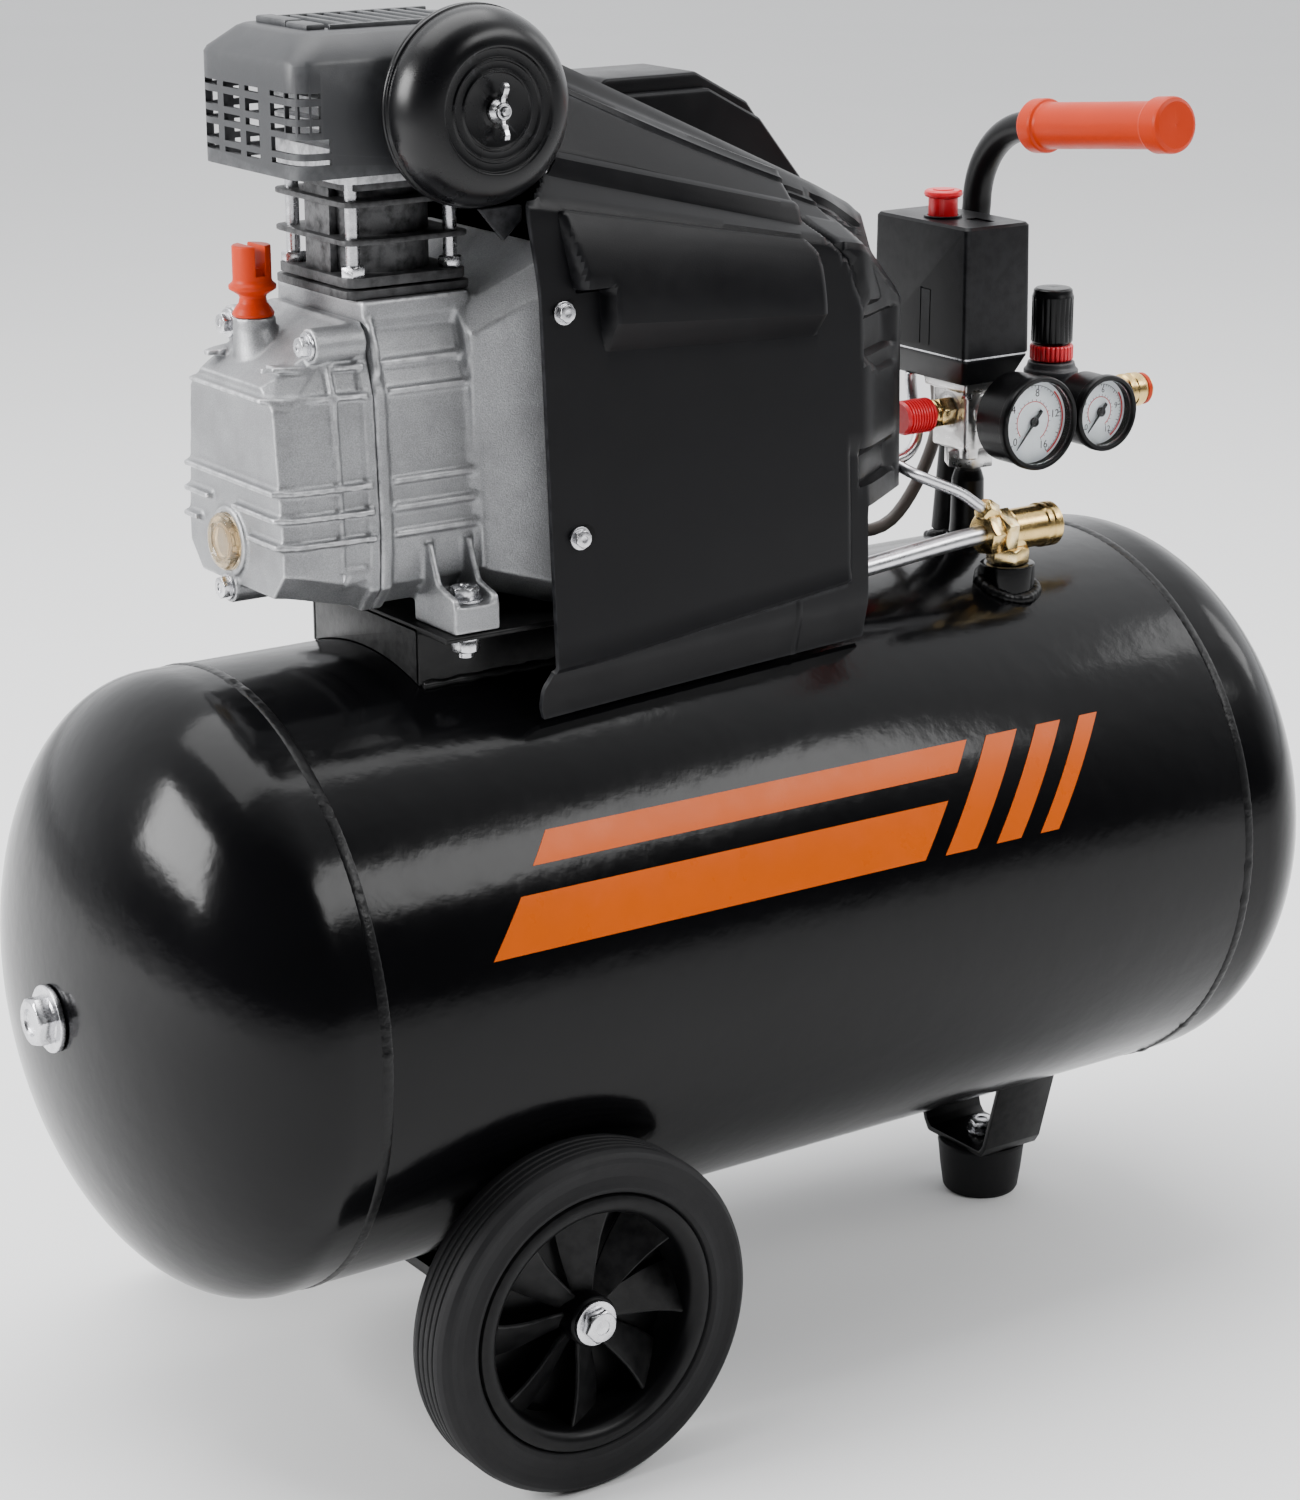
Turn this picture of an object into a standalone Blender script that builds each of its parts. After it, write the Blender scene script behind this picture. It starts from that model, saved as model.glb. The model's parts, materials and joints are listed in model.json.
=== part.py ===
"""Wheeled single-cylinder air compressor on a horizontal 50 litre tank.

Frame: metres, +Z up, +X along the tank towards the carrying handle, -Y towards the gauges' faces.
The origin is on the ground, midway between the tank's ends.
"""
from math import asin, cos, pi, radians, sin, sqrt

import bmesh
import bpy
from mathutils import Matrix, Vector

# ---- driving dimensions ---------------------------------------------------------------------------
GAP = 0.0003                # between pieces that touch
RUN = 0.00008               # radial clearance of a running fit

TANK_R = 0.155
TANK_Z = 0.232              # tank axis above the ground
TANK_WALL = 0.0025
SEAM_X = 0.265              # weld seam between shell and head
HEAD_DEPTH = 0.0943
HEAD_FLANGE = 0.0148        # straight part of a head

WHEEL_R = 0.0875
WHEEL_X = -0.1644
WHEEL_FACE = 0.1735         # outer face of a tyre from the middle plane
WHEEL_WIDTH = 0.030
TYRE_SEAT_R = 0.066
AXLE_R = 0.005

FOOT_X = 0.2141
FOOT_H = 0.030

CYL_X = -0.1745             # cylinder axis
CRANK_Z = 0.492             # crankshaft axis
CRANK_THROW = 0.020
ROD_LENGTH = 0.090
BORE_R = 0.0235
SHAFT_R = 0.010
PISTON_PIN_Z = CRANK_Z - CRANK_THROW + ROD_LENGTH
DECK_Z = 0.5635             # top of the crankcase
JOINT_X = -0.2035           # joint between crankcase and its cover
STATOR_R = 0.060

FILTER_X = -0.1535
FILTER_Z = 0.6515
FILTER_R = 0.0465

PIPE_X = 0.1925             # pipe nipple that carries the switch
SWITCH_Y = 0.010
GAUGE_FACE_Y = -0.060
GAUGE_Z = 0.462
REG_X = 0.2388
REG_Y = -0.012
CHECK_X = 0.1765
CHECK_Y = -0.054
CHECK_Z = 0.406
HANDLE_X = 0.2238
HANDLE_Y = 0.036

FINE, ROUND, SMALL = 36, 18, 10    # sides of large, medium and small round pieces

# ---- materials: colour, roughness, metallic --------------------------------------------------------
FINISHES = {
    "tank_paint": ((0.012, 0.012, 0.013), 0.22, 0.0),
    "black_steel": ((0.020, 0.020, 0.021), 0.45, 0.3),
    "black_plastic": ((0.016, 0.016, 0.017), 0.42, 0.0),
    "grey_plastic": ((0.085, 0.087, 0.090), 0.55, 0.0),
    "rubber": ((0.018, 0.018, 0.018), 0.80, 0.0),
    "cast_aluminium": ((0.55, 0.55, 0.56), 0.50, 0.9),
    "cast_iron": ((0.030, 0.030, 0.032), 0.60, 0.5),
    "zinc_steel": ((0.62, 0.62, 0.64), 0.30, 1.0),
    "aluminium_tube": ((0.72, 0.72, 0.74), 0.32, 1.0),
    "brass": ((0.70, 0.50, 0.22), 0.28, 1.0),
    "orange_plastic": ((0.80, 0.12, 0.02), 0.40, 0.0),
    "red_plastic": ((0.70, 0.02, 0.03), 0.38, 0.0),
    "amber_lens": ((0.80, 0.62, 0.42), 0.12, 0.0),
    "cable_sheath": ((0.12, 0.10, 0.09), 0.60, 0.0),
    "filter_foam": ((0.60, 0.55, 0.42), 0.90, 0.0),
}


def finish(name):
    """The material of one finish, made once."""
    found = bpy.data.materials.get(name)
    if found:
        return found
    colour, roughness, metallic = FINISHES[name]
    material = bpy.data.materials.new(name)
    material.use_nodes = True
    shader = material.node_tree.nodes["Principled BSDF"]
    shader.inputs["Base Color"].default_value = (*colour, 1.0)
    shader.inputs["Roughness"].default_value = roughness
    shader.inputs["Metallic"].default_value = metallic
    material.diffuse_color = (*colour, 1.0)
    return material


# ---- modelling helpers: every shape is made where it stands -----------------------------------------
AXES = {"x": Vector((1, 0, 0)), "y": Vector((0, 1, 0)), "z": Vector((0, 0, 1))}


def to_object(bm, name="shape"):
    bmesh.ops.recalc_face_normals(bm, faces=bm.faces)
    mesh = bpy.data.meshes.new(name)
    bm.to_mesh(mesh)
    bm.free()
    made = bpy.data.objects.new(name, mesh)
    bpy.context.collection.objects.link(made)
    return made


def turned(profile, centre, axis="z", sides=ROUND):
    """A solid of revolution. The profile is (radius, distance along the axis); it closes on itself, and
    points of radius 0 lie on the axis."""
    along = AXES[axis] if isinstance(axis, str) else Vector(axis).normalized()
    reference = AXES["y"] if abs(along.x) > 0.7 else AXES["x"]
    side = (reference - along * reference.dot(along)).normalized()
    centre = Vector(centre)
    bm = bmesh.new()
    corners = [bm.verts.new(centre + side * r + along * h) for r, h in profile]
    on_axis = [r == 0 for r, _ in profile]
    count = len(corners)
    edges = [bm.edges.new((corners[i], corners[(i + 1) % count])) for i in range(count)
             if not (on_axis[i] and on_axis[(i + 1) % count])]
    bmesh.ops.spin(bm, geom=corners + edges, cent=centre, axis=along, angle=2 * pi, steps=sides,
                   use_merge=True)
    bmesh.ops.remove_doubles(bm, verts=bm.verts, dist=1e-6)
    flat_centres = [v for v in bm.verts if is_flat_centre(v, centre, along)]
    bmesh.ops.dissolve_verts(bm, verts=flat_centres)
    return to_object(bm)


def around(radius, sides=ROUND):
    """Corner radius of a bore whose flats lie on the given circle, so that a round piece can turn in it."""
    return radius / cos(pi / sides)


def is_flat_centre(vertex, centre, along):
    """Whether a vertex on the axis is only the middle of a flat disc."""
    reach = vertex.co - centre
    off_axis = (reach - along * reach.dot(along)).length
    return off_axis < 1e-6 and all(abs(edge.other_vert(vertex).co.dot(along) - vertex.co.dot(along)) < 1e-6
                                   for edge in vertex.link_edges)


def rod(start, end, radius, sides=SMALL):
    """A plain cylinder between two points."""
    start, end = Vector(start), Vector(end)
    length = (end - start).length
    return turned([(0, 0), (radius, 0), (radius, length), (0, length)], start, end - start, sides)


def ring(centre, axis, outer, inner, low, high, sides=ROUND):
    return turned([(outer, low), (outer, high), (inner, high), (inner, low)], centre, axis, sides)


def prism(outline, low, high, axis="z"):
    """An outline pushed along an axis. The outline is in (y, z), (x, z) or (x, y)."""
    place = {"x": lambda a, b: Vector((low, a, b)), "y": lambda a, b: Vector((a, low, b)),
             "z": lambda a, b: Vector((a, b, low))}[axis]
    bm = bmesh.new()
    face = bm.faces.new([bm.verts.new(place(a, b)) for a, b in outline])
    grown = bmesh.ops.extrude_face_region(bm, geom=[face])
    moved = [g for g in grown["geom"] if isinstance(g, bmesh.types.BMVert)]
    bmesh.ops.translate(bm, verts=moved, vec=AXES[axis] * (high - low))
    return to_object(bm)


def block(low, high):
    (x0, y0, z0), (x1, y1, z1) = low, high
    return prism([(x0, y0), (x1, y0), (x1, y1), (x0, y1)], z0, z1)


def hexagon(centre, axis, across, low, high):
    """A hexagonal prism, by its width across flats."""
    corner = across / sqrt(3)
    return turned([(0, low), (corner, low), (corner, high), (0, high)], centre, axis, 6)


def loft(sections):
    """A solid through sections with equally many points each, in order along the solid."""
    bm = bmesh.new()
    rows = [[bm.verts.new(p) for p in section] for section in sections]
    count = len(rows[0])
    for first, second in zip(rows, rows[1:]):
        for i in range(count):
            j = (i + 1) % count
            bm.faces.new((first[i], first[j], second[j], second[i]))
    bm.faces.new(rows[0])
    bm.faces.new(rows[-1])
    bm.normal_update()
    bmesh.ops.triangulate(bm, faces=bm.faces)
    return to_object(bm)


def combined(base, others, operation):
    """The base after a Boolean with each other shape, which it uses up."""
    for other in others:
        step = base.modifiers.new("step", "BOOLEAN")
        step.object = other
        step.operation = operation
        step.solver = "EXACT"
        evaluated = base.evaluated_get(bpy.context.evaluated_depsgraph_get())
        mesh = bpy.data.meshes.new_from_object(evaluated)
        base.modifiers.clear()
        base.data = mesh
        bpy.data.objects.remove(other)
    return base


def join(base, *others):
    return combined(base, others, "UNION")


def cut(base, *others):
    return combined(base, others, "DIFFERENCE")


def keep(base, *others):
    return combined(base, others, "INTERSECT")


def node(name, shape, material, origin=(0, 0, 0), smooth=35):
    """Names a finished shape, puts its origin at its reference point and shades its round faces smooth."""
    shape.name = name
    shape.data.name = name
    shape.data.transform(Matrix.Translation(-Vector(origin)))
    shape.location = origin
    shape.data.materials.clear()
    shape.data.materials.append(finish(material))
    shape.data.shade_smooth()
    shape.data.set_sharp_from_angle(angle=radians(smooth))
    return shape


def smooth_path(points, step):
    """Points about a step apart along a Catmull-Rom curve through the given points."""
    points = [Vector(p) for p in points]
    ends = [2 * points[0] - points[1], *points, 2 * points[-1] - points[-2]]
    path = []
    for a, b, c, d in zip(ends, ends[1:], ends[2:], ends[3:]):
        pieces = max(1, round((c - b).length / step))
        for k in range(pieces):
            t = k / pieces
            path.append(0.5 * (2 * b + (c - a) * t + (2 * a - 5 * b + 4 * c - d) * t ** 2
                               + (3 * b - a - 3 * c + d) * t ** 3))
    return [*path, points[-1]]


def tube(name, path, radius, material, resolution=3):
    """A round tube along a path, as a curve with a bevel and filled caps."""
    curve = bpy.data.curves.new(name, "CURVE")
    curve.dimensions = "3D"
    curve.bevel_depth = radius
    curve.bevel_resolution = resolution
    curve.use_fill_caps = True
    curve.resolution_u = 1
    curve.render_resolution_u = 0
    spline = curve.splines.new("POLY")
    spline.points.add(len(path) - 1)
    for point, place in zip(spline.points, path):
        point.co = (*place, 1.0)
    curve.materials.append(finish(material))
    made = bpy.data.objects.new(name, curve)
    bpy.context.collection.objects.link(made)
    return made


def tank_top(y, radius=TANK_R):
    """Height of the tank's upper surface at a distance from its middle plane."""
    return TANK_Z + sqrt(radius ** 2 - y ** 2)


# ---- tank -----------------------------------------------------------------------------------------
CHECK_BOSS_TOP = 0.3885
PIPE_BOSS_TOP = 0.3920
DRAIN_X = 0.1178
DRAIN_LOW = TANK_Z - TANK_R - 0.006
PLUG_HOLE_R = 0.0105


def tank():
    axis_point = (0, 0, TANK_Z)
    half = SEAM_X - GAP / 2
    shell = ring(axis_point, "x", TANK_R, TANK_R - TANK_WALL, -half, half, FINE)
    join(shell, rod((CHECK_X, CHECK_Y, 0.3675), (CHECK_X, CHECK_Y, CHECK_BOSS_TOP), 0.0145, ROUND),
         rod((PIPE_X, 0, 0.3848), (PIPE_X, 0, PIPE_BOSS_TOP), 0.011, ROUND),
         rod((DRAIN_X, 0, DRAIN_LOW), (DRAIN_X, 0, 0.0790), 0.0095, SMALL))
    cut(shell, rod((CHECK_X, CHECK_Y, 0.350), (CHECK_X, CHECK_Y, 0.400), 0.0085, ROUND),
        rod((PIPE_X, 0, 0.370), (PIPE_X, 0, 0.400), 0.0072, SMALL),
        rod((DRAIN_X, 0, 0.060), (DRAIN_X, 0, 0.090), 0.0055, SMALL))
    node("tank_shell", shell, "tank_paint", axis_point)
    for side, place in ((-1, "left"), (1, "right")):
        node("tank_head_" + place, tank_head(side), "tank_paint", (side * SEAM_X, 0, TANK_Z))
        tip = (side * (SEAM_X + HEAD_DEPTH), 0, TANK_Z)
        outwards = (side, 0, 0)
        washer = turned([(0, -0.010), (PLUG_HOLE_R - GAP, -0.010), (PLUG_HOLE_R - GAP, GAP), (0.0165, GAP),
                         (0.0165, 0.003), (0, 0.003)], tip, outwards, ROUND)
        node("inspection_plug_" + place, join(washer, hexagon(tip, outwards, 0.022, 0.002, 0.0115)),
             "zinc_steel", tip)
    stem = turned([(0, -0.0075), (0.0050, -0.0075), (0.0080, -0.006), (0.0080, -GAP), (0.0051, -GAP),
                   (0.0051, 0.006), (0, 0.006)], (DRAIN_X, 0, DRAIN_LOW), "z", SMALL)
    wings = block((DRAIN_X - 0.010, -0.0015, DRAIN_LOW - 0.012), (DRAIN_X + 0.010, 0.0015, DRAIN_LOW - 0.005))
    node("drain_valve", join(stem, wings), "brass", (DRAIN_X, 0, DRAIN_LOW))


def tank_head(side):
    """A dished end: a straight flange, then a half ellipse, with a hole in the middle for the plug."""
    steps = 6
    rise = HEAD_DEPTH - HEAD_FLANGE
    at_hole = asin(PLUG_HOLE_R / TANK_R)
    outer, inner = [(TANK_R, GAP / 2)], [(TANK_R - TANK_WALL, GAP / 2)]
    for k in range(steps + 1):
        angle = pi / 2 + (at_hole - pi / 2) * k / steps
        outer.append((TANK_R * sin(angle), HEAD_FLANGE + rise * cos(angle)))
        if k % 2 == 0:
            inner.append(((TANK_R - TANK_WALL) * sin(angle), HEAD_FLANGE + (rise - TANK_WALL) * cos(angle)))
    inner[-1] = (PLUG_HOLE_R, inner[-1][1])
    return turned([*outer, *reversed(inner)], (side * SEAM_X, 0, TANK_Z), (side, 0, 0), FINE)


# ---- wheels, bracket and foot ----------------------------------------------------------------------
BRACKET_Y = 0.137           # middle of a bracket's upright arm
BRACKET_T = 0.003
RIM_HOLLOW_R = 0.0545
RIM_BACK = 0.0268           # inner face of the closed back, from the tyre's outer face
HUB_R = 0.0125


def wheels():
    bracket = prism(bracket_outline(), WHEEL_X - 0.022, WHEEL_X + 0.022, "x")
    outside = BRACKET_Y + 0.01
    cut(bracket, rod((WHEEL_X, -outside, WHEEL_R), (WHEEL_X, outside, WHEEL_R), around(AXLE_R + RUN), ROUND))
    node("wheel_bracket", bracket, "black_steel", (WHEEL_X, 0, TANK_Z - TANK_R))
    for side, place in ((-1, "front"), (1, "rear")):
        centre = (WHEEL_X, side * WHEEL_FACE, WHEEL_R)
        outwards = (0, side, 0)
        node("tyre_" + place, tyre(centre, outwards), "rubber", centre)
        node("wheel_rim_" + place, rim(centre, outwards), "black_plastic", centre)
        node("wheel_bolt_" + place, axle_bolt(centre, outwards), "zinc_steel", centre)


def bracket_outline():
    """A strap under the tank: level in the middle, with an upright arm at each end."""
    low, top, half = 0.0700, 0.1140, BRACKET_Y + BRACKET_T / 2
    inside = half - BRACKET_T
    return [(-half, low), (half, low), (half, top), (inside, top), (inside, low + BRACKET_T),
            (0.060, low + BRACKET_T), (0.052, low + 2 * BRACKET_T), (-0.052, low + 2 * BRACKET_T),
            (-0.060, low + BRACKET_T), (-inside, low + BRACKET_T), (-inside, top), (-half, top)]


def tyre(centre, outwards):
    """A solid rubber tyre with round shoulders and two grooves round its tread."""
    width, crown = WHEEL_WIDTH, WHEEL_R
    groove = [(crown, -0.0090), (crown - 0.0015, -0.0100), (crown, -0.0110)]
    tread = [(radius, low - shift) for shift in (0, 0.0100) for radius, low in groove]
    profile = [(TYRE_SEAT_R, 0), (TYRE_SEAT_R + 0.012, 0), (crown - 0.003, -0.0015), (crown, -0.0045),
               *tread, (crown, -width + 0.0035), (crown - 0.0035, -width), (TYRE_SEAT_R, -width)]
    return turned(profile, centre, outwards, FINE)


def rim(centre, outwards):
    """Outer ring, hub, closed back and eight webs that are twisted like the blades of a fan."""
    middle = Vector(centre)
    out = Vector(outwards)
    seat = TYRE_SEAT_R - GAP
    wheel = ring(centre, outwards, seat, RIM_HOLLOW_R, -0.027, -0.003, FINE)
    webs = []
    for k in range(8):
        angle = 2 * pi * k / 8
        radial = Vector((cos(angle), 0, sin(angle)))
        chord = (radial.cross(out) * cos(radians(32)) + out * sin(radians(32)))
        face = chord.cross(radial)
        corners = []
        for reach, half in ((0.010, 0.0035), (RIM_HOLLOW_R + 0.003, 0.0115)):
            corner = middle - out * 0.015 + radial * reach
            corners.append([corner + chord * half * a + face * 0.0012 * b
                            for a, b in ((-1, -1), (1, -1), (1, 1), (-1, 1))])
        webs.append(loft(corners))
    hub = rod(middle - out * 0.0335, middle - out * 0.004, HUB_R, ROUND)
    back = rod(middle - out * RIM_BACK, middle - out * (RIM_BACK - 0.0015), RIM_HOLLOW_R + 0.002, FINE)
    join(wheel, hub, back, *webs)
    return cut(wheel, rod(middle - out * 0.040, middle + out * 0.010, around(AXLE_R + RUN), ROUND))


def axle_bolt(centre, outwards):
    """A shank through the hub and the bracket's arm, with a washer and hexagon outside and a nut inside."""
    arm = WHEEL_FACE - BRACKET_Y
    inside = -arm - BRACKET_T / 2 - GAP
    bolt = turned([(0, -arm - 0.012), (AXLE_R, -arm - 0.012), (AXLE_R, -0.004 + GAP), (0.0105, -0.004 + GAP),
                   (0.0105, -0.0022), (0, -0.0022)], centre, outwards, ROUND)
    return join(bolt, hexagon(centre, outwards, 0.015, -0.003, 0.0035),
                hexagon(centre, outwards, 0.015, inside - 0.006, inside))


def foot():
    top = FOOT_H + GAP
    node("rubber_foot", turned([(0, 0), (0.0205, 0), (0.0218, 0.0015), (0.0250, FOOT_H - 0.002),
                                (0.0245, FOOT_H), (0, FOOT_H)], (FOOT_X, 0, 0), "z", ROUND),
         "rubber", (FOOT_X, 0, 0))
    strap = prism(foot_outline(top), FOOT_X - 0.020, FOOT_X + 0.020, "x")
    node("foot_bracket", cut(strap, rod((FOOT_X, 0, top - 0.01), (FOOT_X, 0, top + 0.01), 0.0045, SMALL)),
         "black_steel", (FOOT_X, 0, top))
    seat = top + 0.003 + GAP
    shank = rod((FOOT_X, 0, top + GAP), (FOOT_X, 0, seat + 0.012), 0.004, SMALL)
    washer = rod((FOOT_X, 0, seat), (FOOT_X, 0, seat + 0.0015), 0.0080, SMALL)
    node("foot_bolt", join(washer, shank, hexagon((FOOT_X, 0, 0), "z", 0.013, seat + 0.001, seat + 0.0075)),
         "zinc_steel", (FOOT_X, 0, seat))


def foot_outline(low):
    """A U-shaped strap of 3 mm sheet whose arms spread until they meet the tank."""
    thick, tip_y = 0.003, 0.0410
    tip_z = TANK_Z - sqrt(TANK_R ** 2 - tip_y ** 2) - 2 * GAP
    outer = [(tip_y, tip_z), (0.0280, low + 0.0060), (0.0240, low + 0.0010), (0.0210, low)]
    inner = [(tip_y - thick, tip_z - 0.0009), (0.0250, low + 0.0084), (0.0225, low + 0.0034),
             (0.0195, low + thick)]
    return [*[(-y, z) for y, z in outer], *reversed(outer), *inner, *[(-y, z) for y, z in reversed(inner)]]


# ---- pump ------------------------------------------------------------------------------------------
LUG_X = -0.1666
LUG_Y = 0.066
PLATFORM_TOP = 0.4080
FLANGE_X = -0.148           # where the crankcase's bell starts to spread
BELL_X = -0.106
CYL_TOP = 0.6165
HEAD_TOP = 0.664
CASE_Y = 0.052
CASE_WALL = 0.005
DECK_X, DECK_Y = 0.0286, 0.0415     # half sizes of the deck under the cylinder
RIB_HEIGHTS = (0.4550, 0.4675, 0.4800, 0.5220, 0.5350)
RIB_HALF = 0.0015
LUG_HALF, LUG_INNER, LUG_OUTER, LUG_THICK = 0.012, 0.040, 0.078, 0.0153


def platform():
    """A folded saddle: a level top with side walls that stand on the tank."""
    x0, x1 = -0.184, -0.030
    half, edge, thick = 0.052, 0.078, 0.003
    foot_z = tank_top(half) + GAP
    profile = [(-edge, PLATFORM_TOP - thick), (-half, PLATFORM_TOP - thick), (-half, foot_z),
               (-half + thick, foot_z + 0.0012), (-half + thick, PLATFORM_TOP - thick),
               (half - thick, PLATFORM_TOP - thick), (half - thick, foot_z + 0.0012), (half, foot_z),
               (half, PLATFORM_TOP - thick), (edge, PLATFORM_TOP - thick), (edge, PLATFORM_TOP),
               (-edge, PLATFORM_TOP)]
    saddle = prism(profile, x0, x1, "x")
    join(saddle, block((x0, 0.001 - half, foot_z + 0.001), (x0 + thick, half - 0.001, PLATFORM_TOP - 0.001)))
    cut(saddle, rod((-SEAM_X, 0, TANK_Z), (SEAM_X, 0, TANK_Z), TANK_R + GAP, FINE))
    for side in (-1, 1):
        for x in (LUG_X, LUG_X + 0.100):
            cut(saddle, rod((x, side * LUG_Y, 0.40), (x, side * LUG_Y, 0.42), 0.0045, SMALL))
    node("pump_platform", saddle, "black_steel", (0, 0, PLATFORM_TOP))


def crankcase():
    """The casting that holds the crankshaft: a box with a deck on top, a bell for the motor and feet."""
    body = prism(case_outline(CASE_Y), JOINT_X + GAP, FLANGE_X, "x")
    bell = loft([bell_section(FLANGE_X - 0.004, 0.052, 0.420, 0.556), bell_section(BELL_X, 0.0735, 0.409, 0.583)])
    deck = block((CYL_X - DECK_X, -DECK_Y, 0.545), (CYL_X + DECK_X, DECK_Y, DECK_Z))
    parts = [bell, deck]
    for side in (-1, 1):
        y0, y1 = sorted((side * LUG_INNER, side * LUG_OUTER))
        parts.append(block((LUG_X - LUG_HALF, y0, PLATFORM_TOP + GAP),
                           (LUG_X + LUG_HALF, y1, PLATFORM_TOP + LUG_THICK)))
        for x in (LUG_X - 0.0095, LUG_X + 0.0095):
            parts.append(prism([(side * 0.045, PLATFORM_TOP + 0.012), (side * 0.076, PLATFORM_TOP + 0.012),
                                (side * 0.062, PLATFORM_TOP + 0.020), (side * 0.0525, 0.455),
                                (side * 0.045, 0.455)], x - 0.002, x + 0.002, "x"))
    for z in RIB_HEIGHTS:
        parts.append(keep(prism(case_outline(CASE_Y, 0.002), JOINT_X + 0.006, FLANGE_X + 0.001, "x"),
                          block((JOINT_X, -0.07, z - RIB_HALF), (BELL_X, 0.07, z + RIB_HALF))))
    join(body, *parts)
    case_hollow = prism(case_outline(CASE_Y, -CASE_WALL), JOINT_X - 0.01, FLANGE_X - 0.008, "x")
    bell_hollow = loft([bell_section(FLANGE_X - 0.0001, 0.046, 0.426, 0.550),
                        bell_section(BELL_X + 0.001, 0.0690, 0.414, 0.578)])
    cut(body, case_hollow, bell_hollow,
        rod((CYL_X, 0, 0.50), (CYL_X, 0, 0.60), 0.0246, 2 * SMALL),
        rod((FLANGE_X - 0.02, 0, CRANK_Z), (FLANGE_X + 0.02, 0, CRANK_Z), around(SHAFT_R + RUN), ROUND))
    for side in (-1, 1):
        cut(body, rod((LUG_X, side * LUG_Y, 0.40), (LUG_X, side * LUG_Y, 0.43), 0.0045, SMALL))
    node("crankcase", body, "cast_aluminium", (CYL_X, 0, CRANK_Z))


def case_outline(half, grow=0.0):
    """Outline of the crankcase in (y, z), narrower at the top and the bottom."""
    low, top = 0.4195 - grow, 0.553 + grow
    side = half + grow
    corners = [(0.040 + grow, low), (side, 0.433 - grow / 2), (side, 0.522), (0.039 + grow, top)]
    return [*corners, *[(-y, z) for y, z in reversed(corners)]]


def bell_section(x, half, low, top):
    """A rectangle with cut corners, across the crankshaft."""
    chamfer = 0.012
    corners = [(half - chamfer, low), (half, low + chamfer), (half, top - chamfer), (half - chamfer, top)]
    return [(x, y, z) for y, z in corners] + [(x, -y, z) for y, z in reversed(corners)]


SIGHT_Y = 0.005
SIGHT_Z = 0.4485
BREATHER = (-0.231, 0.014)
BREATHER_Z = 0.5520
COVER_FACE_X = -0.252


def crankcase_cover():
    """A deep dish whose flange meets the crankcase, with a sight-glass boss and a filler boss."""
    joint, face = JOINT_X, COVER_FACE_X
    flange = [(joint, y, z) for y, z in case_outline(CASE_Y)]
    shoulder = [(joint - 0.013, y * 0.96, z) for y, z in case_outline(CASE_Y)]
    front = [(face, y, z) for y, z in [(0.034, 0.430), (0.044, 0.440), (0.044, 0.508), (0.034, 0.522),
                                       (-0.034, 0.522), (-0.044, 0.508), (-0.044, 0.440), (-0.034, 0.430)]]
    dish = loft([flange, shoulder, front])
    boss = rod((BREATHER[0], BREATHER[1], 0.520), (BREATHER[0], BREATHER[1], BREATHER_Z), 0.0100, ROUND)
    seat = rod((face + 0.003, SIGHT_Y, SIGHT_Z), (face - 0.0025, SIGHT_Y, SIGHT_Z), 0.0150, ROUND)
    hollow = loft([[(x, y * 0.90, CRANK_Z + (z - CRANK_Z) * 0.92) for _, y, z in section]
                   for x, section in ((joint + 0.001, flange), (joint - 0.013, shoulder), (face + 0.005, front))])
    join(dish, boss, seat)
    for z in RIB_HEIGHTS:
        rib = keep(loft([[(x, y * k, z2) for y, z2 in case_outline(CASE_Y)] for x, k in
                         ((joint - 0.002, 1.04), (joint - 0.013, 1.0), (face - 0.002, 0.87))]),
                   block((face - 0.01, -0.07, z - RIB_HALF), (joint, 0.07, z + RIB_HALF)))
        join(dish, rib)
    cut(dish, hollow, rod((BREATHER[0], BREATHER[1], 0.50), (BREATHER[0], BREATHER[1], 0.57), 0.0065, SMALL),
        rod((face - 0.01, SIGHT_Y, SIGHT_Z), (face + 0.02, SIGHT_Y, SIGHT_Z), 0.0095, ROUND))
    node("crankcase_cover", dish, "cast_aluminium", (joint, 0, CRANK_Z))
    glass = turned([(0, 0.007), (0.0095 - GAP, 0.007), (0.0095 - GAP, -0.0025 - GAP), (0.0130, -0.0025 - GAP),
                    (0.0130, -0.006), (0.0105, -0.0075), (0, -0.0075)], (face, SIGHT_Y, SIGHT_Z), "x", ROUND)
    node("sight_glass", glass, "amber_lens", (face, SIGHT_Y, SIGHT_Z))
    top = (BREATHER[0], BREATHER[1], BREATHER_Z)
    plug = turned([(0, -0.010), (0.0060, -0.010), (0.0060, GAP), (0.0093, GAP), (0.0098, 0.0035), (0.0068, 0.006),
                   (0.0062, 0.010), (0.0100, 0.0125), (0.0108, 0.0145), (0.0100, 0.0165), (0.0092, 0.0175),
                   (0.0092, 0.034), (0, 0.034)], top, "z", ROUND)
    slot = block((top[0] - 0.003, top[1] - 0.02, top[2] + 0.025),
                 (top[0] + 0.003, top[1] + 0.02, top[2] + 0.040))
    node("breather_plug", cut(plug, slot), "orange_plastic", top)


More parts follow.
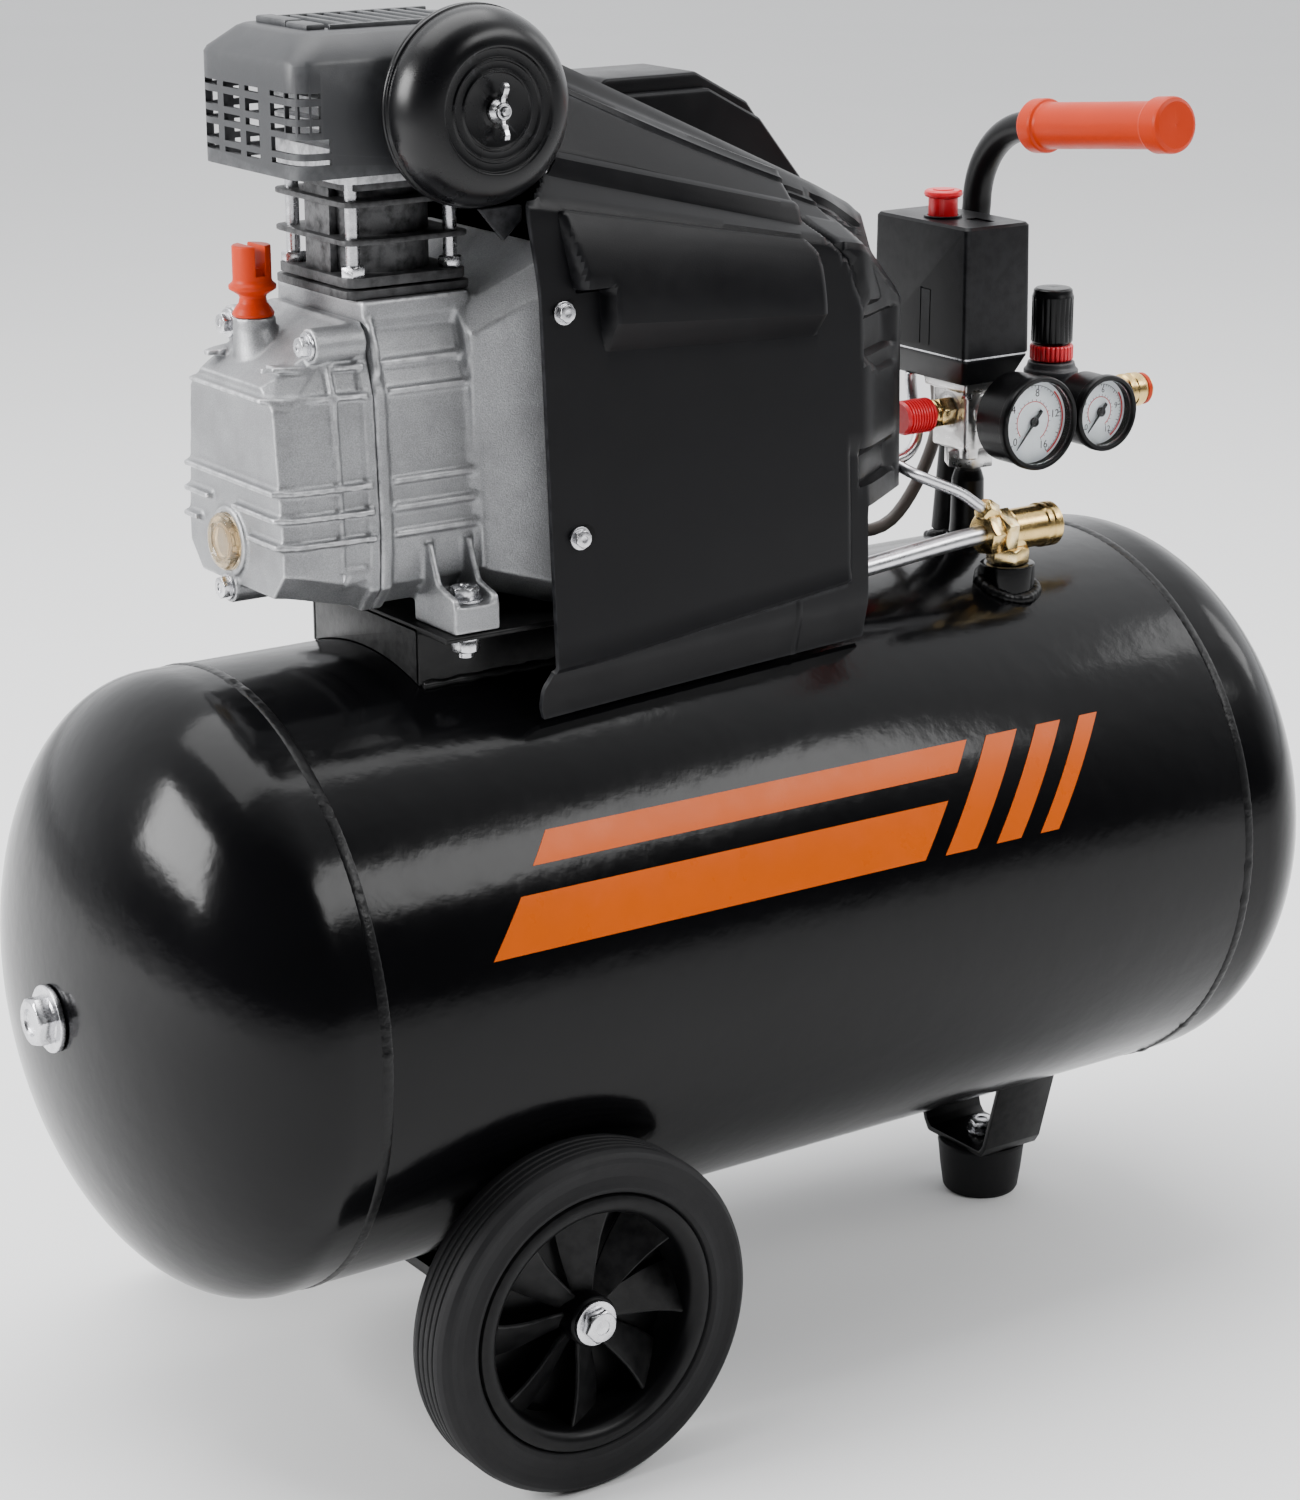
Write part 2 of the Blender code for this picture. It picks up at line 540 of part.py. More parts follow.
def cylinder():
    """A round barrel with three square fins, then the head on a valve plate's thickness of gap."""
    barrel = rod((CYL_X, 0, DECK_Z + 0.002), (CYL_X, 0, CYL_TOP), 0.0270, 2 * SMALL)
    fins = [fin(DECK_Z + GAP, 0.5735, 0.0335, 0.0365), fin(0.5885, 0.5915, 0.0335, 0.0365),
            fin(0.6060, 0.6090, 0.0335, 0.0365)]
    join(barrel, *fins)
    studs = [rod((CYL_X + a * 0.0250, b * 0.0255, 0.55), (CYL_X + a * 0.0250, b * 0.0255, 0.63), 0.0040, 8)
             for a in (-1, 1) for b in (-1, 1)]
    cut(barrel, rod((CYL_X, 0, 0.55), (CYL_X, 0, 0.63), BORE_R, 2 * SMALL), *studs)
    node("cylinder", barrel, "cast_iron", (CYL_X, 0, DECK_Z))
    head = fin(CYL_TOP + GAP, 0.6320, 0.0335, 0.0365)
    join(head, *[fin(z, z + 0.004, 0.0335, 0.0365) for z in (0.6400, 0.6500, 0.6600)],
         block((CYL_X - 0.024, -0.030, 0.625), (CYL_X + 0.024, 0.030, 0.662)),
         block((FILTER_X - 0.011, -0.0365, 0.632), (CYL_X + 0.0335, -0.025, HEAD_TOP)))
    node("cylinder_head", head, "cast_aluminium", (CYL_X, 0, CYL_TOP))


def fin(low, high, half_x, half_y):
    corner = 0.006
    outline = [(CYL_X + a, b) for a, b in [(half_x - corner, -half_y), (half_x, corner - half_y),
               (half_x, half_y - corner), (half_x - corner, half_y), (corner - half_x, half_y),
               (-half_x, half_y - corner), (-half_x, corner - half_y), (corner - half_x, -half_y)]]
    return prism(outline, low, high)


def running_gear():
    """Piston, wrist pin, connecting rod with its crank pin, crankshaft, rotor and fan, at bottom dead centre."""
    pin = (CYL_X, 0, PISTON_PIN_Z)
    piston = turned([(0, 0.0140), (BORE_R - 0.00005, 0.0140), (BORE_R - 0.00005, -0.0220), (0.0195, -0.0220),
                     (0.0195, 0.0080), (0, 0.0080)], pin, "z", 2 * SMALL)
    bosses = rod((CYL_X - 0.0215, 0, PISTON_PIN_Z), (CYL_X + 0.0215, 0, PISTON_PIN_Z), 0.0085, SMALL)
    cut(bosses, block((CYL_X - 0.0085, -0.02, PISTON_PIN_Z - 0.02), (CYL_X + 0.0085, 0.02, PISTON_PIN_Z + 0.02)))
    halves = join(piston, *split(bosses))
    cut(halves, rod((CYL_X - 0.03, 0, PISTON_PIN_Z), (CYL_X + 0.03, 0, PISTON_PIN_Z), 0.0050, ROUND))
    node("piston", halves, "cast_aluminium", pin)
    node("wrist_pin", rod((CYL_X - 0.0205, 0, PISTON_PIN_Z), (CYL_X + 0.0205, 0, PISTON_PIN_Z),
                          0.0050 - GAP, ROUND), "zinc_steel", pin)
    crank_pin = (CYL_X, 0, CRANK_Z - CRANK_THROW)
    small_end = rod((CYL_X - 0.0080, 0, pin[2]), (CYL_X + 0.0080, 0, pin[2]), 0.0076, ROUND)
    big_end = rod((CYL_X - 0.0080, 0, crank_pin[2]), (CYL_X + 0.0080, 0, crank_pin[2]), 0.0140, ROUND)
    shank = block((CYL_X - 0.004, -0.0055, crank_pin[2] + 0.008), (CYL_X + 0.004, 0.0055, pin[2] - 0.005))
    stub = rod((CYL_X, 0, crank_pin[2]), (CYL_X + 0.0105, 0, crank_pin[2]), 0.0080, ROUND)
    join(big_end, small_end, shank, stub)
    cut(big_end, rod((CYL_X - 0.02, 0, pin[2]), (CYL_X + 0.02, 0, pin[2]), around(0.0050 - GAP + RUN), ROUND))
    node("connecting_rod", big_end, "cast_aluminium", pin)
    shaft = (0, 0, CRANK_Z)
    web_x = CYL_X + 0.0110
    web = turned([(0, web_x), (0.030, web_x), (0.030, web_x + 0.006), (SHAFT_R, web_x + 0.006),
                  (SHAFT_R, 0.092), (0, 0.092)], shaft, "x", ROUND)
    node("crankshaft", web, "zinc_steel", (web_x, 0, CRANK_Z))
    node("rotor", ring(shaft, "x", 0.0330, SHAFT_R + GAP, -0.092, -0.008, ROUND), "zinc_steel", shaft)
    hub = ring(shaft, "x", 0.0160, SHAFT_R + GAP, 0.066, 0.088, ROUND)
    blades = []
    for k in range(8):
        angle = 2 * pi * k / 8
        out = Vector((0, cos(angle), sin(angle)))
        lean = Vector((cos(radians(35)), 0, 0)) + out.cross(Vector((1, 0, 0))) * sin(radians(35))
        face = lean.cross(out)
        blades.append(loft([[Vector((0.077, 0, CRANK_Z)) + out * reach + lean * 0.0085 * a + face * 0.0009 * b
                             for a, b in ((-1, -1), (1, -1), (1, 1), (-1, 1))] for reach in (0.0145, 0.0430)]))
    node("cooling_fan", join(hub, *blades), "black_plastic", (0.077, 0, CRANK_Z))


def split(shape):
    """The separate bodies of a shape, each as its own object."""
    bm = bmesh.new()
    bm.from_mesh(shape.data)
    low = [v for v in bm.verts if v.co.x < CYL_X]
    other = bm.copy()
    bmesh.ops.delete(bm, geom=low, context="VERTS")
    bmesh.ops.delete(other, geom=[v for v in other.verts if v.co.x >= CYL_X], context="VERTS")
    bpy.data.objects.remove(shape)
    return [to_object(bm), to_object(other)]


def motor():
    shaft = (0, 0, CRANK_Z)
    stator = ring(shaft, "x", STATOR_R, 0.0335, -0.090, -0.010, 2 * SMALL)
    winding = ring(shaft, "x", 0.0520, 0.0375, -0.102, 0.004, ROUND)
    node("motor_stator", join(stator, winding), "zinc_steel", (-0.050, 0, CRANK_Z))
    shield = turned([(STATOR_R, 0.0100), (STATOR_R, 0.0300), (0.0190, 0.0340), (around(SHAFT_R + RUN), 0.0340),
                     (around(SHAFT_R + RUN), 0.0220), (0.0190, 0.0220), (0.0540, 0.0180), (0.0540, 0.0100)],
                    shaft, "x", ROUND)
    node("motor_end_shield", shield, "cast_aluminium", (0.022, 0, CRANK_Z))
    node("run_capacitor", rod((-0.020, 0.048, 0.6000), (0.055, 0.048, 0.6000), 0.0190, ROUND), "black_plastic",
         (0.0175, 0.048, 0.600))


# ---- head cover and air filter ---------------------------------------------------------------------
COVER_X0, COVER_X1 = -0.2360, -0.1115
COVER_Y0, COVER_Y1 = -0.0445, 0.0530
COVER_LOW, COVER_ROOF, COVER_TOP = 0.6215, 0.6745, 0.6855


def head_cover():
    """A plastic hood over the cylinder head: open below and towards the shroud, with slots and a sloping rim."""
    hood = hood_solid(0.0)
    hollow = hood_solid(0.0022)
    hollow_end = block((COVER_X1 - 0.010, COVER_Y0 + 0.0022, COVER_LOW - 0.01),
                       (COVER_X1 + 0.010, COVER_Y1 - 0.0022, COVER_ROOF - 0.002))
    cut(hood, hollow, hollow_end)
    rows = [(0.0026, 0.6340), (0.0026, 0.6435), (0.0026, 0.6530)]
    cutters = []
    for half, z in rows:
        for k in range(6):
            y = -0.0335 + 0.0150 * k
            cutters.append(block((COVER_X0 - 0.005, y - 0.0052, z - half),
                                 (COVER_X0 + 0.005, y + 0.0052, z + half)))
        for k in range(2):
            x = COVER_X0 + 0.0105 + 0.0125 * k
            cutters.append(block((x - 0.0045, COVER_Y0 - 0.005, z - half),
                                       (x + 0.0045, COVER_Y0 + 0.005, z + half)))
    for k in range(6):
        x = -0.2000 + 0.0130 * k
        cutters.append(block((x - 0.0025, -0.018, COVER_TOP - 0.01), (x + 0.0025, 0.030, COVER_TOP + 0.01)))
    cutters.append(rod((FILTER_X, COVER_Y0 - 0.005, FILTER_Z), (FILTER_X, COVER_Y0 + 0.005, FILTER_Z), 0.0120,
                        ROUND))
    cut(hood, *cutters)
    node("head_cover", hood, "grey_plastic", (CYL_X, 0, COVER_LOW))


def hood_solid(wall):
    x0, x1 = COVER_X0 + wall, COVER_X1 + (0.001 if wall else 0)
    y0, y1 = COVER_Y0 + wall, COVER_Y1 - wall
    low = COVER_LOW - (0.001 if wall else 0)
    levels = [(low, 0), (COVER_ROOF - wall / 2, 0), (COVER_TOP - wall, 0.013)]
    return loft([hood_section(x0 + inset, x1, y0 + inset, y1 - inset, z) for z, inset in levels])


def hood_section(x0, x1, y0, y1, z):
    corner = 0.006
    return [(x0 + corner, y0, z), (x1, y0, z), (x1, y1, z), (x0 + corner, y1, z), (x0, y1 - corner, z),
            (x0, y0 + corner, z)]


def air_filter():
    """A base with a neck to the head, a foam ring, a domed cap and the wing nut that holds it."""
    back = -0.0560
    centre = (FILTER_X, back, FILTER_Z)
    out = (0, -1, 0)
    neck_end = 0.0365 + back + GAP
    base = turned([(0, 0.0030), (0, 0.0290), (0.0022, 0.0290), (0.0022, 0.0030), (FILTER_R - 0.0006, 0.0030),
                   (FILTER_R - 0.0006, 0), (0.0110, 0), (0.0110, neck_end), (0, neck_end)], centre, out, FINE)
    node("filter_base", base, "black_plastic", centre)
    node("filter_element", ring(centre, out, 0.0380, 0.0160, 0.0033, 0.0203, ROUND), "filter_foam", centre)
    dome = [(FILTER_R, 0.0033), (FILTER_R, 0.0120), (0.0435, 0.0195), (0.0375, 0.0245), (0.0290, 0.0270),
            (0.0275, 0.0255), (0.0030, 0.0255)]
    inside = [(0.0030, 0.0235), (0.0270, 0.0235), (0.0365, 0.0220), (FILTER_R - 0.002, 0.0130),
              (FILTER_R - 0.002, 0.0033)]
    node("filter_cap", turned(dome + inside, centre, out, FINE), "black_plastic", centre)
    bore = around(0.0022 + RUN, SMALL)
    nut = turned([(bore, 0.0258), (0.0050, 0.0258), (0.0042, 0.0310), (bore, 0.0310)], centre, out, SMALL)
    wings = []
    for side in (-1, 1):
        low, high = sorted((side * 0.0038, side * 0.0125))
        wings.append(block((FILTER_X - 0.0012, back - 0.0330, FILTER_Z + low),
                           (FILTER_X + 0.0012, back - 0.0270, FILTER_Z + high)))
    node("filter_wing_nut", join(nut, *wings), "zinc_steel", (FILTER_X, back - 0.0258, FILTER_Z))


# ---- shroud ----------------------------------------------------------------------------------------
SHROUD_X0, SHROUD_X1, SHROUD_END = -0.1390, 0.0620, 0.1030
SHROUD_WALL = 0.0025
END_LOW = 0.4400            # below this the shroud stops at SHROUD_X1


PUMP_END = [(-0.0865, 0.3645), (-0.0925, 0.3850), (-0.0780, 0.6070), (-0.0580, 0.6290), (-0.0300, 0.6850)]
FAR_END = [(-0.0745, 0.3645), (-0.0795, 0.3910), (-0.0720, 0.5680), (-0.0550, 0.5760), (-0.0300, 0.5920)]
END_WALL = [(-0.0500, 0.3645), (-0.0500, 0.3990), (-0.0480, 0.5370), (-0.0230, 0.5560), (-0.0140, 0.5740)]
HUMP_OUTLINE = [(-0.0350, 0.52), (-0.0350, 0.640), (-0.0250, 0.6480), (0.0300, 0.6480), (0.0620, 0.6310),
                (0.0930, 0.5900), (0.0930, 0.52)]
SLOT_ROWS = (0.012, 0.024, 0.036)


def shroud():
    """Two halves that meet over the crankshaft: a front, and a rear with a hump over the capacitor."""
    for side, place in ((-1, "front"), (1, "rear")):
        outside, inside = shroud_half(side, 0.0), shroud_half(side, SHROUD_WALL)
        if side > 0:
            join(outside, hump(0.0))
            join(inside, hump(SHROUD_WALL))
        cut(outside, inside, *shroud_openings(side))
        node("shroud_" + place, outside, "black_plastic", (SHROUD_X0, 0, CRANK_Z))


def shroud_half(side, wall):
    """The solid of one half, or with a wall thickness the hollow inside it."""
    beyond = 0.001 if wall else 0
    stations = ((SHROUD_X0 - beyond, PUMP_END), (SHROUD_X1, FAR_END), (SHROUD_END - wall, END_WALL))
    return loft([shroud_row(side, x, outline, wall) for x, outline in stations])


def shroud_row(side, x, outline, wall):
    """One closed section: the outline, set in by the wall, and the middle plane."""
    (first_y, low), *rest = outline
    row = [(first_y + wall, low - wall)]
    row += [(y + wall, z - (wall if z > 0.45 else 0)) for y, z in rest]
    middle = wall if wall else -GAP / 2
    row += [(middle, row[-1][1]), (middle, low - wall)]
    return [(x, -side * y, z) for y, z in row]


def hump(wall):
    """The raised box over the run capacitor."""
    rows = []
    for y, inwards in ((0.0240, wall), (0.0740, -wall)):
        rows.append([(x + (-wall if x > 0 else wall), y + inwards, z - wall) for x, z in HUMP_OUTLINE])
    return loft(rows)


def shroud_openings(side):
    """Room for the tank, the lines at the far end, the head cover, the air filter and cooling slots."""
    slots = [block((SHROUD_END - 0.010, side * y - 0.0030, 0.456), (SHROUD_END + 0.010, side * y + 0.0030, 0.528))
             for y in SLOT_ROWS]
    room = 0.001
    return [block((SHROUD_X1 - room, -0.2, 0.30), (SHROUD_END + 0.02, 0.2, END_LOW)),
            block((SHROUD_X0 - 0.02, COVER_Y0 - room, COVER_LOW - room),
                  (COVER_X1 + room, COVER_Y1 + room, 0.75)),
            rod((FILTER_X, -0.045, FILTER_Z), (FILTER_X, -0.12, FILTER_Z), FILTER_R + 0.002, FINE),
            rod((-SEAM_X, 0, TANK_Z), (SEAM_X, 0, TANK_Z), TANK_R + 0.0032, FINE), *slots]


# ---- pressure switch, manifold, gauges and regulator -------------------------------------------------
MANIFOLD_TOP = 0.4785
SWITCH_SEAM = 0.4935
SWITCH_TOP = 0.5632
KNOB_X, KNOB_Y = 0.1810, 0.0120
VALVE_Z = 0.4605
STEM_R = 0.0045             # threaded stem of a gauge
NEEDLE_ANGLE = 50           # degrees below the horizontal at no pressure


def outlet_group():
    pipe = (PIPE_X, 0, PIPE_BOSS_TOP)
    nipple = turned([(0, -0.006), (0.0067, -0.006), (0.0067, 0.0440), (0, 0.0440)], pipe, "z", SMALL)
    bore = rod((PIPE_X, 0, PIPE_BOSS_TOP - 0.02), (PIPE_X, 0, PIPE_BOSS_TOP + 0.06), 0.0045, SMALL)
    node("manifold_nipple", cut(nipple, bore), "black_steel", pipe)
    low = 0.4300
    body = block((PIPE_X - 0.0145, -0.0155, 0.4385), (PIPE_X + 0.0145, 0.0155, 0.4740))
    join(body, block((PIPE_X - 0.0175, -0.0180, 0.4725), (PIPE_X + 0.0175, 0.0180, MANIFOLD_TOP)),
         hexagon((PIPE_X, 0, 0), "z", 0.024, low, 0.4400))
    cut(body, rod((PIPE_X, 0, low - 0.01), (PIPE_X, 0, PIPE_BOSS_TOP + 0.0443), 0.0067 + GAP, SMALL),
        rod((PIPE_X - 0.03, 0, VALVE_Z), (PIPE_X - 0.006, 0, VALVE_Z), 0.0052, SMALL),
        rod((PIPE_X + 0.03, REG_Y + 0.006, VALVE_Z), (PIPE_X + 0.006, REG_Y + 0.006, VALVE_Z), 0.0062, SMALL),
        rod((PIPE_X, -0.03, GAUGE_Z), (PIPE_X, -0.008, GAUGE_Z), around(0.0047, SMALL), SMALL))
    node("manifold", body, "cast_aluminium", (PIPE_X, 0, low))
    pressure_switch()
    safety_valve()
    gauge("tank", PIPE_X, 0.0250, -0.0320, -0.0120)
    gauge("line", REG_X, 0.0205, -0.0350, -0.0245)
    regulator()


def pressure_switch():
    """A base tray and a deep cover that meet at a seam, with the push-pull knob through the cover."""
    middle = (0.1860, SWITCH_Y)
    seam = [rectangle(middle, 0.0215, 0.0395, SWITCH_SEAM - GAP),
            rectangle(middle, 0.0170, 0.0330, MANIFOLD_TOP + GAP)]
    node("pressure_switch_base", loft(seam[::-1]), "black_plastic", (*middle, SWITCH_SEAM))
    cover = loft([rectangle(middle, 0.0220, 0.0400, SWITCH_SEAM), rectangle(middle, 0.0213, 0.0390, SWITCH_TOP)])
    hollow = loft([rectangle(middle, 0.0198, 0.0378, SWITCH_SEAM - 0.001),
                   rectangle(middle, 0.0192, 0.0369, SWITCH_TOP - 0.0025)])
    cut(cover, hollow, rod((KNOB_X, KNOB_Y, 0.55), (KNOB_X, KNOB_Y, 0.58), around(0.0079), ROUND))
    node("pressure_switch_cover", cover, "black_plastic", (*middle, SWITCH_SEAM))
    knob = turned([(0, 0.0145), (0.0080, 0.0145), (0.0086, 0.0137), (0.0086, 0.0115), (0.0078, 0.0105),
                   (0.0078, -0.0150), (0, -0.0150)], (KNOB_X, KNOB_Y, SWITCH_TOP), "z", ROUND)
    node("switch_knob", knob, "red_plastic", (KNOB_X, KNOB_Y, SWITCH_TOP))


def rectangle(middle, half_x, half_y, z):
    x, y = middle
    corner = 0.0025
    points = [(half_x - corner, -half_y), (half_x, corner - half_y), (half_x, half_y - corner),
              (half_x - corner, half_y), (corner - half_x, half_y), (-half_x, half_y - corner),
              (-half_x, corner - half_y), (corner - half_x, -half_y)]
    return [(x + a, y + b, z) for a, b in points]


def safety_valve():
    """A brass body screwed into the manifold and a cap that pulls away from it along the same axis."""
    seat = (PIPE_X - 0.0145 - GAP, 0, VALVE_Z)
    out = (-1, 0, 0)
    body = turned([(0, -0.0075), (0.0049, -0.0075), (0.0049, 0.0020), (0.0072, 0.0020), (0.0072, 0.0130),
                   (0.0040, 0.0130), (0.0040, 0.0270), (0, 0.0270)], seat, out, ROUND)
    node("safety_valve_body", join(body, hexagon(seat, out, 0.0145, 0.0000, 0.0085)), "brass", seat)
    bore = around(0.0040 + RUN)
    cap = turned([(bore, 0.0135), (0.0088, 0.0135), (0.0092, 0.0150), (0.0092, 0.0310), (0.0080, 0.0330),
                  (0, 0.0330), (0, 0.0275), (bore, 0.0275)], seat, out, ROUND)
    node("safety_valve_cap", cap, "red_plastic", seat)


def gauge(place, x, radius, back, stem_end):
    """A pressure gauge that faces -Y: a case with a recessed dial and a stem, and its needle on the axis."""
    centre = (x, GAUGE_FACE_Y, GAUGE_Z)
    out = (0, -1, 0)
    rear = GAUGE_FACE_Y - back
    dial = -0.0080
    case = turned([(0, dial), (radius - 0.0030, dial), (radius - 0.0030, 0), (radius - 0.0008, 0),
                   (radius, -0.0008), (radius, -0.0050), (radius - 0.0010, -0.0060), (radius - 0.0010, rear + 0.0020),
                   (radius - 0.0030, rear), (STEM_R, rear), (STEM_R, GAUGE_FACE_Y - stem_end),
                   (0, GAUGE_FACE_Y - stem_end)], centre, out, ROUND + 4)
    pivot = rod(Vector(centre) + Vector((0, -dial + 0.001, 0)), Vector(centre) + Vector((0, -dial - 0.0028, 0)),
                0.0011, 8)
    node("gauge_case_" + place, join(case, pivot), "black_steel", centre)
    hub = ring(centre, out, 0.0027, around(0.0011 + RUN, SMALL), dial + 0.0010, dial + 0.0028, SMALL)
    reach = radius - 0.0070
    direction = Vector((-cos(radians(NEEDLE_ANGLE)), 0, -sin(radians(NEEDLE_ANGLE))))
    across = Vector((direction.z, 0, -direction.x))
    level = Vector(centre) + Vector((0, -dial - 0.0018, 0))
    thick = Vector((0, 0.0003, 0))
    pointer = loft([[level + direction * far + across * half * a + thick * b
                     for a, b in ((-1, -1), (1, -1), (1, 1), (-1, 1))]
                    for far, half in ((0.0018, 0.0009), (reach, 0.00035))])
    tail = loft([[level + direction * far + across * half * a + thick * b
                  for a, b in ((-1, -1), (1, -1), (1, 1), (-1, 1))]
                 for far, half in ((-0.0018, 0.0009), (-0.42 * reach, 0.0011))])
    node("gauge_needle_" + place, join(hub, pointer, tail), "black_steel", centre)


def regulator():
    """Body with a threaded stem, lock ring, fluted knob and outlet coupling."""
    axis = (REG_X, REG_Y, 0)
    stem_low, stem_top = 0.4835, 0.5080
    body = turned([(0, 0.4430), (0.0100, 0.4430), (0.0140, 0.4460), (0.0140, 0.4760), (0.0125, stem_low),
                   (0.0060, stem_low), (0.0060, stem_top), (0, stem_top)], axis, "z", ROUND)
    inlet_y = REG_Y + 0.006
    join(body, rod((PIPE_X + 0.0145 + GAP, inlet_y, VALVE_Z), (REG_X, inlet_y, VALVE_Z), 0.0085, SMALL),
         rod((PIPE_X + 0.0080, inlet_y, VALVE_Z), (REG_X, inlet_y, VALVE_Z), 0.0060 - GAP, SMALL),
         rod((REG_X, REG_Y, VALVE_Z), (REG_X + 0.0180, REG_Y, VALVE_Z), 0.0105, ROUND))
    cut(body, rod((REG_X, -0.04, GAUGE_Z), (REG_X, -0.0240, GAUGE_Z), around(0.0047, SMALL), SMALL),
        rod((REG_X + 0.008, REG_Y, VALVE_Z), (REG_X + 0.03, REG_Y, VALVE_Z), 0.0067, ROUND))
    node("regulator_body", body, "grey_plastic", (REG_X, REG_Y, stem_low))
    node("regulator_lock_ring", ring(axis, "z", 0.0115, around(0.0060 + RUN), stem_low + 0.0006, 0.4925, ROUND),
         "red_plastic", (REG_X, REG_Y, stem_low))
    bore = around(0.0060 + RUN)
    knob = turned([(0, 0.5085), (bore, 0.5085), (bore, 0.4932), (0.0112, 0.4932), (0.0112, 0.5215),
                   (0.0100, 0.5232), (0, 0.5232)], axis, "z", ROUND)
    flutes = [rod((REG_X + 0.0120 * cos(a), REG_Y + 0.0120 * sin(a), 0.4965),
                  (REG_X + 0.0120 * cos(a), REG_Y + 0.0120 * sin(a), 0.5300), 0.0013, 8)
              for a in (2 * pi * k / 12 for k in range(12))]
    node("regulator_knob", cut(knob, *flutes), "black_plastic", (REG_X, REG_Y, 0.5232))
    outlet = (REG_X + 0.0180, REG_Y, VALVE_Z)
    coupling = turned([(0.0045, -0.0090), (0.0063, -0.0090), (0.0063, GAP), (0.0098, GAP), (0.0098, 0.0110),
                       (0.0085, 0.0130), (0.0085, 0.0330), (0.0095, 0.0340), (0.0095, 0.0440), (0.0080, 0.0470),
                       (0.0080, 0.0500), (0.0045, 0.0500)], outlet, "x", ROUND)
    node("outlet_coupling", coupling, "brass", outlet)


# ---- check valve and lines --------------------------------------------------------------------------
UNLOADER_START = Vector((0.1580, CHECK_Y, 0.4205))
UNLOADER_WAY = Vector((-0.0160, 0, 0.0105)).normalized()
DISCHARGE_ROUTE = [(CHECK_X - 0.0189, CHECK_Y, CHECK_Z), (0.140, CHECK_Y, 0.4050), (0.1100, CHECK_Y, 0.4022),
                   (0.0792, CHECK_Y, 0.3993), (0.055, -0.056, 0.3985), (0.030, -0.0640, 0.4080),
                   (-0.010, -0.0690, 0.4300), (-0.050, -0.0690, 0.4700), (-0.080, -0.0650, 0.5300),
                   (-0.092, -0.0520, 0.5900), (-0.101, -0.0330, 0.6220), (-0.118, -0.0150, 0.6350),
                   (-0.130, -0.0120, 0.6365), (-0.1405, -0.0120, 0.6365)]
UNLOADER_ROUTE = [UNLOADER_START, UNLOADER_START + UNLOADER_WAY * 0.006, (0.1420, CHECK_Y, 0.4310),
                  (0.1220, CHECK_Y, 0.4400), (0.1120, -0.0510, 0.4450), (0.1095, -0.0400, 0.4480),
                  (0.1110, -0.0250, 0.4470), (0.1180, -0.0080, 0.4410), (0.1340, 0.0020, 0.4370),
                  (0.1530, 0.0040, 0.4390), (0.1650, 0.0100, 0.4480), (0.1712, 0.0220, 0.4620),
                  (0.1720, 0.0255, 0.4740), (0.1720, 0.0255, 0.4784)]
CABLE_ROUTE = [(0.1960, 0.0345, 0.4784), (0.1960, 0.0345, 0.4740), (0.1950, 0.0310, 0.4620),
               (0.1880, 0.0230, 0.4430), (0.1730, 0.0200, 0.4180), (0.1560, 0.0200, 0.4000),
               (0.1370, 0.0210, 0.3960), (0.1130, 0.0220, 0.4020), (0.0800, 0.0230, 0.4120),
               (0.0450, 0.0230, 0.4180)]
DISCHARGE_R, UNLOADER_R, CABLE_R = 0.0050, 0.0030, 0.0035


def lines():
    axis = (CHECK_X, CHECK_Y, CHECK_BOSS_TOP)
    valve = turned([(0, -0.008), (0.0082, -0.008), (0.0082, 0.008), (0.0100, 0.009), (0.0100, 0.014), (0, 0.014)],
                   axis, "z", ROUND)
    body = turned([(0, -0.0030), (0.0108, -0.0030), (0.0108, 0.0190), (0.0118, 0.0200), (0.0118, 0.0225),
                   (0.0108, 0.0235), (0.0118, 0.0245), (0.0118, 0.0285), (0.0098, 0.0305), (0, 0.0305)],
                  (CHECK_X, CHECK_Y, CHECK_Z), "x", ROUND)
    fitting_start = UNLOADER_START - UNLOADER_WAY * 0.0200
    join(valve, hexagon(axis, "z", 0.020, GAP, 0.0095), body,
         hexagon((CHECK_X, CHECK_Y, CHECK_Z), "x", 0.021, -0.0185, -0.0020),
         rod(fitting_start, UNLOADER_START - UNLOADER_WAY * 0.0050, 0.0048, SMALL),
         hexagon(UNLOADER_START, UNLOADER_WAY, 0.0110, -0.0085, -0.0005))
    node("check_valve", valve, "brass", (CHECK_X, CHECK_Y, CHECK_Z))
    tube("discharge_tube", smooth_path(DISCHARGE_ROUTE, 0.012), DISCHARGE_R, "aluminium_tube")
    tube("unloader_tube", smooth_path(UNLOADER_ROUTE, 0.008), UNLOADER_R, "aluminium_tube")
    tube("motor_cable", smooth_path(CABLE_ROUTE, 0.010), CABLE_R, "cable_sheath")


# ---- handle -----------------------------------------------------------------------------------------
GRIP_TILT = 5.9
BEND_R = 0.046
TUBE_R = 0.0078
STRAIGHT = 0.1107           # straight end of the tube, inside the grip
COLUMN_TOP = (HANDLE_X, HANDLE_Y, 0.5640)


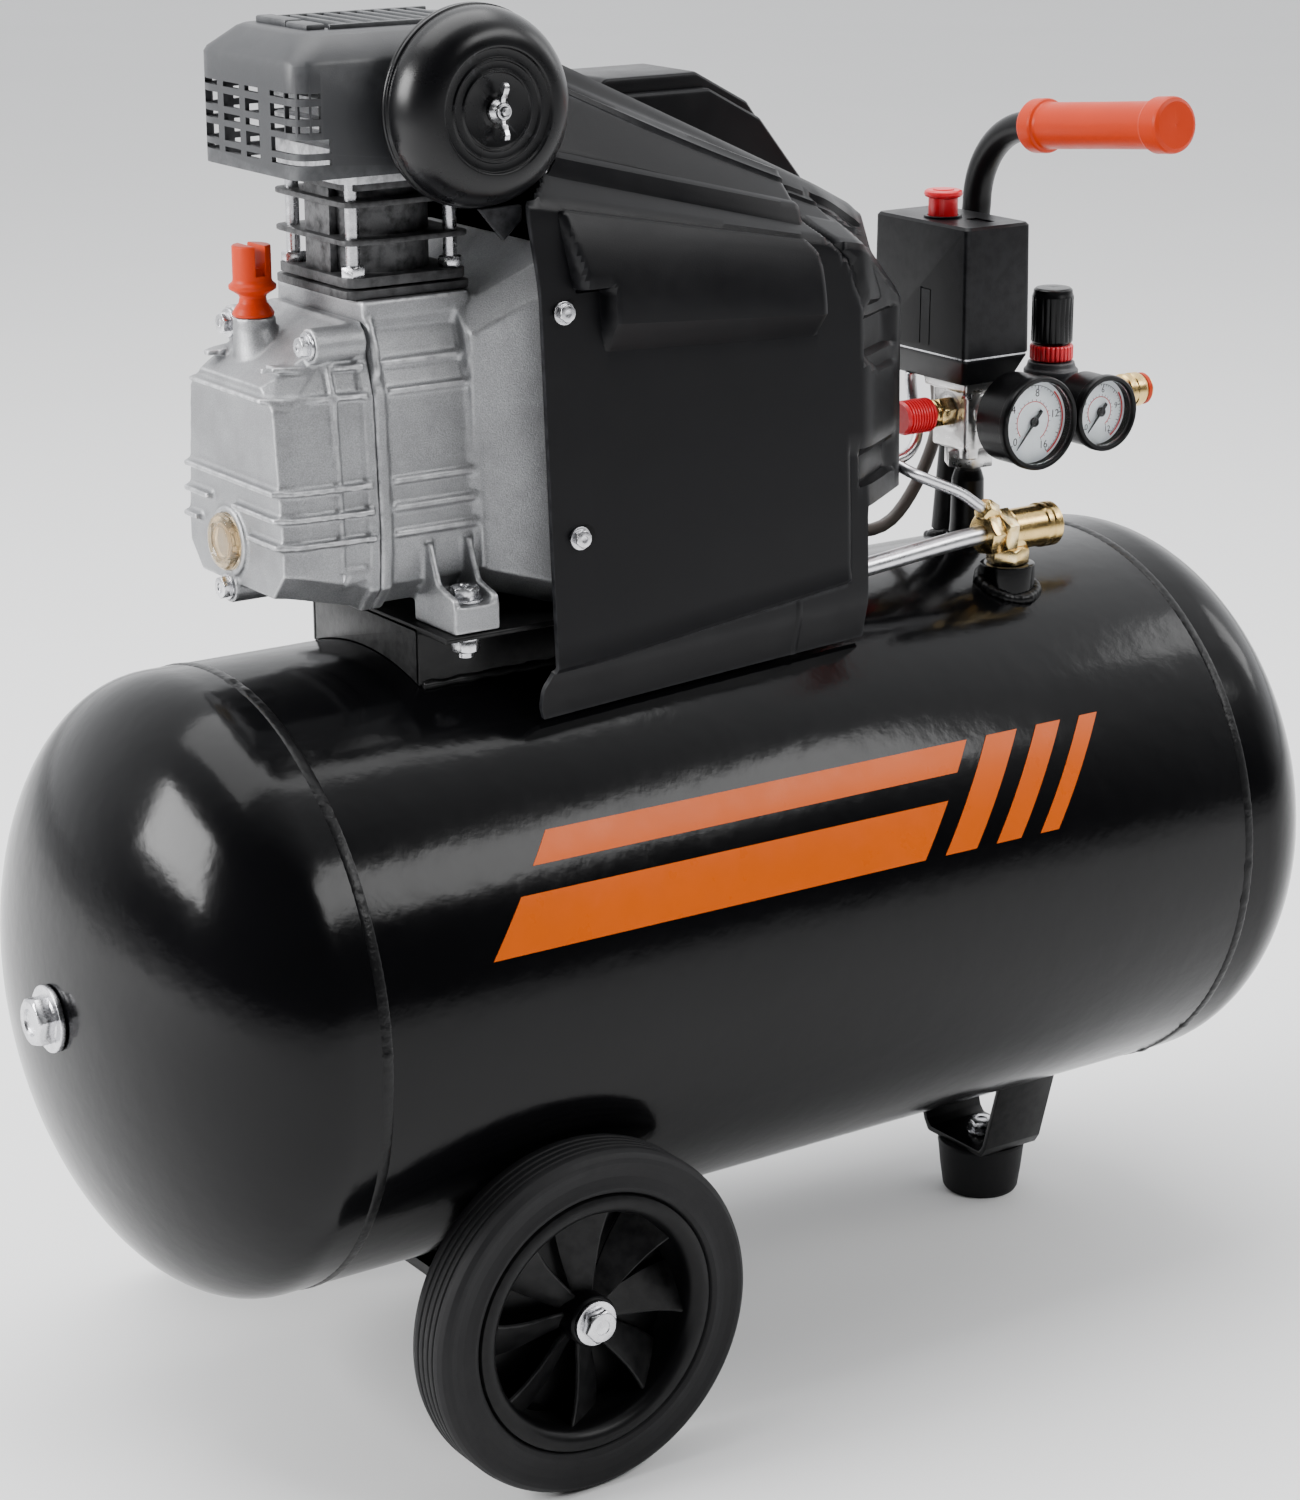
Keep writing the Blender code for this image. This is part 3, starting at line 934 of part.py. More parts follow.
def handle():
    """A tube welded to the tank leans outwards, bends over the tank and ends in a plastic grip."""
    base = Vector((0.2067, HANDLE_Y, tank_top(HANDLE_Y - TUBE_R) + 0.0010))
    top = Vector(COLUMN_TOP)
    path = [base, base.lerp(top, 0.33), base.lerp(top, 0.67), top]
    tilt = radians(GRIP_TILT)
    for k in range(1, 9):
        turn = (pi / 2 - tilt) * k / 8
        path.append(top + Vector((0, -BEND_R * (1 - cos(turn)), BEND_R * sin(turn))))
    along = Vector((0, -cos(tilt), sin(tilt)))
    end = path[-1] + along * STRAIGHT
    path.append(end)
    tube("handle_tube", path, TUBE_R, "black_steel", 4)
    grip = turned([(0, 0.0045), (0.0120, 0.0045), (0.0142, 0.0025), (0.0142, -0.0080), (0.0122, -0.0100),
                   (0.0122, -0.0930), (0.0140, -0.0945), (0.0142, -0.1030), (0.0125, -0.1050),
                   (TUBE_R + GAP, -0.1050), (TUBE_R + GAP, GAP), (0, GAP)], end, along, ROUND)
    node("handle_grip", grip, "orange_plastic", end)


def main():
    for old in list(bpy.data.objects):
        bpy.data.objects.remove(old)
    tank()
    wheels()
    foot()
    platform()
    crankcase()
    crankcase_cover()
    cylinder()
    running_gear()
    motor()
    head_cover()
    air_filter()
    shroud()
    outlet_group()
    lines()
    handle()


main()
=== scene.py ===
"""Looks of the wheeled air compressor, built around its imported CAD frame.

Frame: metres, +Z up, +X along the tank towards the handle, -Y towards the gauges' faces.
"""
import json
from math import asin, atan2, cos, degrees, pi, radians, sin, sqrt
from random import Random

import bmesh
import bpy
from mathutils import Matrix, Vector, noise
from mathutils.bvhtree import BVHTree

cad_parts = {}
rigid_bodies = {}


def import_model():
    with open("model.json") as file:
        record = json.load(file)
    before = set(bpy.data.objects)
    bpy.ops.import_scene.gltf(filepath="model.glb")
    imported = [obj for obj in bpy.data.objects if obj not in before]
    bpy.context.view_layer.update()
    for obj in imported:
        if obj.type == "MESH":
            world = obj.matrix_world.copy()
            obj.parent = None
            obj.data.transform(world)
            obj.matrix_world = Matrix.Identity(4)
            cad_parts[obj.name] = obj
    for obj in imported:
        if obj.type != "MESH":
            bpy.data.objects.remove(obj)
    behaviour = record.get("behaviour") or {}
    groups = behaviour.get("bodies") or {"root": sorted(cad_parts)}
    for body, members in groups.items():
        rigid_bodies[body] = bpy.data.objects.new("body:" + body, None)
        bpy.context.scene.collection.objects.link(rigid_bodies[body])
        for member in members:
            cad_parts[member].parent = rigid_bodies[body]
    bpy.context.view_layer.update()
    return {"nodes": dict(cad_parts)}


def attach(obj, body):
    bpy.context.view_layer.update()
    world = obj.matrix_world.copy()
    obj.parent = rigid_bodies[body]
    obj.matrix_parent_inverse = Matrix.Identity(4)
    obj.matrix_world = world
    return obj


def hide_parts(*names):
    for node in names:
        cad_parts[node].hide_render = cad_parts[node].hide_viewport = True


for old in list(bpy.data.objects):
    bpy.data.objects.remove(old)
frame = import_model()

AXES = {"x": Vector((1, 0, 0)), "y": Vector((0, 1, 0)), "z": Vector((0, 0, 1))}
FRONT, REAR, LEFT = Vector((0, -1, 0)), Vector((0, 1, 0)), Vector((-1, 0, 0))


# ---- materials -------------------------------------------------------------------------------------
class Tree:
    """Adds nodes to one material, from the coordinates of the object's own space."""

    def __init__(self, name):
        self.material = bpy.data.materials.new(name)
        self.material.use_nodes = True
        self.nodes = self.material.node_tree.nodes
        self.links = self.material.node_tree.links
        self.shader = self.nodes["Principled BSDF"]
        self.place = self.nodes.new("ShaderNodeTexCoord").outputs["Object"]

    def link(self, source, target):
        self.links.new(source, target)

    def stretched(self, scale):
        made = self.nodes.new("ShaderNodeMapping")
        made.inputs["Scale"].default_value = scale
        self.link(self.place, made.inputs["Vector"])
        return made.outputs["Vector"]

    def noise(self, scale, detail=3.0, rough=0.55, place=None):
        made = self.nodes.new("ShaderNodeTexNoise")
        made.inputs["Scale"].default_value = scale
        made.inputs["Detail"].default_value = detail
        made.inputs["Roughness"].default_value = rough
        self.link(place or self.place, made.inputs["Vector"])
        return made.outputs["Fac"]

    def span(self, value, low, high, start=0.25, end=0.75):
        made = self.nodes.new("ShaderNodeMapRange")
        for name, number in (("From Min", start), ("From Max", end), ("To Min", low), ("To Max", high)):
            made.inputs[name].default_value = number
        self.link(value, made.inputs["Value"])
        return made.outputs["Result"]

    def mix(self, factor, first, second):
        made = self.nodes.new("ShaderNodeMix")
        made.data_type = "RGBA"
        for value, index in ((factor, 0), (first, 6), (second, 7)):
            if isinstance(value, tuple):
                made.inputs[index].default_value = (*value, 1.0)
            elif isinstance(value, float):
                made.inputs[index].default_value = value
            else:
                self.link(value, made.inputs[index])
        return made.outputs[2]

    def times(self, first, second):
        made = self.nodes.new("ShaderNodeMath")
        made.operation = "MULTIPLY"
        self.link(first, made.inputs[0])
        self.link(second, made.inputs[1])
        return made.outputs[0]

    def bump(self, height, depth, before=None):
        made = self.nodes.new("ShaderNodeBump")
        made.inputs["Strength"].default_value = 1.0
        made.inputs["Distance"].default_value = depth
        self.link(height, made.inputs["Height"])
        if before:
            self.link(before, made.inputs["Normal"])
        return made.outputs["Normal"]

    def edges(self, start=0.52, end=0.60):
        """1 on convex edges, 0 elsewhere."""
        point = self.nodes.new("ShaderNodeNewGeometry").outputs["Pointiness"]
        return self.span(point, 0.0, 1.0, start, end)


def surface(name, colour, rough, metallic=0.0, vary=0.25, patch=14.0, grain=(900, 0.00004), waves=None,
            lines=None, speckle=0.0, wear=None, rough_vary=0.07, level=0.5, coat=0.0, cloudy=None):
    """A material whose colour and roughness drift in patches, with a grain, waves, machining lines or worn
    edges as bumps. Grain and waves are (scale, depth), lines are (scale per axis, depth)."""
    tree = Tree(name)
    dark = tuple(c * (1 - vary) for c in colour)
    light = tuple(min(1.0, c * (1 + vary)) for c in colour)
    out = tree.mix(tree.span(tree.noise(patch, 5.0), 0.0, 1.0), dark, light)
    fine = tree.noise(grain[0], 2.0)
    if speckle:
        out = tree.mix(tree.span(fine, 0.0, speckle, 0.35, 0.7), out, tuple(c * 0.45 for c in colour))
    if cloudy:
        out = tree.mix(tree.span(tree.noise(cloudy[0], 6.0, 0.7), 0.0, cloudy[2], 0.45, 0.75), out,
                       cloudy[1])
    if wear:
        worn = tree.times(tree.edges(*wear[2:]), tree.span(tree.noise(180, 4.0), 0.0, wear[1], 0.3, 0.6))
        out = tree.mix(worn, out, wear[0])
    tree.link(out, tree.shader.inputs["Base Color"])
    drift = tree.noise(patch * 2.7, 6.0, 0.65)
    tree.link(tree.span(drift, rough - rough_vary, rough + rough_vary), tree.shader.inputs["Roughness"])
    normal = tree.bump(fine, grain[1])
    if waves:
        normal = tree.bump(tree.noise(waves[0], 2.0), waves[1], normal)
    if lines:
        normal = tree.bump(tree.noise(1.0, 2.0, 0.6, tree.stretched(lines[0])), lines[1], normal)
    tree.link(normal, tree.shader.inputs["Normal"])
    tree.shader.inputs["Metallic"].default_value = metallic
    tree.shader.inputs["Specular IOR Level"].default_value = level
    tree.shader.inputs["Coat Weight"].default_value = coat
    tree.shader.inputs["Coat Roughness"].default_value = 0.08
    return tree.material


def turned_lines(axis, along=5200, round_it=45):
    """Scale of fine rings round an axis, as a lathe leaves them."""
    return tuple(along if name == axis else round_it for name in "xyz")


PAINT = surface("paint_gloss_black", (0.0022, 0.0022, 0.0026), 0.15, vary=0.2, grain=(420, 0.00003),
                waves=(55, 0.00022), rough_vary=0.03, level=0.17)
WELD = surface("weld_painted", (0.0030, 0.0030, 0.0034), 0.34, grain=(700, 0.0001), waves=(170, 0.0006),
               level=0.2)
STEEL_BLACK = surface("steel_powder_coat", (0.0030, 0.0030, 0.0034), 0.34, vary=0.2, grain=(1300, 0.00005),
                      waves=(300, 0.00006), wear=((0.05, 0.05, 0.05), 0.5), level=0.20)
PLASTIC = surface("plastic_black_grained", (0.0026, 0.0026, 0.0034), 0.36, vary=0.10, grain=(1500, 0.00005),
                  waves=(30, 0.00008), wear=((0.045, 0.046, 0.050), 0.55, 0.53, 0.62), level=0.17)
PLASTIC_SATIN = surface("plastic_black_satin", (0.0026, 0.0026, 0.0032), 0.28, vary=0.12,
                        grain=(1900, 0.00002),
                        waves=(26, 0.00006), wear=((0.040, 0.040, 0.044), 0.4, 0.53, 0.62), level=0.28)
PLASTIC_GREY = surface("plastic_dark_grey", (0.027, 0.028, 0.031), 0.46, vary=0.12, grain=(1400, 0.00006),
                       waves=(28, 0.00009), wear=((0.13, 0.135, 0.14), 0.5, 0.53, 0.62))
RUBBER = surface("rubber_tyre", (0.0070, 0.0070, 0.0078), 0.58, vary=0.22, patch=22, grain=(1700, 0.00008),
                 cloudy=(60, (0.020, 0.0195, 0.019), 0.30), rough_vary=0.09, level=0.2)
RIM_PLASTIC = surface("rim_plastic", (0.0022, 0.0022, 0.0026), 0.36, vary=0.15, grain=(1500, 0.00004),
                      wear=((0.04, 0.04, 0.04), 0.5, 0.53, 0.62), level=0.15)
ALLOY = surface("alloy_shot_blasted", (0.37, 0.375, 0.385), 0.48, 0.85, vary=0.10, patch=26,
                grain=(1500, 0.00018), speckle=0.55, wear=((0.80, 0.80, 0.82), 0.8, 0.51, 0.57),
                cloudy=(34, (0.17, 0.17, 0.175), 0.55), rough_vary=0.08)
DIECAST = surface("diecast_bright", (0.62, 0.61, 0.60), 0.30, 0.95, vary=0.15, patch=60,
                  grain=(700, 0.00010),
                  waves=(160, 0.00018), rough_vary=0.08, wear=((0.85, 0.85, 0.86), 0.6, 0.51, 0.58))
IRON = surface("iron_black_cast", (0.0125, 0.0125, 0.0135), 0.52, 0.25, vary=0.3, patch=40,
               grain=(950, 0.00020),
               speckle=0.4, wear=((0.16, 0.16, 0.165), 0.6, 0.51, 0.58))
ZINC = surface("zinc_plated", (0.66, 0.66, 0.68), 0.27, 1.0, vary=0.14, patch=120, grain=(1600, 0.00003),
               waves=(240, 0.00006), cloudy=(150, (0.40, 0.40, 0.43), 0.5), rough_vary=0.10)
ALU = surface("aluminium_drawn", (0.70, 0.70, 0.72), 0.30, 1.0, vary=0.08, patch=50, grain=(1500, 0.00002),
              waves=(130, 0.00006), rough_vary=0.07, cloudy=(70, (0.50, 0.50, 0.53), 0.4))
ORANGE = surface("plastic_orange", (0.50, 0.030, 0.0012), 0.42, vary=0.07, patch=18, grain=(1300, 0.00006),
                 rough_vary=0.05, wear=((0.70, 0.12, 0.03), 0.5, 0.53, 0.62), level=0.2)
ORANGE_PAINT = surface("paint_orange", (0.58, 0.090, 0.0012), 0.30, vary=0.05, patch=20,
                       grain=(900, 0.00002),
                       level=0.15)
RED = surface("plastic_red", (0.80, 0.012, 0.026), 0.33, vary=0.10, patch=60, grain=(1500, 0.00003),
              wear=((0.90, 0.15, 0.16), 0.5, 0.53, 0.62))
SHEATH = surface("cable_sheath_grey", (0.105, 0.088, 0.078), 0.48, vary=0.15, patch=40,
                 grain=(1300, 0.00005))
FOAM = surface("filter_foam", (0.50, 0.44, 0.30), 0.92, vary=0.3, patch=160, grain=(900, 0.00035),
               speckle=0.7)
# painted shade: a matte near-black finish for the flat disc that stands for the shade inside a keyhole
KEYHOLE_SHADE = surface("painted_keyhole_shade", (0.0025, 0.0025, 0.0027), 0.75, vary=0.3, grain=(900, 0.00006), level=0.2)


def brass(axis):
    return surface("brass_turned_" + axis, (0.74, 0.52, 0.20), 0.24, 1.0, vary=0.12, patch=90,
                   grain=(1500, 0.00003), lines=(turned_lines(axis), 0.00005), rough_vary=0.07,
                   cloudy=(140, (0.50, 0.33, 0.13), 0.5), wear=((0.95, 0.80, 0.50), 0.7, 0.51, 0.58))


BRASS_X, BRASS_Z = brass("x"), brass("z")


def clear_lens(name, colour, rough, ior, through):
    """A transparent piece with faint scuffs."""
    tree = Tree(name)
    tint = tree.mix(tree.span(tree.noise(90, 4.0), 0.0, 1.0), colour, tuple(c * 0.9 for c in colour))
    tree.link(tint, tree.shader.inputs["Base Color"])
    tree.link(tree.span(tree.noise(240, 5.0), rough, rough + 0.04), tree.shader.inputs["Roughness"])
    tree.link(tree.bump(tree.noise(300), 0.000012), tree.shader.inputs["Normal"])
    tree.shader.inputs["Transmission Weight"].default_value = through
    tree.shader.inputs["IOR"].default_value = ior
    return tree.material


GLASS = clear_lens("gauge_glass", (0.98, 0.99, 1.0), 0.005, 1.10, 1.0)
AMBER = clear_lens("amber_sight_lens", (0.93, 0.78, 0.55), 0.03, 1.35, 0.85)
DIAL_WHITE = surface("dial_white", (0.93, 0.97, 1.0), 0.50, vary=0.03, patch=60, grain=(900, 0.00001))
DIAL_BLACK = surface("dial_print_black", (0.010, 0.010, 0.011), 0.50, vary=0.2, patch=200,
                     grain=(900, 0.00001))
DIAL_RED = surface("dial_print_red", (0.62, 0.015, 0.015), 0.50, vary=0.08, patch=200, grain=(900, 0.00001))


# ---- making meshes ---------------------------------------------------------------------------------
def made_object(name, mesh, material, body, sharp=38, stands_for=()):
    """Links a finished mesh as a piece that rides on a body and takes the given material."""
    made = bpy.data.objects.new(name, mesh)
    bpy.context.scene.collection.objects.link(made)
    return dress(made, name, material, body, sharp, stands_for)


def dress(made, name, material, body, sharp=38, stands_for=()):
    made.name = name
    mesh = made.data
    mesh.materials.clear()
    mesh.materials.append(material)
    mesh.shade_smooth()
    mesh.set_sharp_from_angle(angle=radians(sharp))
    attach(made, body)
    if stands_for:
        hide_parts(*stands_for)
    return made


def from_bmesh(bm):
    bmesh.ops.remove_doubles(bm, verts=bm.verts, dist=1e-7)
    bmesh.ops.recalc_face_normals(bm, faces=bm.faces)
    mesh = bpy.data.meshes.new("shape")
    bm.to_mesh(mesh)
    bm.free()
    made = bpy.data.objects.new("shape", mesh)
    bpy.context.scene.collection.objects.link(made)
    return made


def softened(points, radius, steps=3, closed=True):
    """A polygon with its corners rounded, apart from corners on the axis of a lathe profile."""
    count = len(points)
    out = []
    for i, here in enumerate(points):
        if not closed and i in (0, count - 1):
            out.append(Vector(here))
            continue
        a, b, c = Vector(points[i - 1]), Vector(here), Vector(points[(i + 1) % count])
        before, after = a - b, c - b
        limit = 0.46 * min(before.length, after.length)
        if radius <= 0 or limit < 1e-6:
            out.append(b)
            continue
        angle = before.angle(after)
        reach = min(radius / max(1e-6, sin(angle / 2) / cos(angle / 2)) if angle < 3.1 else 0, limit)
        if reach < 2e-5:
            out.append(b)
            continue
        start, end = b + before.normalized() * reach, b + after.normalized() * reach
        for k in range(steps + 1):
            t = k / steps
            out.append(start * (1 - t) ** 2 + b * 2 * t * (1 - t) + end * t ** 2)
    return out


def lathe(profile, centre, axis="z", sides=96, soft=0.0, steps=3):
    """A solid of revolution of a closed profile of (radius, distance along the axis)."""
    along = AXES[axis] if isinstance(axis, str) else Vector(axis).normalized()
    reference = AXES["y"] if abs(along.x) > 0.7 else AXES["x"]
    side = (reference - along * reference.dot(along)).normalized()
    other = along.cross(side)
    centre = Vector(centre)
    points = []
    rounded = softened([(r, h) for r, h in profile], soft, steps) if soft else [Vector(p) for p in profile]
    for p in rounded:
        points.append((max(0.0, p.x), p.y))
    bm = bmesh.new()
    rings = []
    for r, h in points:
        if r <= 1e-7:
            rings.append([bm.verts.new(centre + along * h)])
        else:
            rings.append([bm.verts.new(centre + along * h + (side * cos(t) + other * sin(t)) * r)
                          for t in (2 * pi * k / sides for k in range(sides))])
    for first, second in zip(rings, rings[1:] + rings[:1]):
        if len(first) == 1 and len(second) == 1:
            continue
        for k in range(sides):
            j = (k + 1) % sides
            corners = [first[k % len(first)], first[j % len(first)], second[j % len(second)],
                       second[k % len(second)]]
            unique = [v for n, v in enumerate(corners) if v not in corners[:n]]
            if len(unique) > 2:
                bm.faces.new(unique)
    return from_bmesh(bm)


def lump(loops):
    """A closed skin through loops with equally many points."""
    bm = bmesh.new()
    rows = [[bm.verts.new(p) for p in loop] for loop in loops]
    count = len(rows[0])
    for first, second in zip(rows, rows[1:]):
        for i in range(count):
            j = (i + 1) % count
            bm.faces.new((first[i], first[j], second[j], second[i]))
    bm.faces.new(rows[0])
    bm.faces.new(rows[-1])
    return from_bmesh(bm)


def placed(axis, a, b, height):
    return {"x": Vector((height, a, b)), "y": Vector((a, height, b)), "z": Vector((a, b, height))}[axis]


def prism(outline, low, high, axis="z", soft=0.0, corner=0.0, segments=2):
    """An outline in (y, z), (x, z) or (x, y) pushed along an axis, with its edges rounded."""
    points = softened(outline, corner) if corner else outline
    made = lump([[placed(axis, p[0], p[1], h) for p in points] for h in (low, high)])
    return bevelled(made, soft, segments) if soft else made


def box(low, high, soft=0.0, segments=2):
    (x0, y0, z0), (x1, y1, z1) = low, high
    return prism([(x0, y0), (x1, y0), (x1, y1), (x0, y1)], z0, z1, "z", soft, segments=segments)


def applied(made, kind, **settings):
    step = made.modifiers.new("step", kind)
    for name, value in settings.items():
        setattr(step, name, value)
    evaluated = made.evaluated_get(bpy.context.evaluated_depsgraph_get())
    mesh = bpy.data.meshes.new_from_object(evaluated)
    made.modifiers.clear()
    made.data = mesh
    return made


def bevelled(made, width, segments=2, angle=28):
    return applied(made, "BEVEL", width=width, segments=segments, limit_method="ANGLE",
                   angle_limit=radians(angle), harden_normals=False, use_clamp_overlap=True)


def united(base, *others, operation="UNION"):
    for other in others:
        applied(base, "BOOLEAN", object=other, operation=operation, solver="EXACT")
        bpy.data.objects.remove(other)
    return base


def cut(base, *others):
    return united(base, *others, operation="DIFFERENCE")


def merged(*shapes):
    """Several shapes as the loose parts of one mesh."""
    bm = bmesh.new()
    for shape in shapes:
        bm.from_mesh(shape.data)
        bpy.data.objects.remove(shape)
    mesh = bpy.data.meshes.new("shape")
    bm.to_mesh(mesh)
    bm.free()
    made = bpy.data.objects.new("shape", mesh)
    bpy.context.scene.collection.objects.link(made)
    return made


def cast(shape, voxel, passes=4, factor=0.6):
    """The shape as one skin with soft corners, as a casting has."""
    applied(shape, "REMESH", mode="VOXEL", voxel_size=voxel, adaptivity=0.0)
    return applied(shape, "CORRECTIVE_SMOOTH", iterations=passes, factor=factor,
                   smooth_type="LENGTH_WEIGHTED", use_only_smooth=True) if passes else shape


def rod(start, end, radius, sides=24, soft=0.0):
    start, end = Vector(start), Vector(end)
    length = (end - start).length
    return lathe([(0, 0), (radius, 0), (radius, length), (0, length)], start, end - start, sides, soft)


def hexagon(centre, axis, across, low, high, soft=0.0004, turn=0.0):
    """A hexagonal nut or head with the round chamfer that such a head has."""
    along = AXES[axis] if isinstance(axis, str) else Vector(axis).normalized()
    reference = AXES["y"] if abs(along.x) > 0.7 else AXES["x"]
    side = (reference - along * reference.dot(along)).normalized()
    other = along.cross(side)
    corner = across / sqrt(3)
    loops = []
    for h in (low, high):
        loops.append([Vector(centre) + along * h + (side * cos(t) + other * sin(t)) * corner
                      for t in (turn + pi * k / 3 for k in range(6))])
    made = lump(loops)
    reach = high - low
    dome = lathe([(0, low - reach), (corner * 1.2, low - reach), (corner * 1.2, high - 0.18 * across),
                  (corner * 0.80, high + 0.0002), (0, high + 0.0002)], centre, along, 48)
    united(made, dome, operation="INTERSECT")
    return bevelled(made, soft, 1) if soft else made


def bolt(centre, axis, across, height, washer=0.0, thick=0.0012, shank=0.0):
    """A hex head, with a washer below it and a dimple in its top; it sits on the plane at the centre."""
    parts = []
    if washer:
        parts.append(lathe([(0, 0), (washer, 0), (washer, thick), (0, thick)], centre, axis, 40, 0.0003))
    head = hexagon(centre, axis, across, thick * bool(washer) * 0.9, height, turn=0.35)
    dimple = lathe([(0, height - 0.0009), (across * 0.22, height - 0.0005), (across * 0.30, height + 0.001),
                    (0, height + 0.001)], centre, axis, 24)
    parts.append(cut(head, dimple))
    if shank:
        along = AXES[axis] if isinstance(axis, str) else Vector(axis).normalized()
        parts.append(rod(Vector(centre) - along * shank, Vector(centre) + along * 0.001, across * 0.3, 20))
    return merged(*parts)


def smooth_path(points, step):
    """Points about a step apart along a Catmull-Rom curve through the given points."""
    points = [Vector(p) for p in points]
    ends = [2 * points[0] - points[1], *points, 2 * points[-1] - points[-2]]
    path = []
    for a, b, c, d in zip(ends, ends[1:], ends[2:], ends[3:]):
        pieces = max(1, round((c - b).length / step))
        for k in range(pieces):
            t = k / pieces
            path.append(0.5 * (2 * b + (c - a) * t + (2 * a - 5 * b + 4 * c - d) * t ** 2
                               + (3 * b - a - 3 * c + d) * t ** 3))
    return [*path, points[-1]]


def pipe(path, radius, sides=24, radii=None):
    """A closed tube along a path, with rounded ends, from frames carried along it."""
    path = [Vector(p) for p in path]
    tangents = []
    for i in range(len(path)):
        ahead, behind = path[min(i + 1, len(path) - 1)], path[max(i - 1, 0)]
        tangents.append((ahead - behind).normalized())
    side = tangents[0].orthogonal().normalized()
    loops = []
    for i, (p, t) in enumerate(zip(path, tangents)):
        side = (side - t * side.dot(t)).normalized()
        other = t.cross(side)
        r = radii[i] if radii else radius
        loops.append([p + (side * cos(a) + other * sin(a)) * r
                      for a in (2 * pi * k / sides for k in range(sides))])
    first, last = tangents[0], tangents[-1]
    ends = []
    for loop, centre, way in ((loops[0], path[0], -first), (loops[-1], path[-1], last)):
        inset = 0.12 * radius
        ends.append([centre + (p - centre) * 0.86 + way * inset for p in loop])
    return lump([ends[0], *loops, ends[1]])


def conform(shape, move):
    """Moves each vertex of a shape by a function of its place."""
    for vertex in shape.data.vertices:
        vertex.co = move(vertex.co)
    return shape


# ---- tank ------------------------------------------------------------------------------------------
TANK_R, TANK_Z, TANK_WALL = 0.155, 0.232, 0.0025
SEAM_X, HEAD_DEPTH, HEAD_FLANGE = 0.265, 0.0943, 0.0148
PLUG_HOLE_R = 0.0105
CHECK_X, CHECK_Y, CHECK_Z, CHECK_BOSS_TOP = 0.1765, -0.054, 0.406, 0.3885
PIPE_X, PIPE_BOSS_TOP = 0.1925, 0.3920
DRAIN_X, DRAIN_LOW = 0.1178, 0.071
HANDLE_X, HANDLE_Y = 0.2238, 0.036
TANK_AXIS = (0, 0, TANK_Z)


def tank_top(y, radius=TANK_R):
    return TANK_Z + sqrt(max(0.0, radius ** 2 - y ** 2))


def on_tank(x, angle, radius=TANK_R):
    """A point at an angle from straight down, towards -Y."""
    return Vector((x, -radius * sin(angle), TANK_Z - radius * cos(angle)))


def tank():
    half = SEAM_X - 0.00015
    inner = TANK_R - TANK_WALL
    shell = lathe([(TANK_R, -half), (TANK_R, half), (inner, half), (inner, -half)], TANK_AXIS, "x", 192,
                  0.0006)
    bosses = [lathe([(0.0088, -0.030), (0.0145, -0.030), (0.0145, 0), (0.0088, 0)],
                    (CHECK_X, CHECK_Y, CHECK_BOSS_TOP), "z", 64, 0.0008),
              lathe([(0.0072, -0.012), (0.0110, -0.012), (0.0110, 0), (0.0072, 0)],
                    (PIPE_X, 0, PIPE_BOSS_TOP), "z", 48, 0.0008),
              lathe([(0.0056, 0), (0.0095, 0), (0.0095, 0.012), (0.0056, 0.012)],
                    (DRAIN_X, 0, DRAIN_LOW), "z", 40, 0.0008)]
    dress(merged(shell, *bosses), "tank_skin", PAINT, "chassis", stands_for=["tank_shell"])
    for side, place in ((-1, "left"), (1, "right")):
        rise = HEAD_DEPTH - HEAD_FLANGE
        start = asin(PLUG_HOLE_R / TANK_R)
        angles = [pi / 2 + (start - pi / 2) * k / 26 for k in range(27)]
        outer = [(TANK_R * sin(a), HEAD_FLANGE + rise * cos(a)) for a in angles]
        inner_face = [((TANK_R - TANK_WALL) * sin(a), HEAD_FLANGE + (rise - TANK_WALL) * cos(a))
                      for a in angles]
        inner_face[-1] = (PLUG_HOLE_R, inner_face[-1][1])
        profile = [(TANK_R, 0.00015), *outer, *reversed(inner_face), (TANK_R - TANK_WALL, 0.00015)]
        head = lathe(profile, (side * SEAM_X, 0, TANK_Z), (side, 0, 0), 192)
        dress(head, "tank_dish_" + place, PAINT, "chassis", stands_for=["tank_head_" + place])
        seam_weld(side)
        tip = (side * (SEAM_X + HEAD_DEPTH), 0, TANK_Z)
        washer = lathe([(0, 0.0003), (0.0165, 0.0003), (0.0165, 0.0030), (0.0118, 0.0030), (0.0112, 0.0038),
                        (0, 0.0038)], tip, (side, 0, 0), 72, 0.0006)
        neck = lathe([(0, -0.010), (0.0102, -0.010), (0.0102, 0.001), (0, 0.001)], tip, (side, 0, 0), 40)
        head_hex = hexagon(tip, (side, 0, 0), 0.022, 0.0030, 0.0115, turn=0.25)
        dish = lathe([(0, 0.0100), (0.0062, 0.0104), (0.0072, 0.0125), (0, 0.0125)], tip, (side, 0, 0), 40)
        plug = merged(washer, neck, cut(head_hex, dish))
        dress(plug, "tank_plug_" + place, ZINC, "chassis",
              stands_for=["inspection_plug_" + place])


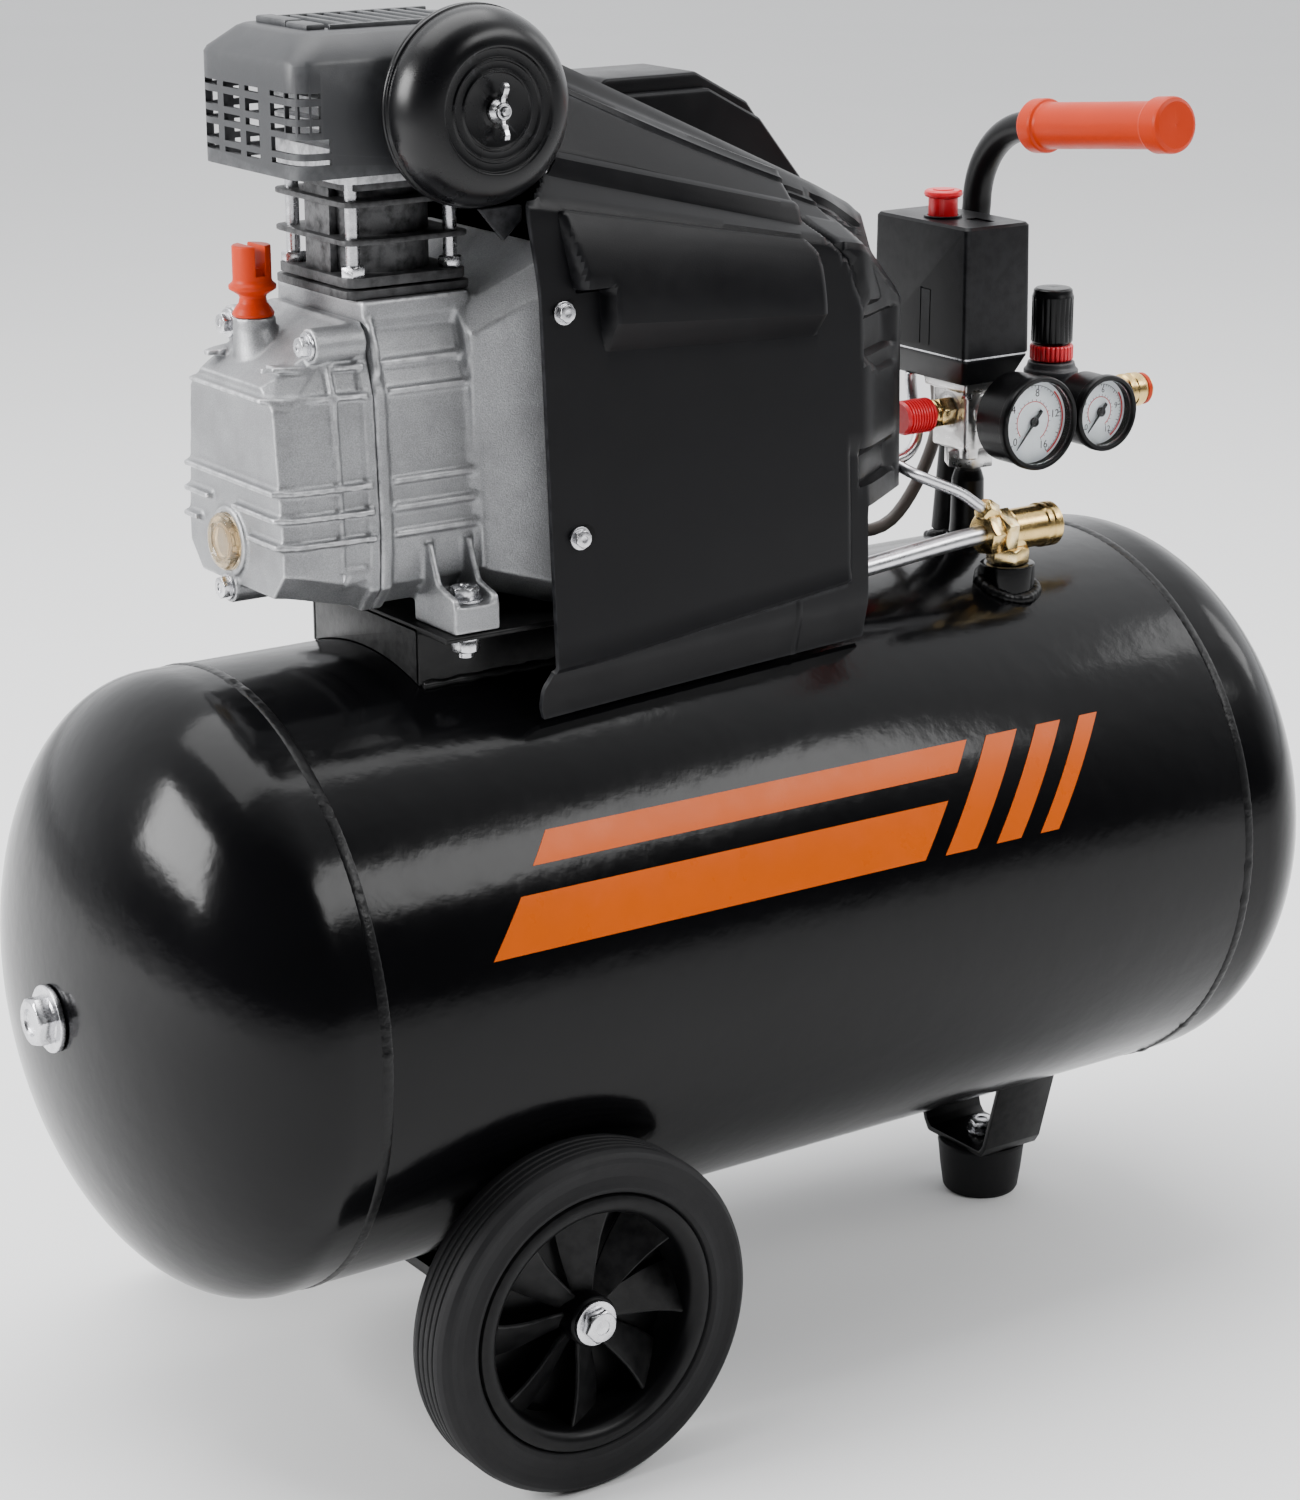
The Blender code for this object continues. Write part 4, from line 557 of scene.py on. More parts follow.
def seam_weld(side):
    """A flat rippled bead between shell and head, with a fine edge line and a few lap marks."""
    dice = Random(7 + side)
    ticks = [dice.uniform(0, 2 * pi) for _ in range(7)]
    bm = bmesh.new()
    rows = []
    count, across = 420, 8
    for k in range(count):
        angle = 2 * pi * k / count
        ripple = 0.5 + 0.5 * sin(angle * 165 + 1.3 * sin(angle * 9))
        near = min(abs((angle - t + pi) % (2 * pi) - pi) for t in ticks)
        height = 0.0008 + 0.00025 * ripple + (0.0006 if near < 0.014 else 0)
        shift = 0.0005 * noise.noise(Vector((3 * angle, side, 0)))
        row = []
        for i in range(across + 1):
            t = -1 + 2 * i / across
            radius = TANK_R - 0.0004 + height * sqrt(max(0.0, 1 - t * t)) + (0.00012 if abs(t) > 0.9 else 0)
            row.append(bm.verts.new(on_tank(side * SEAM_X + shift + 0.0032 * t, angle, radius)))
        rows.append(row)
    for first, second in zip(rows, rows[1:] + rows[:1]):
        for i in range(across):
            bm.faces.new((first[i], first[i + 1], second[i + 1], second[i]))
        bm.faces.new((first[across], first[0], second[0], second[across]))
    dress(from_bmesh(bm), "seam_bead_" + ("left" if side < 0 else "right"), WELD, "chassis",
          sharp=70)


WELD_LEAST, WELD_SPREAD = 0.70, 0.46       # lumps of a weld bead, as shares of its size
RIPPLE_LEAST, RIPPLE_DEPTH, RIPPLES = 0.86, 0.20, 17


def weld_ring(name, centre, radius, bead, seed, stretch=1.0, body="chassis"):
    """A lumpy fillet weld round a round piece that stands on the tank."""
    dice = Random(seed)
    loops = []
    count, sides = 88, 10
    sizes = [bead * (WELD_LEAST + WELD_SPREAD * dice.random()) for _ in range(count // 4)]
    for k in range(count):
        angle = 2 * pi * k / count
        x = centre[0] + radius * cos(angle)
        y = centre[1] + radius * stretch * sin(angle)
        t = k / 4
        size = sizes[int(t) % len(sizes)] * (1 - (t % 1)) + sizes[(int(t) + 1) % len(sizes)] * (t % 1)
        size *= RIPPLE_LEAST + RIPPLE_DEPTH * abs(sin(angle * RIPPLES))
        middle = Vector((x, y, tank_top(y) + 0.0002))
        out = Vector((cos(angle), sin(angle), 0))
        loops.append([middle + (out * cos(a) + Vector((0, 0, 1)) * sin(a)) * size
                      for a in (2 * pi * s / sides for s in range(sides))])
    bm = bmesh.new()
    rows = [[bm.verts.new(p) for p in loop] for loop in loops]
    for first, second in zip(rows, rows[1:] + rows[:1]):
        for i in range(sides):
            j = (i + 1) % sides
            bm.faces.new((first[i], first[j], second[j], second[i]))
    dress(from_bmesh(bm), name, WELD, body, sharp=60)


def tank_band(name, low, high, left, right, lift=0.00035):
    """A painted band on the tank's front: heights along the skin low to high, and for each of them the
    x of its two ends. It is a thin skin that follows the tank."""
    steps = 10
    loops = []
    for k in range(steps + 1):
        t = k / steps
        angle = (low * (1 - t) + high * t) / TANK_R
        x0 = left[0] * (1 - t) + left[1] * t
        x1 = right[0] * (1 - t) + right[1] * t
        loops.append([on_tank(x0, angle, TANK_R - 0.0003), on_tank(x1, angle, TANK_R - 0.0003),
                      on_tank(x1, angle, TANK_R + lift), on_tank(x0, angle, TANK_R + lift)])
    dress(lump(loops), name, ORANGE_PAINT, "chassis", sharp=30)


BAND_MIDDLE = 2.018 * TANK_R     # arc from the lowest line of the tank up to the middle of the stripes
BAND_HALF = 0.0275
BAND_SLANT = 0.022


def stripes():
    """Two long stripes that end in three slanted bars: a plain decoration."""
    def slanted(x, s):
        return x + BAND_SLANT * (s - BAND_MIDDLE) / BAND_HALF
    for index, (low, high, x0, x1) in enumerate([(0.0120, 0.0275, -0.183, 0.070),
                                                 (-0.0275, -0.0010, -0.183, 0.070)]):
        s0, s1 = BAND_MIDDLE + low, BAND_MIDDLE + high
        tank_band(f"stripe_{index}", s0, s1, (slanted(x0, s0), slanted(x0, s1)),
                  (slanted(x1, s0), slanted(x1, s1)))
    for index, (x0, x1) in enumerate([(0.083, 0.103), (0.116, 0.132), (0.145, 0.157)]):
        s0, s1 = BAND_MIDDLE - BAND_HALF, BAND_MIDDLE + BAND_HALF
        tank_band(f"stripe_bar_{index}", s0, s1, (slanted(x0, s0), slanted(x0, s1)),
                  (slanted(x1, s0), slanted(x1, s1)))


# ---- wheels, bracket and foot ----------------------------------------------------------------------
WHEEL_R, WHEEL_X, WHEEL_FACE = 0.0875, -0.1644, 0.1735
WEBS, WEB_TILT, WEB_START = 8, 32, 0.0


def wheels():
    for side, place in ((-1, "front"), (1, "rear")):
        centre = Vector((WHEEL_X, side * WHEEL_FACE, WHEEL_R))
        out = Vector((0, side, 0))
        body = "wheel_" + place
        tread = [(WHEEL_R - depth, z) for middle in (-0.0086, -0.0128, -0.0172, -0.0214)
                 for depth, z in ((0, middle + 0.0007), (0.0013, middle + 0.0002),
                                  (0.0013, middle - 0.0002), (0, middle - 0.0007))]
        profile = [(0.0657, -0.0292), (0.0657, -0.0030), (0.0668, -0.0012), (0.0690, -0.0002),
                   (0.0712, -0.0010),
                   (0.0745, -0.0017), (0.0785, -0.0013), (0.0815, -0.0003), (0.0838, -0.0004),
                   (0.0860, -0.0022),
                   (0.0872, -0.0048), (WHEEL_R, -0.0070), *tread, (WHEEL_R, -0.0246), (0.0868, -0.0272),
                   (0.0845, -0.0296), (0.0700, -0.0300)]
        dress(lathe(profile, centre, out, 160, 0.00035, 2), "tyre_skin_" + place, RUBBER, body,
              sharp=50, stands_for=["tyre_" + place])
        dress(rim(centre, out), "rim_skin_" + place, RIM_PLASTIC, body, sharp=32,
              stands_for=["wheel_rim_" + place])
        arm = WHEEL_FACE - 0.137
        shank = rod(centre - out * (arm + 0.012), centre - out * 0.002, 0.005, 32)
        washer = lathe([(0, -0.0037), (0.0112, -0.0037), (0.0112, -0.0020), (0, -0.0020)], centre, out, 48,
                       0.0003)
        head = hexagon(centre, out, 0.015, -0.0021, 0.0035, turn=0.2)
        dish = lathe([(0, 0.0026), (0.0036, 0.0030), (0.0044, 0.0045), (0, 0.0045)], centre, out, 32)
        nut = hexagon(centre, -out, 0.015, arm + 0.0018, arm + 0.0078)
        bolt_piece = merged(shank, washer, cut(head, dish), nut)
        dress(bolt_piece, "axle_bolt_" + place, ZINC, "chassis",
              stands_for=["wheel_bolt_" + place])


WEB_FROM, WEB_TO = 0.0105, 0.0553          # reach of a web, from the wheel's axis
WEB_HALF_FROM, WEB_HALF_TO = 0.0050, 0.0140     # half its chord at both ends
WEB_SWEEP = 0.05                           # how far it bows round the axis, in radians


def rim(centre, out):
    """A rounded lip, a hollow drum, a small hub and webs twisted like fan blades."""
    ring = lathe([(0.0655, -0.0030), (0.0648, -0.0012), (0.0625, -0.0002), (0.0595, -0.0004),
                  (0.0568, -0.0022),
                  (0.0552, -0.0052), (0.0545, -0.0110), (0.0542, -0.0270), (0.0655, -0.0270)], centre, out,
                  144)
    hub = lathe([(0.0052, -0.0335), (0.0128, -0.0335), (0.0128, -0.0052), (0.0120, -0.0040),
                 (0.0052, -0.0040)],
                centre, out, 64, 0.0004)
    parts = [ring, hub]
    for k in range(WEBS):
        angle = radians(WEB_START) + 2 * pi * k / WEBS
        loops = []
        for step in range(7):
            t = step / 6
            reach = WEB_FROM + (WEB_TO - WEB_FROM) * t
            half = WEB_HALF_FROM + (WEB_HALF_TO - WEB_HALF_FROM) * t
            turn = angle + WEB_SWEEP * sin(pi * t)
            radial = Vector((cos(turn), 0, sin(turn)))
            tilt = radians(WEB_TILT)
            chord = radial.cross(out) * cos(tilt) + out * sin(tilt)
            face = chord.cross(radial)
            middle = centre - out * 0.0155 + radial * reach
            outline = [(-1, -0.5), (-0.94, -1), (0.94, -1), (1, -0.5), (1, 0.5), (0.94, 1), (-0.94, 1),
                       (-1, 0.5)]
            loops.append([middle + chord * half * a + face * 0.0011 * b for a, b in outline])
        parts.append(lump(loops))
    parts.append(lathe([(0.0125, -0.0268), (0.0546, -0.0268), (0.0546, -0.0255), (0.0500, -0.0248),
                        (0.0180, -0.0236),
                        (0.0125, -0.0225)], centre, out, 96, 0.0004))
    return merged(*parts)


def foot():
    x, top = 0.2141, 0.0303
    shape = lathe([(0, 0), (0.0205, 0), (0.0216, 0.0020), (0.0232, 0.0130), (0.0246, 0.0262),
                   (0.0250, 0.0284),
                   (0.0243, 0.0300), (0, 0.0300)], (x, 0, 0), "z", 96, 0.0008)
    dress(shape, "foot_pad", RUBBER, "chassis", stands_for=["rubber_foot"])
    thick, half, tip_y = 0.003, 0.024, 0.0410
    tip_z = TANK_Z - sqrt(TANK_R ** 2 - tip_y ** 2) + 0.0004
    outer = [(-tip_y, tip_z), (-half - 0.004, top + 0.006), (-half, top)]
    inner = [(-half + 0.0022, top + thick), (-half - 0.0010, top + 0.0066), (-tip_y + 0.0031, tip_z)]
    outline = [*outer, *[(-y, z) for y, z in reversed(outer)], *[(-y, z) for y, z in reversed(inner)],
               *inner]
    strap = prism(outline, x - 0.020, x + 0.020, "x", 0.0006, 0.0026)
    for side in (-1, 1):
        for edge in (-1, 1):
            path = [Vector((x + edge * 0.0195 * t, side * (tip_y - 0.0015), tip_z - 0.0005))
                    for t in (0.05, 0.5, 1)]
            strap = merged(strap, pipe(smooth_path(path, 0.002), 0.0020, 10))
    dress(strap, "foot_strap", STEEL_BLACK, "chassis", stands_for=["foot_bracket"])
    seat = top + thick + 0.0003
    dress(bolt((x, 0, seat), "z", 0.013, 0.0078, 0.0085, 0.0015, 0.004), "foot_screw", ZINC, "chassis",
          stands_for=["foot_bolt"])
    outline = []
    low, high, half_y = 0.0700, 0.1140, 0.1385
    outline = [(-half_y, high), (-half_y, low), (half_y, low), (half_y, high), (half_y - 0.003, high),
               (half_y - 0.003, low + 0.003), (0.060, low + 0.003), (0.052, low + 0.006),
               (-0.052, low + 0.006),
               (-0.060, low + 0.003), (0.003 - half_y, low + 0.003), (0.003 - half_y, high)]
    arm = prism(outline, WHEEL_X - 0.022, WHEEL_X + 0.022, "x", 0.0005, 0.0022)
    dress(arm, "axle_strap", STEEL_BLACK, "chassis", stands_for=["wheel_bracket"])

# ---- pump ------------------------------------------------------------------------------------------
CYL_X, CRANK_Z, DECK_Z, JOINT_X = -0.1745, 0.492, 0.5635, -0.2035
FLANGE_X, BELL_X, COVER_FACE_X = -0.148, -0.106, -0.252
PLATFORM_TOP, LUG_X, LUG_Y = 0.4080, -0.1666, 0.066
SHAFT_BORE, CYL_TOP = 0.0104, 0.6165
CASE_SIDE = [(0.0400, 0.4195), (0.0500, 0.4310), (0.0515, 0.4560), (0.0480, 0.5200), (0.0375, 0.5530)]
FACE_SIDE = [(0.0370, 0.4285), (0.0485, 0.4410), (0.0485, 0.4560), (0.0425, 0.5180), (0.0310, 0.5275)]
RIBS = (0.4550, 0.4675, 0.4800, 0.5220, 0.5350)
RIB_HALF = 0.0012


def mirrored(side, grow=0.0):
    """A closed outline from its +Y half, grown or shrunk."""
    half = [(y + grow, CRANK_Z + (z - CRANK_Z) * (1 + grow / 0.065)) for y, z in side]
    return [*half, *[(-y, z) for y, z in reversed(half)]]


def half_width(side, z):
    """The outline's half width at a height."""
    for (y0, z0), (y1, z1) in zip(side, side[1:]):
        if z0 <= z <= z1:
            return y0 + (y1 - y0) * (z - z0) / (z1 - z0)
    return side[-1][0]


def platform():
    x0, x1, half, edge, thick = -0.184, -0.030, 0.052, 0.078, 0.003
    foot_z = tank_top(half) + 0.0004
    profile = [(-edge, PLATFORM_TOP - thick), (-half, PLATFORM_TOP - thick), (-half, foot_z),
               (thick - half, foot_z + 0.0012), (thick - half, PLATFORM_TOP - thick),
               (half - thick, PLATFORM_TOP - thick), (half - thick, foot_z + 0.0012), (half, foot_z),
               (half, PLATFORM_TOP - thick), (edge, PLATFORM_TOP - thick), (edge, PLATFORM_TOP),
               (-edge, PLATFORM_TOP)]
    saddle = prism(profile, x0, x1, "x", 0.0005, 0.0014)
    front = prism([(-half + 0.001, foot_z + 0.001), (-half + 0.001, PLATFORM_TOP - 0.001),
                   (half - 0.001, PLATFORM_TOP - 0.001), (half - 0.001, foot_z + 0.001)], x0, x0 + thick,
                   "x", 0.0005)
    front = cut(front, rod((-SEAM_X, 0, TANK_Z), (SEAM_X, 0, TANK_Z), TANK_R + 0.0006, 160))
    beads = []
    for side in (-1, 1):
        path = [Vector((x0 + 0.002 + 0.15 * k / 30, side * (half + 0.0003),
                        foot_z + 0.0004 + 0.0003 * sin(k * 2.1))) for k in range(31)]
        beads.append(pipe(path, 0.0022, 10, [0.0020 + 0.0004 * sin(k * 1.7) for k in range(31)]))
    dress(merged(saddle, front, *beads), "pump_saddle", STEEL_BLACK, "chassis",
          stands_for=["pump_platform"])


def bell_section(x, half, low, top, chamfer=0.012):
    return [(x, half - chamfer, low), (x, half, low + chamfer), (x, half, top - chamfer),
            (x, half - chamfer, top),
            (x, chamfer - half, top), (x, -half, top - chamfer), (x, -half, low + chamfer),
            (x, chamfer - half, low)]


def crankcase():
    skin = prism(mirrored(CASE_SIDE), JOINT_X + 0.0003, FLANGE_X, "x")
    parts = [lump([bell_section(FLANGE_X - 0.004, 0.0515, 0.421, 0.556),
                   bell_section(BELL_X, 0.0735, 0.409, 0.583)]),
             lump([[(CYL_X + a * 0.0265, b * 0.034, 0.5400) for a,
                    b in ((-1, -1), (1, -1), (1, 1), (-1, 1))],
                   [(CYL_X + a * 0.0290, b * 0.0415, 0.5555) for a,
                    b in ((-1, -1), (1, -1), (1, 1), (-1, 1))],
                   [(CYL_X + a * 0.0290, b * 0.0415, DECK_Z) for a,
                    b in ((-1, -1), (1, -1), (1, 1), (-1, 1))]])]
    flange = prism(mirrored(CASE_SIDE, 0.0018), JOINT_X + 0.0003, JOINT_X + 0.0060, "x")
    parts.append(flange)
    for side in (-1, 1):
        y0, y1 = sorted((side * 0.040, side * 0.078))
        lug = box((LUG_X - 0.0125, y0, PLATFORM_TOP + 0.0003), (LUG_X + 0.0125, y1, PLATFORM_TOP + 0.0135))
        parts.append(lug)
        for x in (LUG_X - 0.0108, LUG_X + 0.0108):
            parts.append(prism([(side * 0.045, PLATFORM_TOP + 0.010), (side * 0.0775, PLATFORM_TOP + 0.010),
                                (side * 0.0770, PLATFORM_TOP + 0.0175),
                                (side * 0.0620, PLATFORM_TOP + 0.0215),
                                (side * 0.0545, 0.4480), (side * 0.045, 0.4480)], x - 0.0017, x + 0.0017,
                                "x"))
        for x in (JOINT_X + 0.0012, FLANGE_X - 0.0050):
            parts.append(prism([(side * 0.0415, 0.5570), (side * 0.0445, 0.5520), (side * 0.0478, 0.5440),
                                (side * 0.0500, 0.5320), (side * 0.0470, 0.5240), (side * 0.0300, 0.5300),
                                (side * 0.0300, 0.5570)], x - 0.0002, x + 0.0032, "x"))
    for z in RIBS:
        w = half_width(CASE_SIDE, z) + 0.0022
        parts.append(box((JOINT_X + 0.0088, -w, z - RIB_HALF), (FLANGE_X + 0.001, w, z + RIB_HALF)))
        w2 = 0.0600
        parts.append(lump([[(FLANGE_X - 0.001, -w, z - RIB_HALF), (FLANGE_X - 0.001, w, z - RIB_HALF),
                            (FLANGE_X - 0.001, w, z + RIB_HALF), (FLANGE_X - 0.001, -w, z + RIB_HALF)],
                           [(FLANGE_X + 0.016, -w2, z - RIB_HALF), (FLANGE_X + 0.016, w2, z - RIB_HALF),
                            (FLANGE_X + 0.016, w2, z + RIB_HALF), (FLANGE_X + 0.016, -w2, z + RIB_HALF)]]))
    for side in (-1, 1):
        parts.append(prism([(side * 0.046, 0.4300), (side * 0.0545, 0.4330), (side * 0.0525, 0.5350),
                            (side * 0.046, 0.5450)], FLANGE_X - 0.0012, FLANGE_X + 0.0012, "x"))
    body = merged(skin, *parts)
    cast(body, 0.0012, 3, 0.5)
    hollow = prism(mirrored(CASE_SIDE, -0.005), JOINT_X - 0.01, FLANGE_X - 0.008, "x")
    bell_hollow = lump([bell_section(FLANGE_X - 0.0001, 0.046, 0.426, 0.550),
                        bell_section(BELL_X + 0.001, 0.0690, 0.414, 0.578)])
    cutters = [hollow, bell_hollow, rod((CYL_X, 0, 0.50), (CYL_X, 0, 0.60), 0.0246, 64),
               rod((FLANGE_X - 0.02, 0, CRANK_Z), (FLANGE_X + 0.02, 0, CRANK_Z), SHAFT_BORE, 48)]
    for side in (-1, 1):
        cutters.append(rod((LUG_X, side * LUG_Y, 0.40), (LUG_X, side * LUG_Y, 0.43), 0.0045, 24))
    dress(cut(body, *cutters), "crankcase_casting", ALLOY, "chassis", sharp=60,
          stands_for=["crankcase"])
    for side, place in ((-1, "front"), (1, "rear")):
        spot = (LUG_X, side * LUG_Y, PLATFORM_TOP + 0.0137)
        under = (LUG_X, side * LUG_Y, PLATFORM_TOP - 0.0032)
        washer = lathe([(0.0041, 0), (0.0078, 0), (0.0078, 0.0014), (0.0041, 0.0014)], under, (0, 0, -1),
                       40, 0.0003)
        nut = hexagon(under, (0, 0, -1), 0.0125, 0.0013, 0.0078, turn=0.3)
        stem = rod((spot[0], spot[1], spot[2] - 0.002), (spot[0], spot[1], under[2] - 0.0105), 0.0038, 32)
        dress(merged(bolt(spot, "z", 0.0125, 0.0072, 0.0088, 0.0014), washer, nut, stem),
              "pump_bolt_" + place, ZINC,
              "chassis")


def cover_rib(z, lift, ends=None):
    """A rib that wraps the cover at one height; ends are the y values between which it is left out."""
    w0, w1 = half_width(CASE_SIDE, z) + lift, half_width(FACE_SIDE, z) + lift * 0.8
    face = COVER_FACE_X - lift
    if z > 0.527:
        face += (z - 0.527) * 0.55
    points = [(JOINT_X - 0.0036, w0), (JOINT_X - 0.0120, w0 - 0.0004), (face + 0.0085, w1 + 0.0004),
              (face, w1 - 0.0055)]
    inner = [(x + 0.006 * (x < -0.24), y - 0.007) for x, y in points]
    loops = []
    for side in (1, -1):
        if ends is None:
            break
        outline = [*[(x, side * y) for x, y in points],
                   (face, side * abs(ends[0] if side > 0 else ends[1])),
                   (face + 0.006, side * abs(ends[0] if side > 0 else ends[1])),
                   *[(x, side * y) for x, y in reversed(inner)]]
        if side * (ends[0] if side > 0 else ends[1]) < 0:
            outline[4] = (face, ends[0] if side > 0 else ends[1])
            outline[5] = (face + 0.006, ends[0] if side > 0 else ends[1])
        loops.append(prism(outline, z - RIB_HALF, z + RIB_HALF))
    if ends is None:
        outline = [*points, *[(x, -y) for x, y in reversed(points)], *[(x, -y) for x, y in inner],
                   *reversed(inner)]
        loops.append(prism(outline, z - RIB_HALF, z + RIB_HALF))
    return loops


SIGHT_Y, SIGHT_Z = 0.005, 0.4485
BREATHER = Vector((-0.231, 0.014, 0.5520))


def crankcase_cover():
    joint, face = JOINT_X, COVER_FACE_X
    flange = [(joint, y, z) for y, z in mirrored(CASE_SIDE, 0.0018)]
    step = [(joint - 0.0058, y, z) for y, z in mirrored(CASE_SIDE, 0.0018)]
    neck = [(joint - 0.0064, y, z) for y, z in mirrored(CASE_SIDE)]
    middle = [(face + 0.0075, y + (0.0012 if y > 0 else -0.0012),
               z - (0.0008 if z < 0.45 else -0.0040 * (z > 0.52)))
              for y, z in mirrored(FACE_SIDE)]
    front = [(face, y * 0.965, z) for y, z in mirrored(FACE_SIDE)]
    parts = [lump([flange, step, neck, middle, front])]
    top = BREATHER
    rings = []
    for z, r, dx, dy in ((0.5520, 0.0104, 0, 0), (0.5470, 0.0106, 0, 0), (0.5400, 0.0125, 0.001, -0.002),
                         (0.5320, 0.0165, 0.003, -0.006), (0.5220, 0.0200, 0.006, -0.010)):
        rings.append([(top.x + dx + r * cos(a) * (1 if cos(a) > 0 else 0.92), top.y + dy + r * sin(a), z)
                      for a in (2 * pi * k / 28 for k in range(28))])
    parts.append(lump(rings))
    parts.append(rod((face + 0.006, SIGHT_Y, SIGHT_Z), (face - 0.0022, SIGHT_Y, SIGHT_Z), 0.0168, 48))
    parts.append(rod((face + 0.018, 0.0055, 0.4262), (face - 0.0018, 0.0055, 0.4262), 0.0078, 32))
    for side in (-1, 1):
        parts.append(rod((joint - 0.001, side * 0.0385, 0.5455), (-0.2310, side * 0.0385, 0.5455), 0.0083,
                         32))
        parts.append(rod((joint - 0.001, side * 0.0440, 0.4380), (-0.2215, side * 0.0440, 0.4380), 0.0080,
                         32))
        column = [(side * (half_width(CASE_SIDE, z) + 0.0006), z)
                  for z in (0.440, 0.456, 0.480, 0.520, 0.540)]
        parts.append(prism([*column, *[(y - side * 0.006, z) for y, z in reversed(column)]], -0.2245,
                           -0.2222, "x"))
    for z in (RIBS[2], RIBS[3]):
        parts += cover_rib(z, 0.0038)
    parts += cover_rib(RIBS[0], 0.0038, (0.0330, -0.0165))
    parts += cover_rib(RIBS[1], 0.0038, (0.0210, -0.0030))
    parts += cover_rib(RIBS[4], 0.0034, (0.0230, -0.0310))
    dish = merged(*parts)
    cast(dish, 0.00095, 2, 0.5)
    hollow = lump([[(x, y * 0.88, CRANK_Z + (z - CRANK_Z) * 0.90) for _, y, z in section]
                   for x, section in ((joint + 0.001, flange), (joint - 0.012, neck),
                                      (face + 0.006, front))])
    cutters = [hollow, rod((top.x, top.y, 0.530), (top.x, top.y, 0.57), 0.0068, 40),
               rod((face - 0.01, SIGHT_Y, SIGHT_Z), (face + 0.02, SIGHT_Y, SIGHT_Z), 0.0098, 64),
               rod((face - 0.0040, SIGHT_Y, SIGHT_Z), (face - 0.0012, SIGHT_Y, SIGHT_Z), 0.0142, 64)]
    dress(cut(dish, *cutters), "cover_casting", ALLOY, "chassis", sharp=60,
          stands_for=["crankcase_cover"])
    for index, (x, y, z) in enumerate([(-0.2312, -0.0385, 0.5455), (-0.2312, 0.0385, 0.5455),
                                       (-0.2217, -0.0440, 0.4380), (-0.2217, 0.0440, 0.4380)]):
        dress(bolt((x, y, z), (-1, 0, 0), 0.0090, 0.0052, 0.0068, 0.0013, 0.003), f"cover_bolt_{index}",
              ZINC,
              "chassis")
    dress(bolt((face - 0.0018, 0.0055, 0.4262), (-1, 0, 0), 0.0100, 0.0050, 0.0062, 0.0012, 0.003),
          "oil_drain_screw",
          ZINC, "chassis")
    centre = (face, SIGHT_Y, SIGHT_Z)
    barrel = lathe([(0.0072, 0.0065), (0.0092, 0.0065), (0.0092, -0.0013), (0.0138, -0.0013),
                    (0.0138, -0.0045),
                    (0.0125, -0.0062), (0.0100, -0.0070), (0.0092, -0.0062), (0.0072, -0.0050)], centre,
                    "x", 72, 0.0004)
    disc = lathe([(0, -0.0058), (0.0090, -0.0055), (0.0090, -0.0035), (0, -0.0032)], centre, "x", 64,
                 0.0003)
    dress(merged(barrel, disc), "sight_window", AMBER, "chassis", stands_for=["sight_glass"])
    target = lathe([(0, 0.0020), (0.0070, 0.0020), (0.0070, 0.0028), (0, 0.0028)], centre, "x", 40)
    spot = lathe([(0.0026, 0.0010), (0.0042, 0.0010), (0.0042, 0.0017), (0.0026, 0.0017)], centre, "x", 40)
    dress(merged(target, spot), "sight_back", DIECAST, "chassis")
    breather()


def breather():
    stem = lathe([(0, -0.010), (0.0062, -0.010), (0.0062, 0.0003), (0.0096, 0.0003), (0.0100, 0.0018),
                  (0.0086, 0.0042), (0.0068, 0.0066), (0.0063, 0.0090), (0.0068, 0.0104), (0.0090, 0.0118),
                  (0.0112, 0.0132), (0.0113, 0.0150), (0.0096, 0.0164), (0.0092, 0.0176), (0.0092, 0.0332),
                  (0.0086, 0.0338), (0, 0.0338)], BREATHER, "z", 72, 0.0006)
    slot = box((BREATHER.x - 0.0026, BREATHER.y - 0.02, BREATHER.z + 0.0225),
               (BREATHER.x + 0.0026, BREATHER.y + 0.02, BREATHER.z + 0.040))
    vee = prism([(BREATHER.y - 0.0072, BREATHER.z + 0.0185), (BREATHER.y - 0.0005, BREATHER.z + 0.0260),
                 (BREATHER.y - 0.0072, BREATHER.z + 0.0290), (BREATHER.y - 0.0150, BREATHER.z + 0.0240)],
                BREATHER.x - 0.0026, BREATHER.x + 0.0026, "x")
    dress(bevelled(cut(stem, slot, vee), 0.0004, 1), "breather_cap", ORANGE, "chassis",
          stands_for=["breather_plug"])


def fin(low, high, half_x=0.0335, half_y=0.0365, corner=0.0075, soft=0.0005):
    outline = [(CYL_X - half_x, -half_y), (CYL_X + half_x, -half_y), (CYL_X + half_x, half_y),
               (CYL_X - half_x, half_y)]
    return prism(outline, low, high, "z", soft, corner, 2)


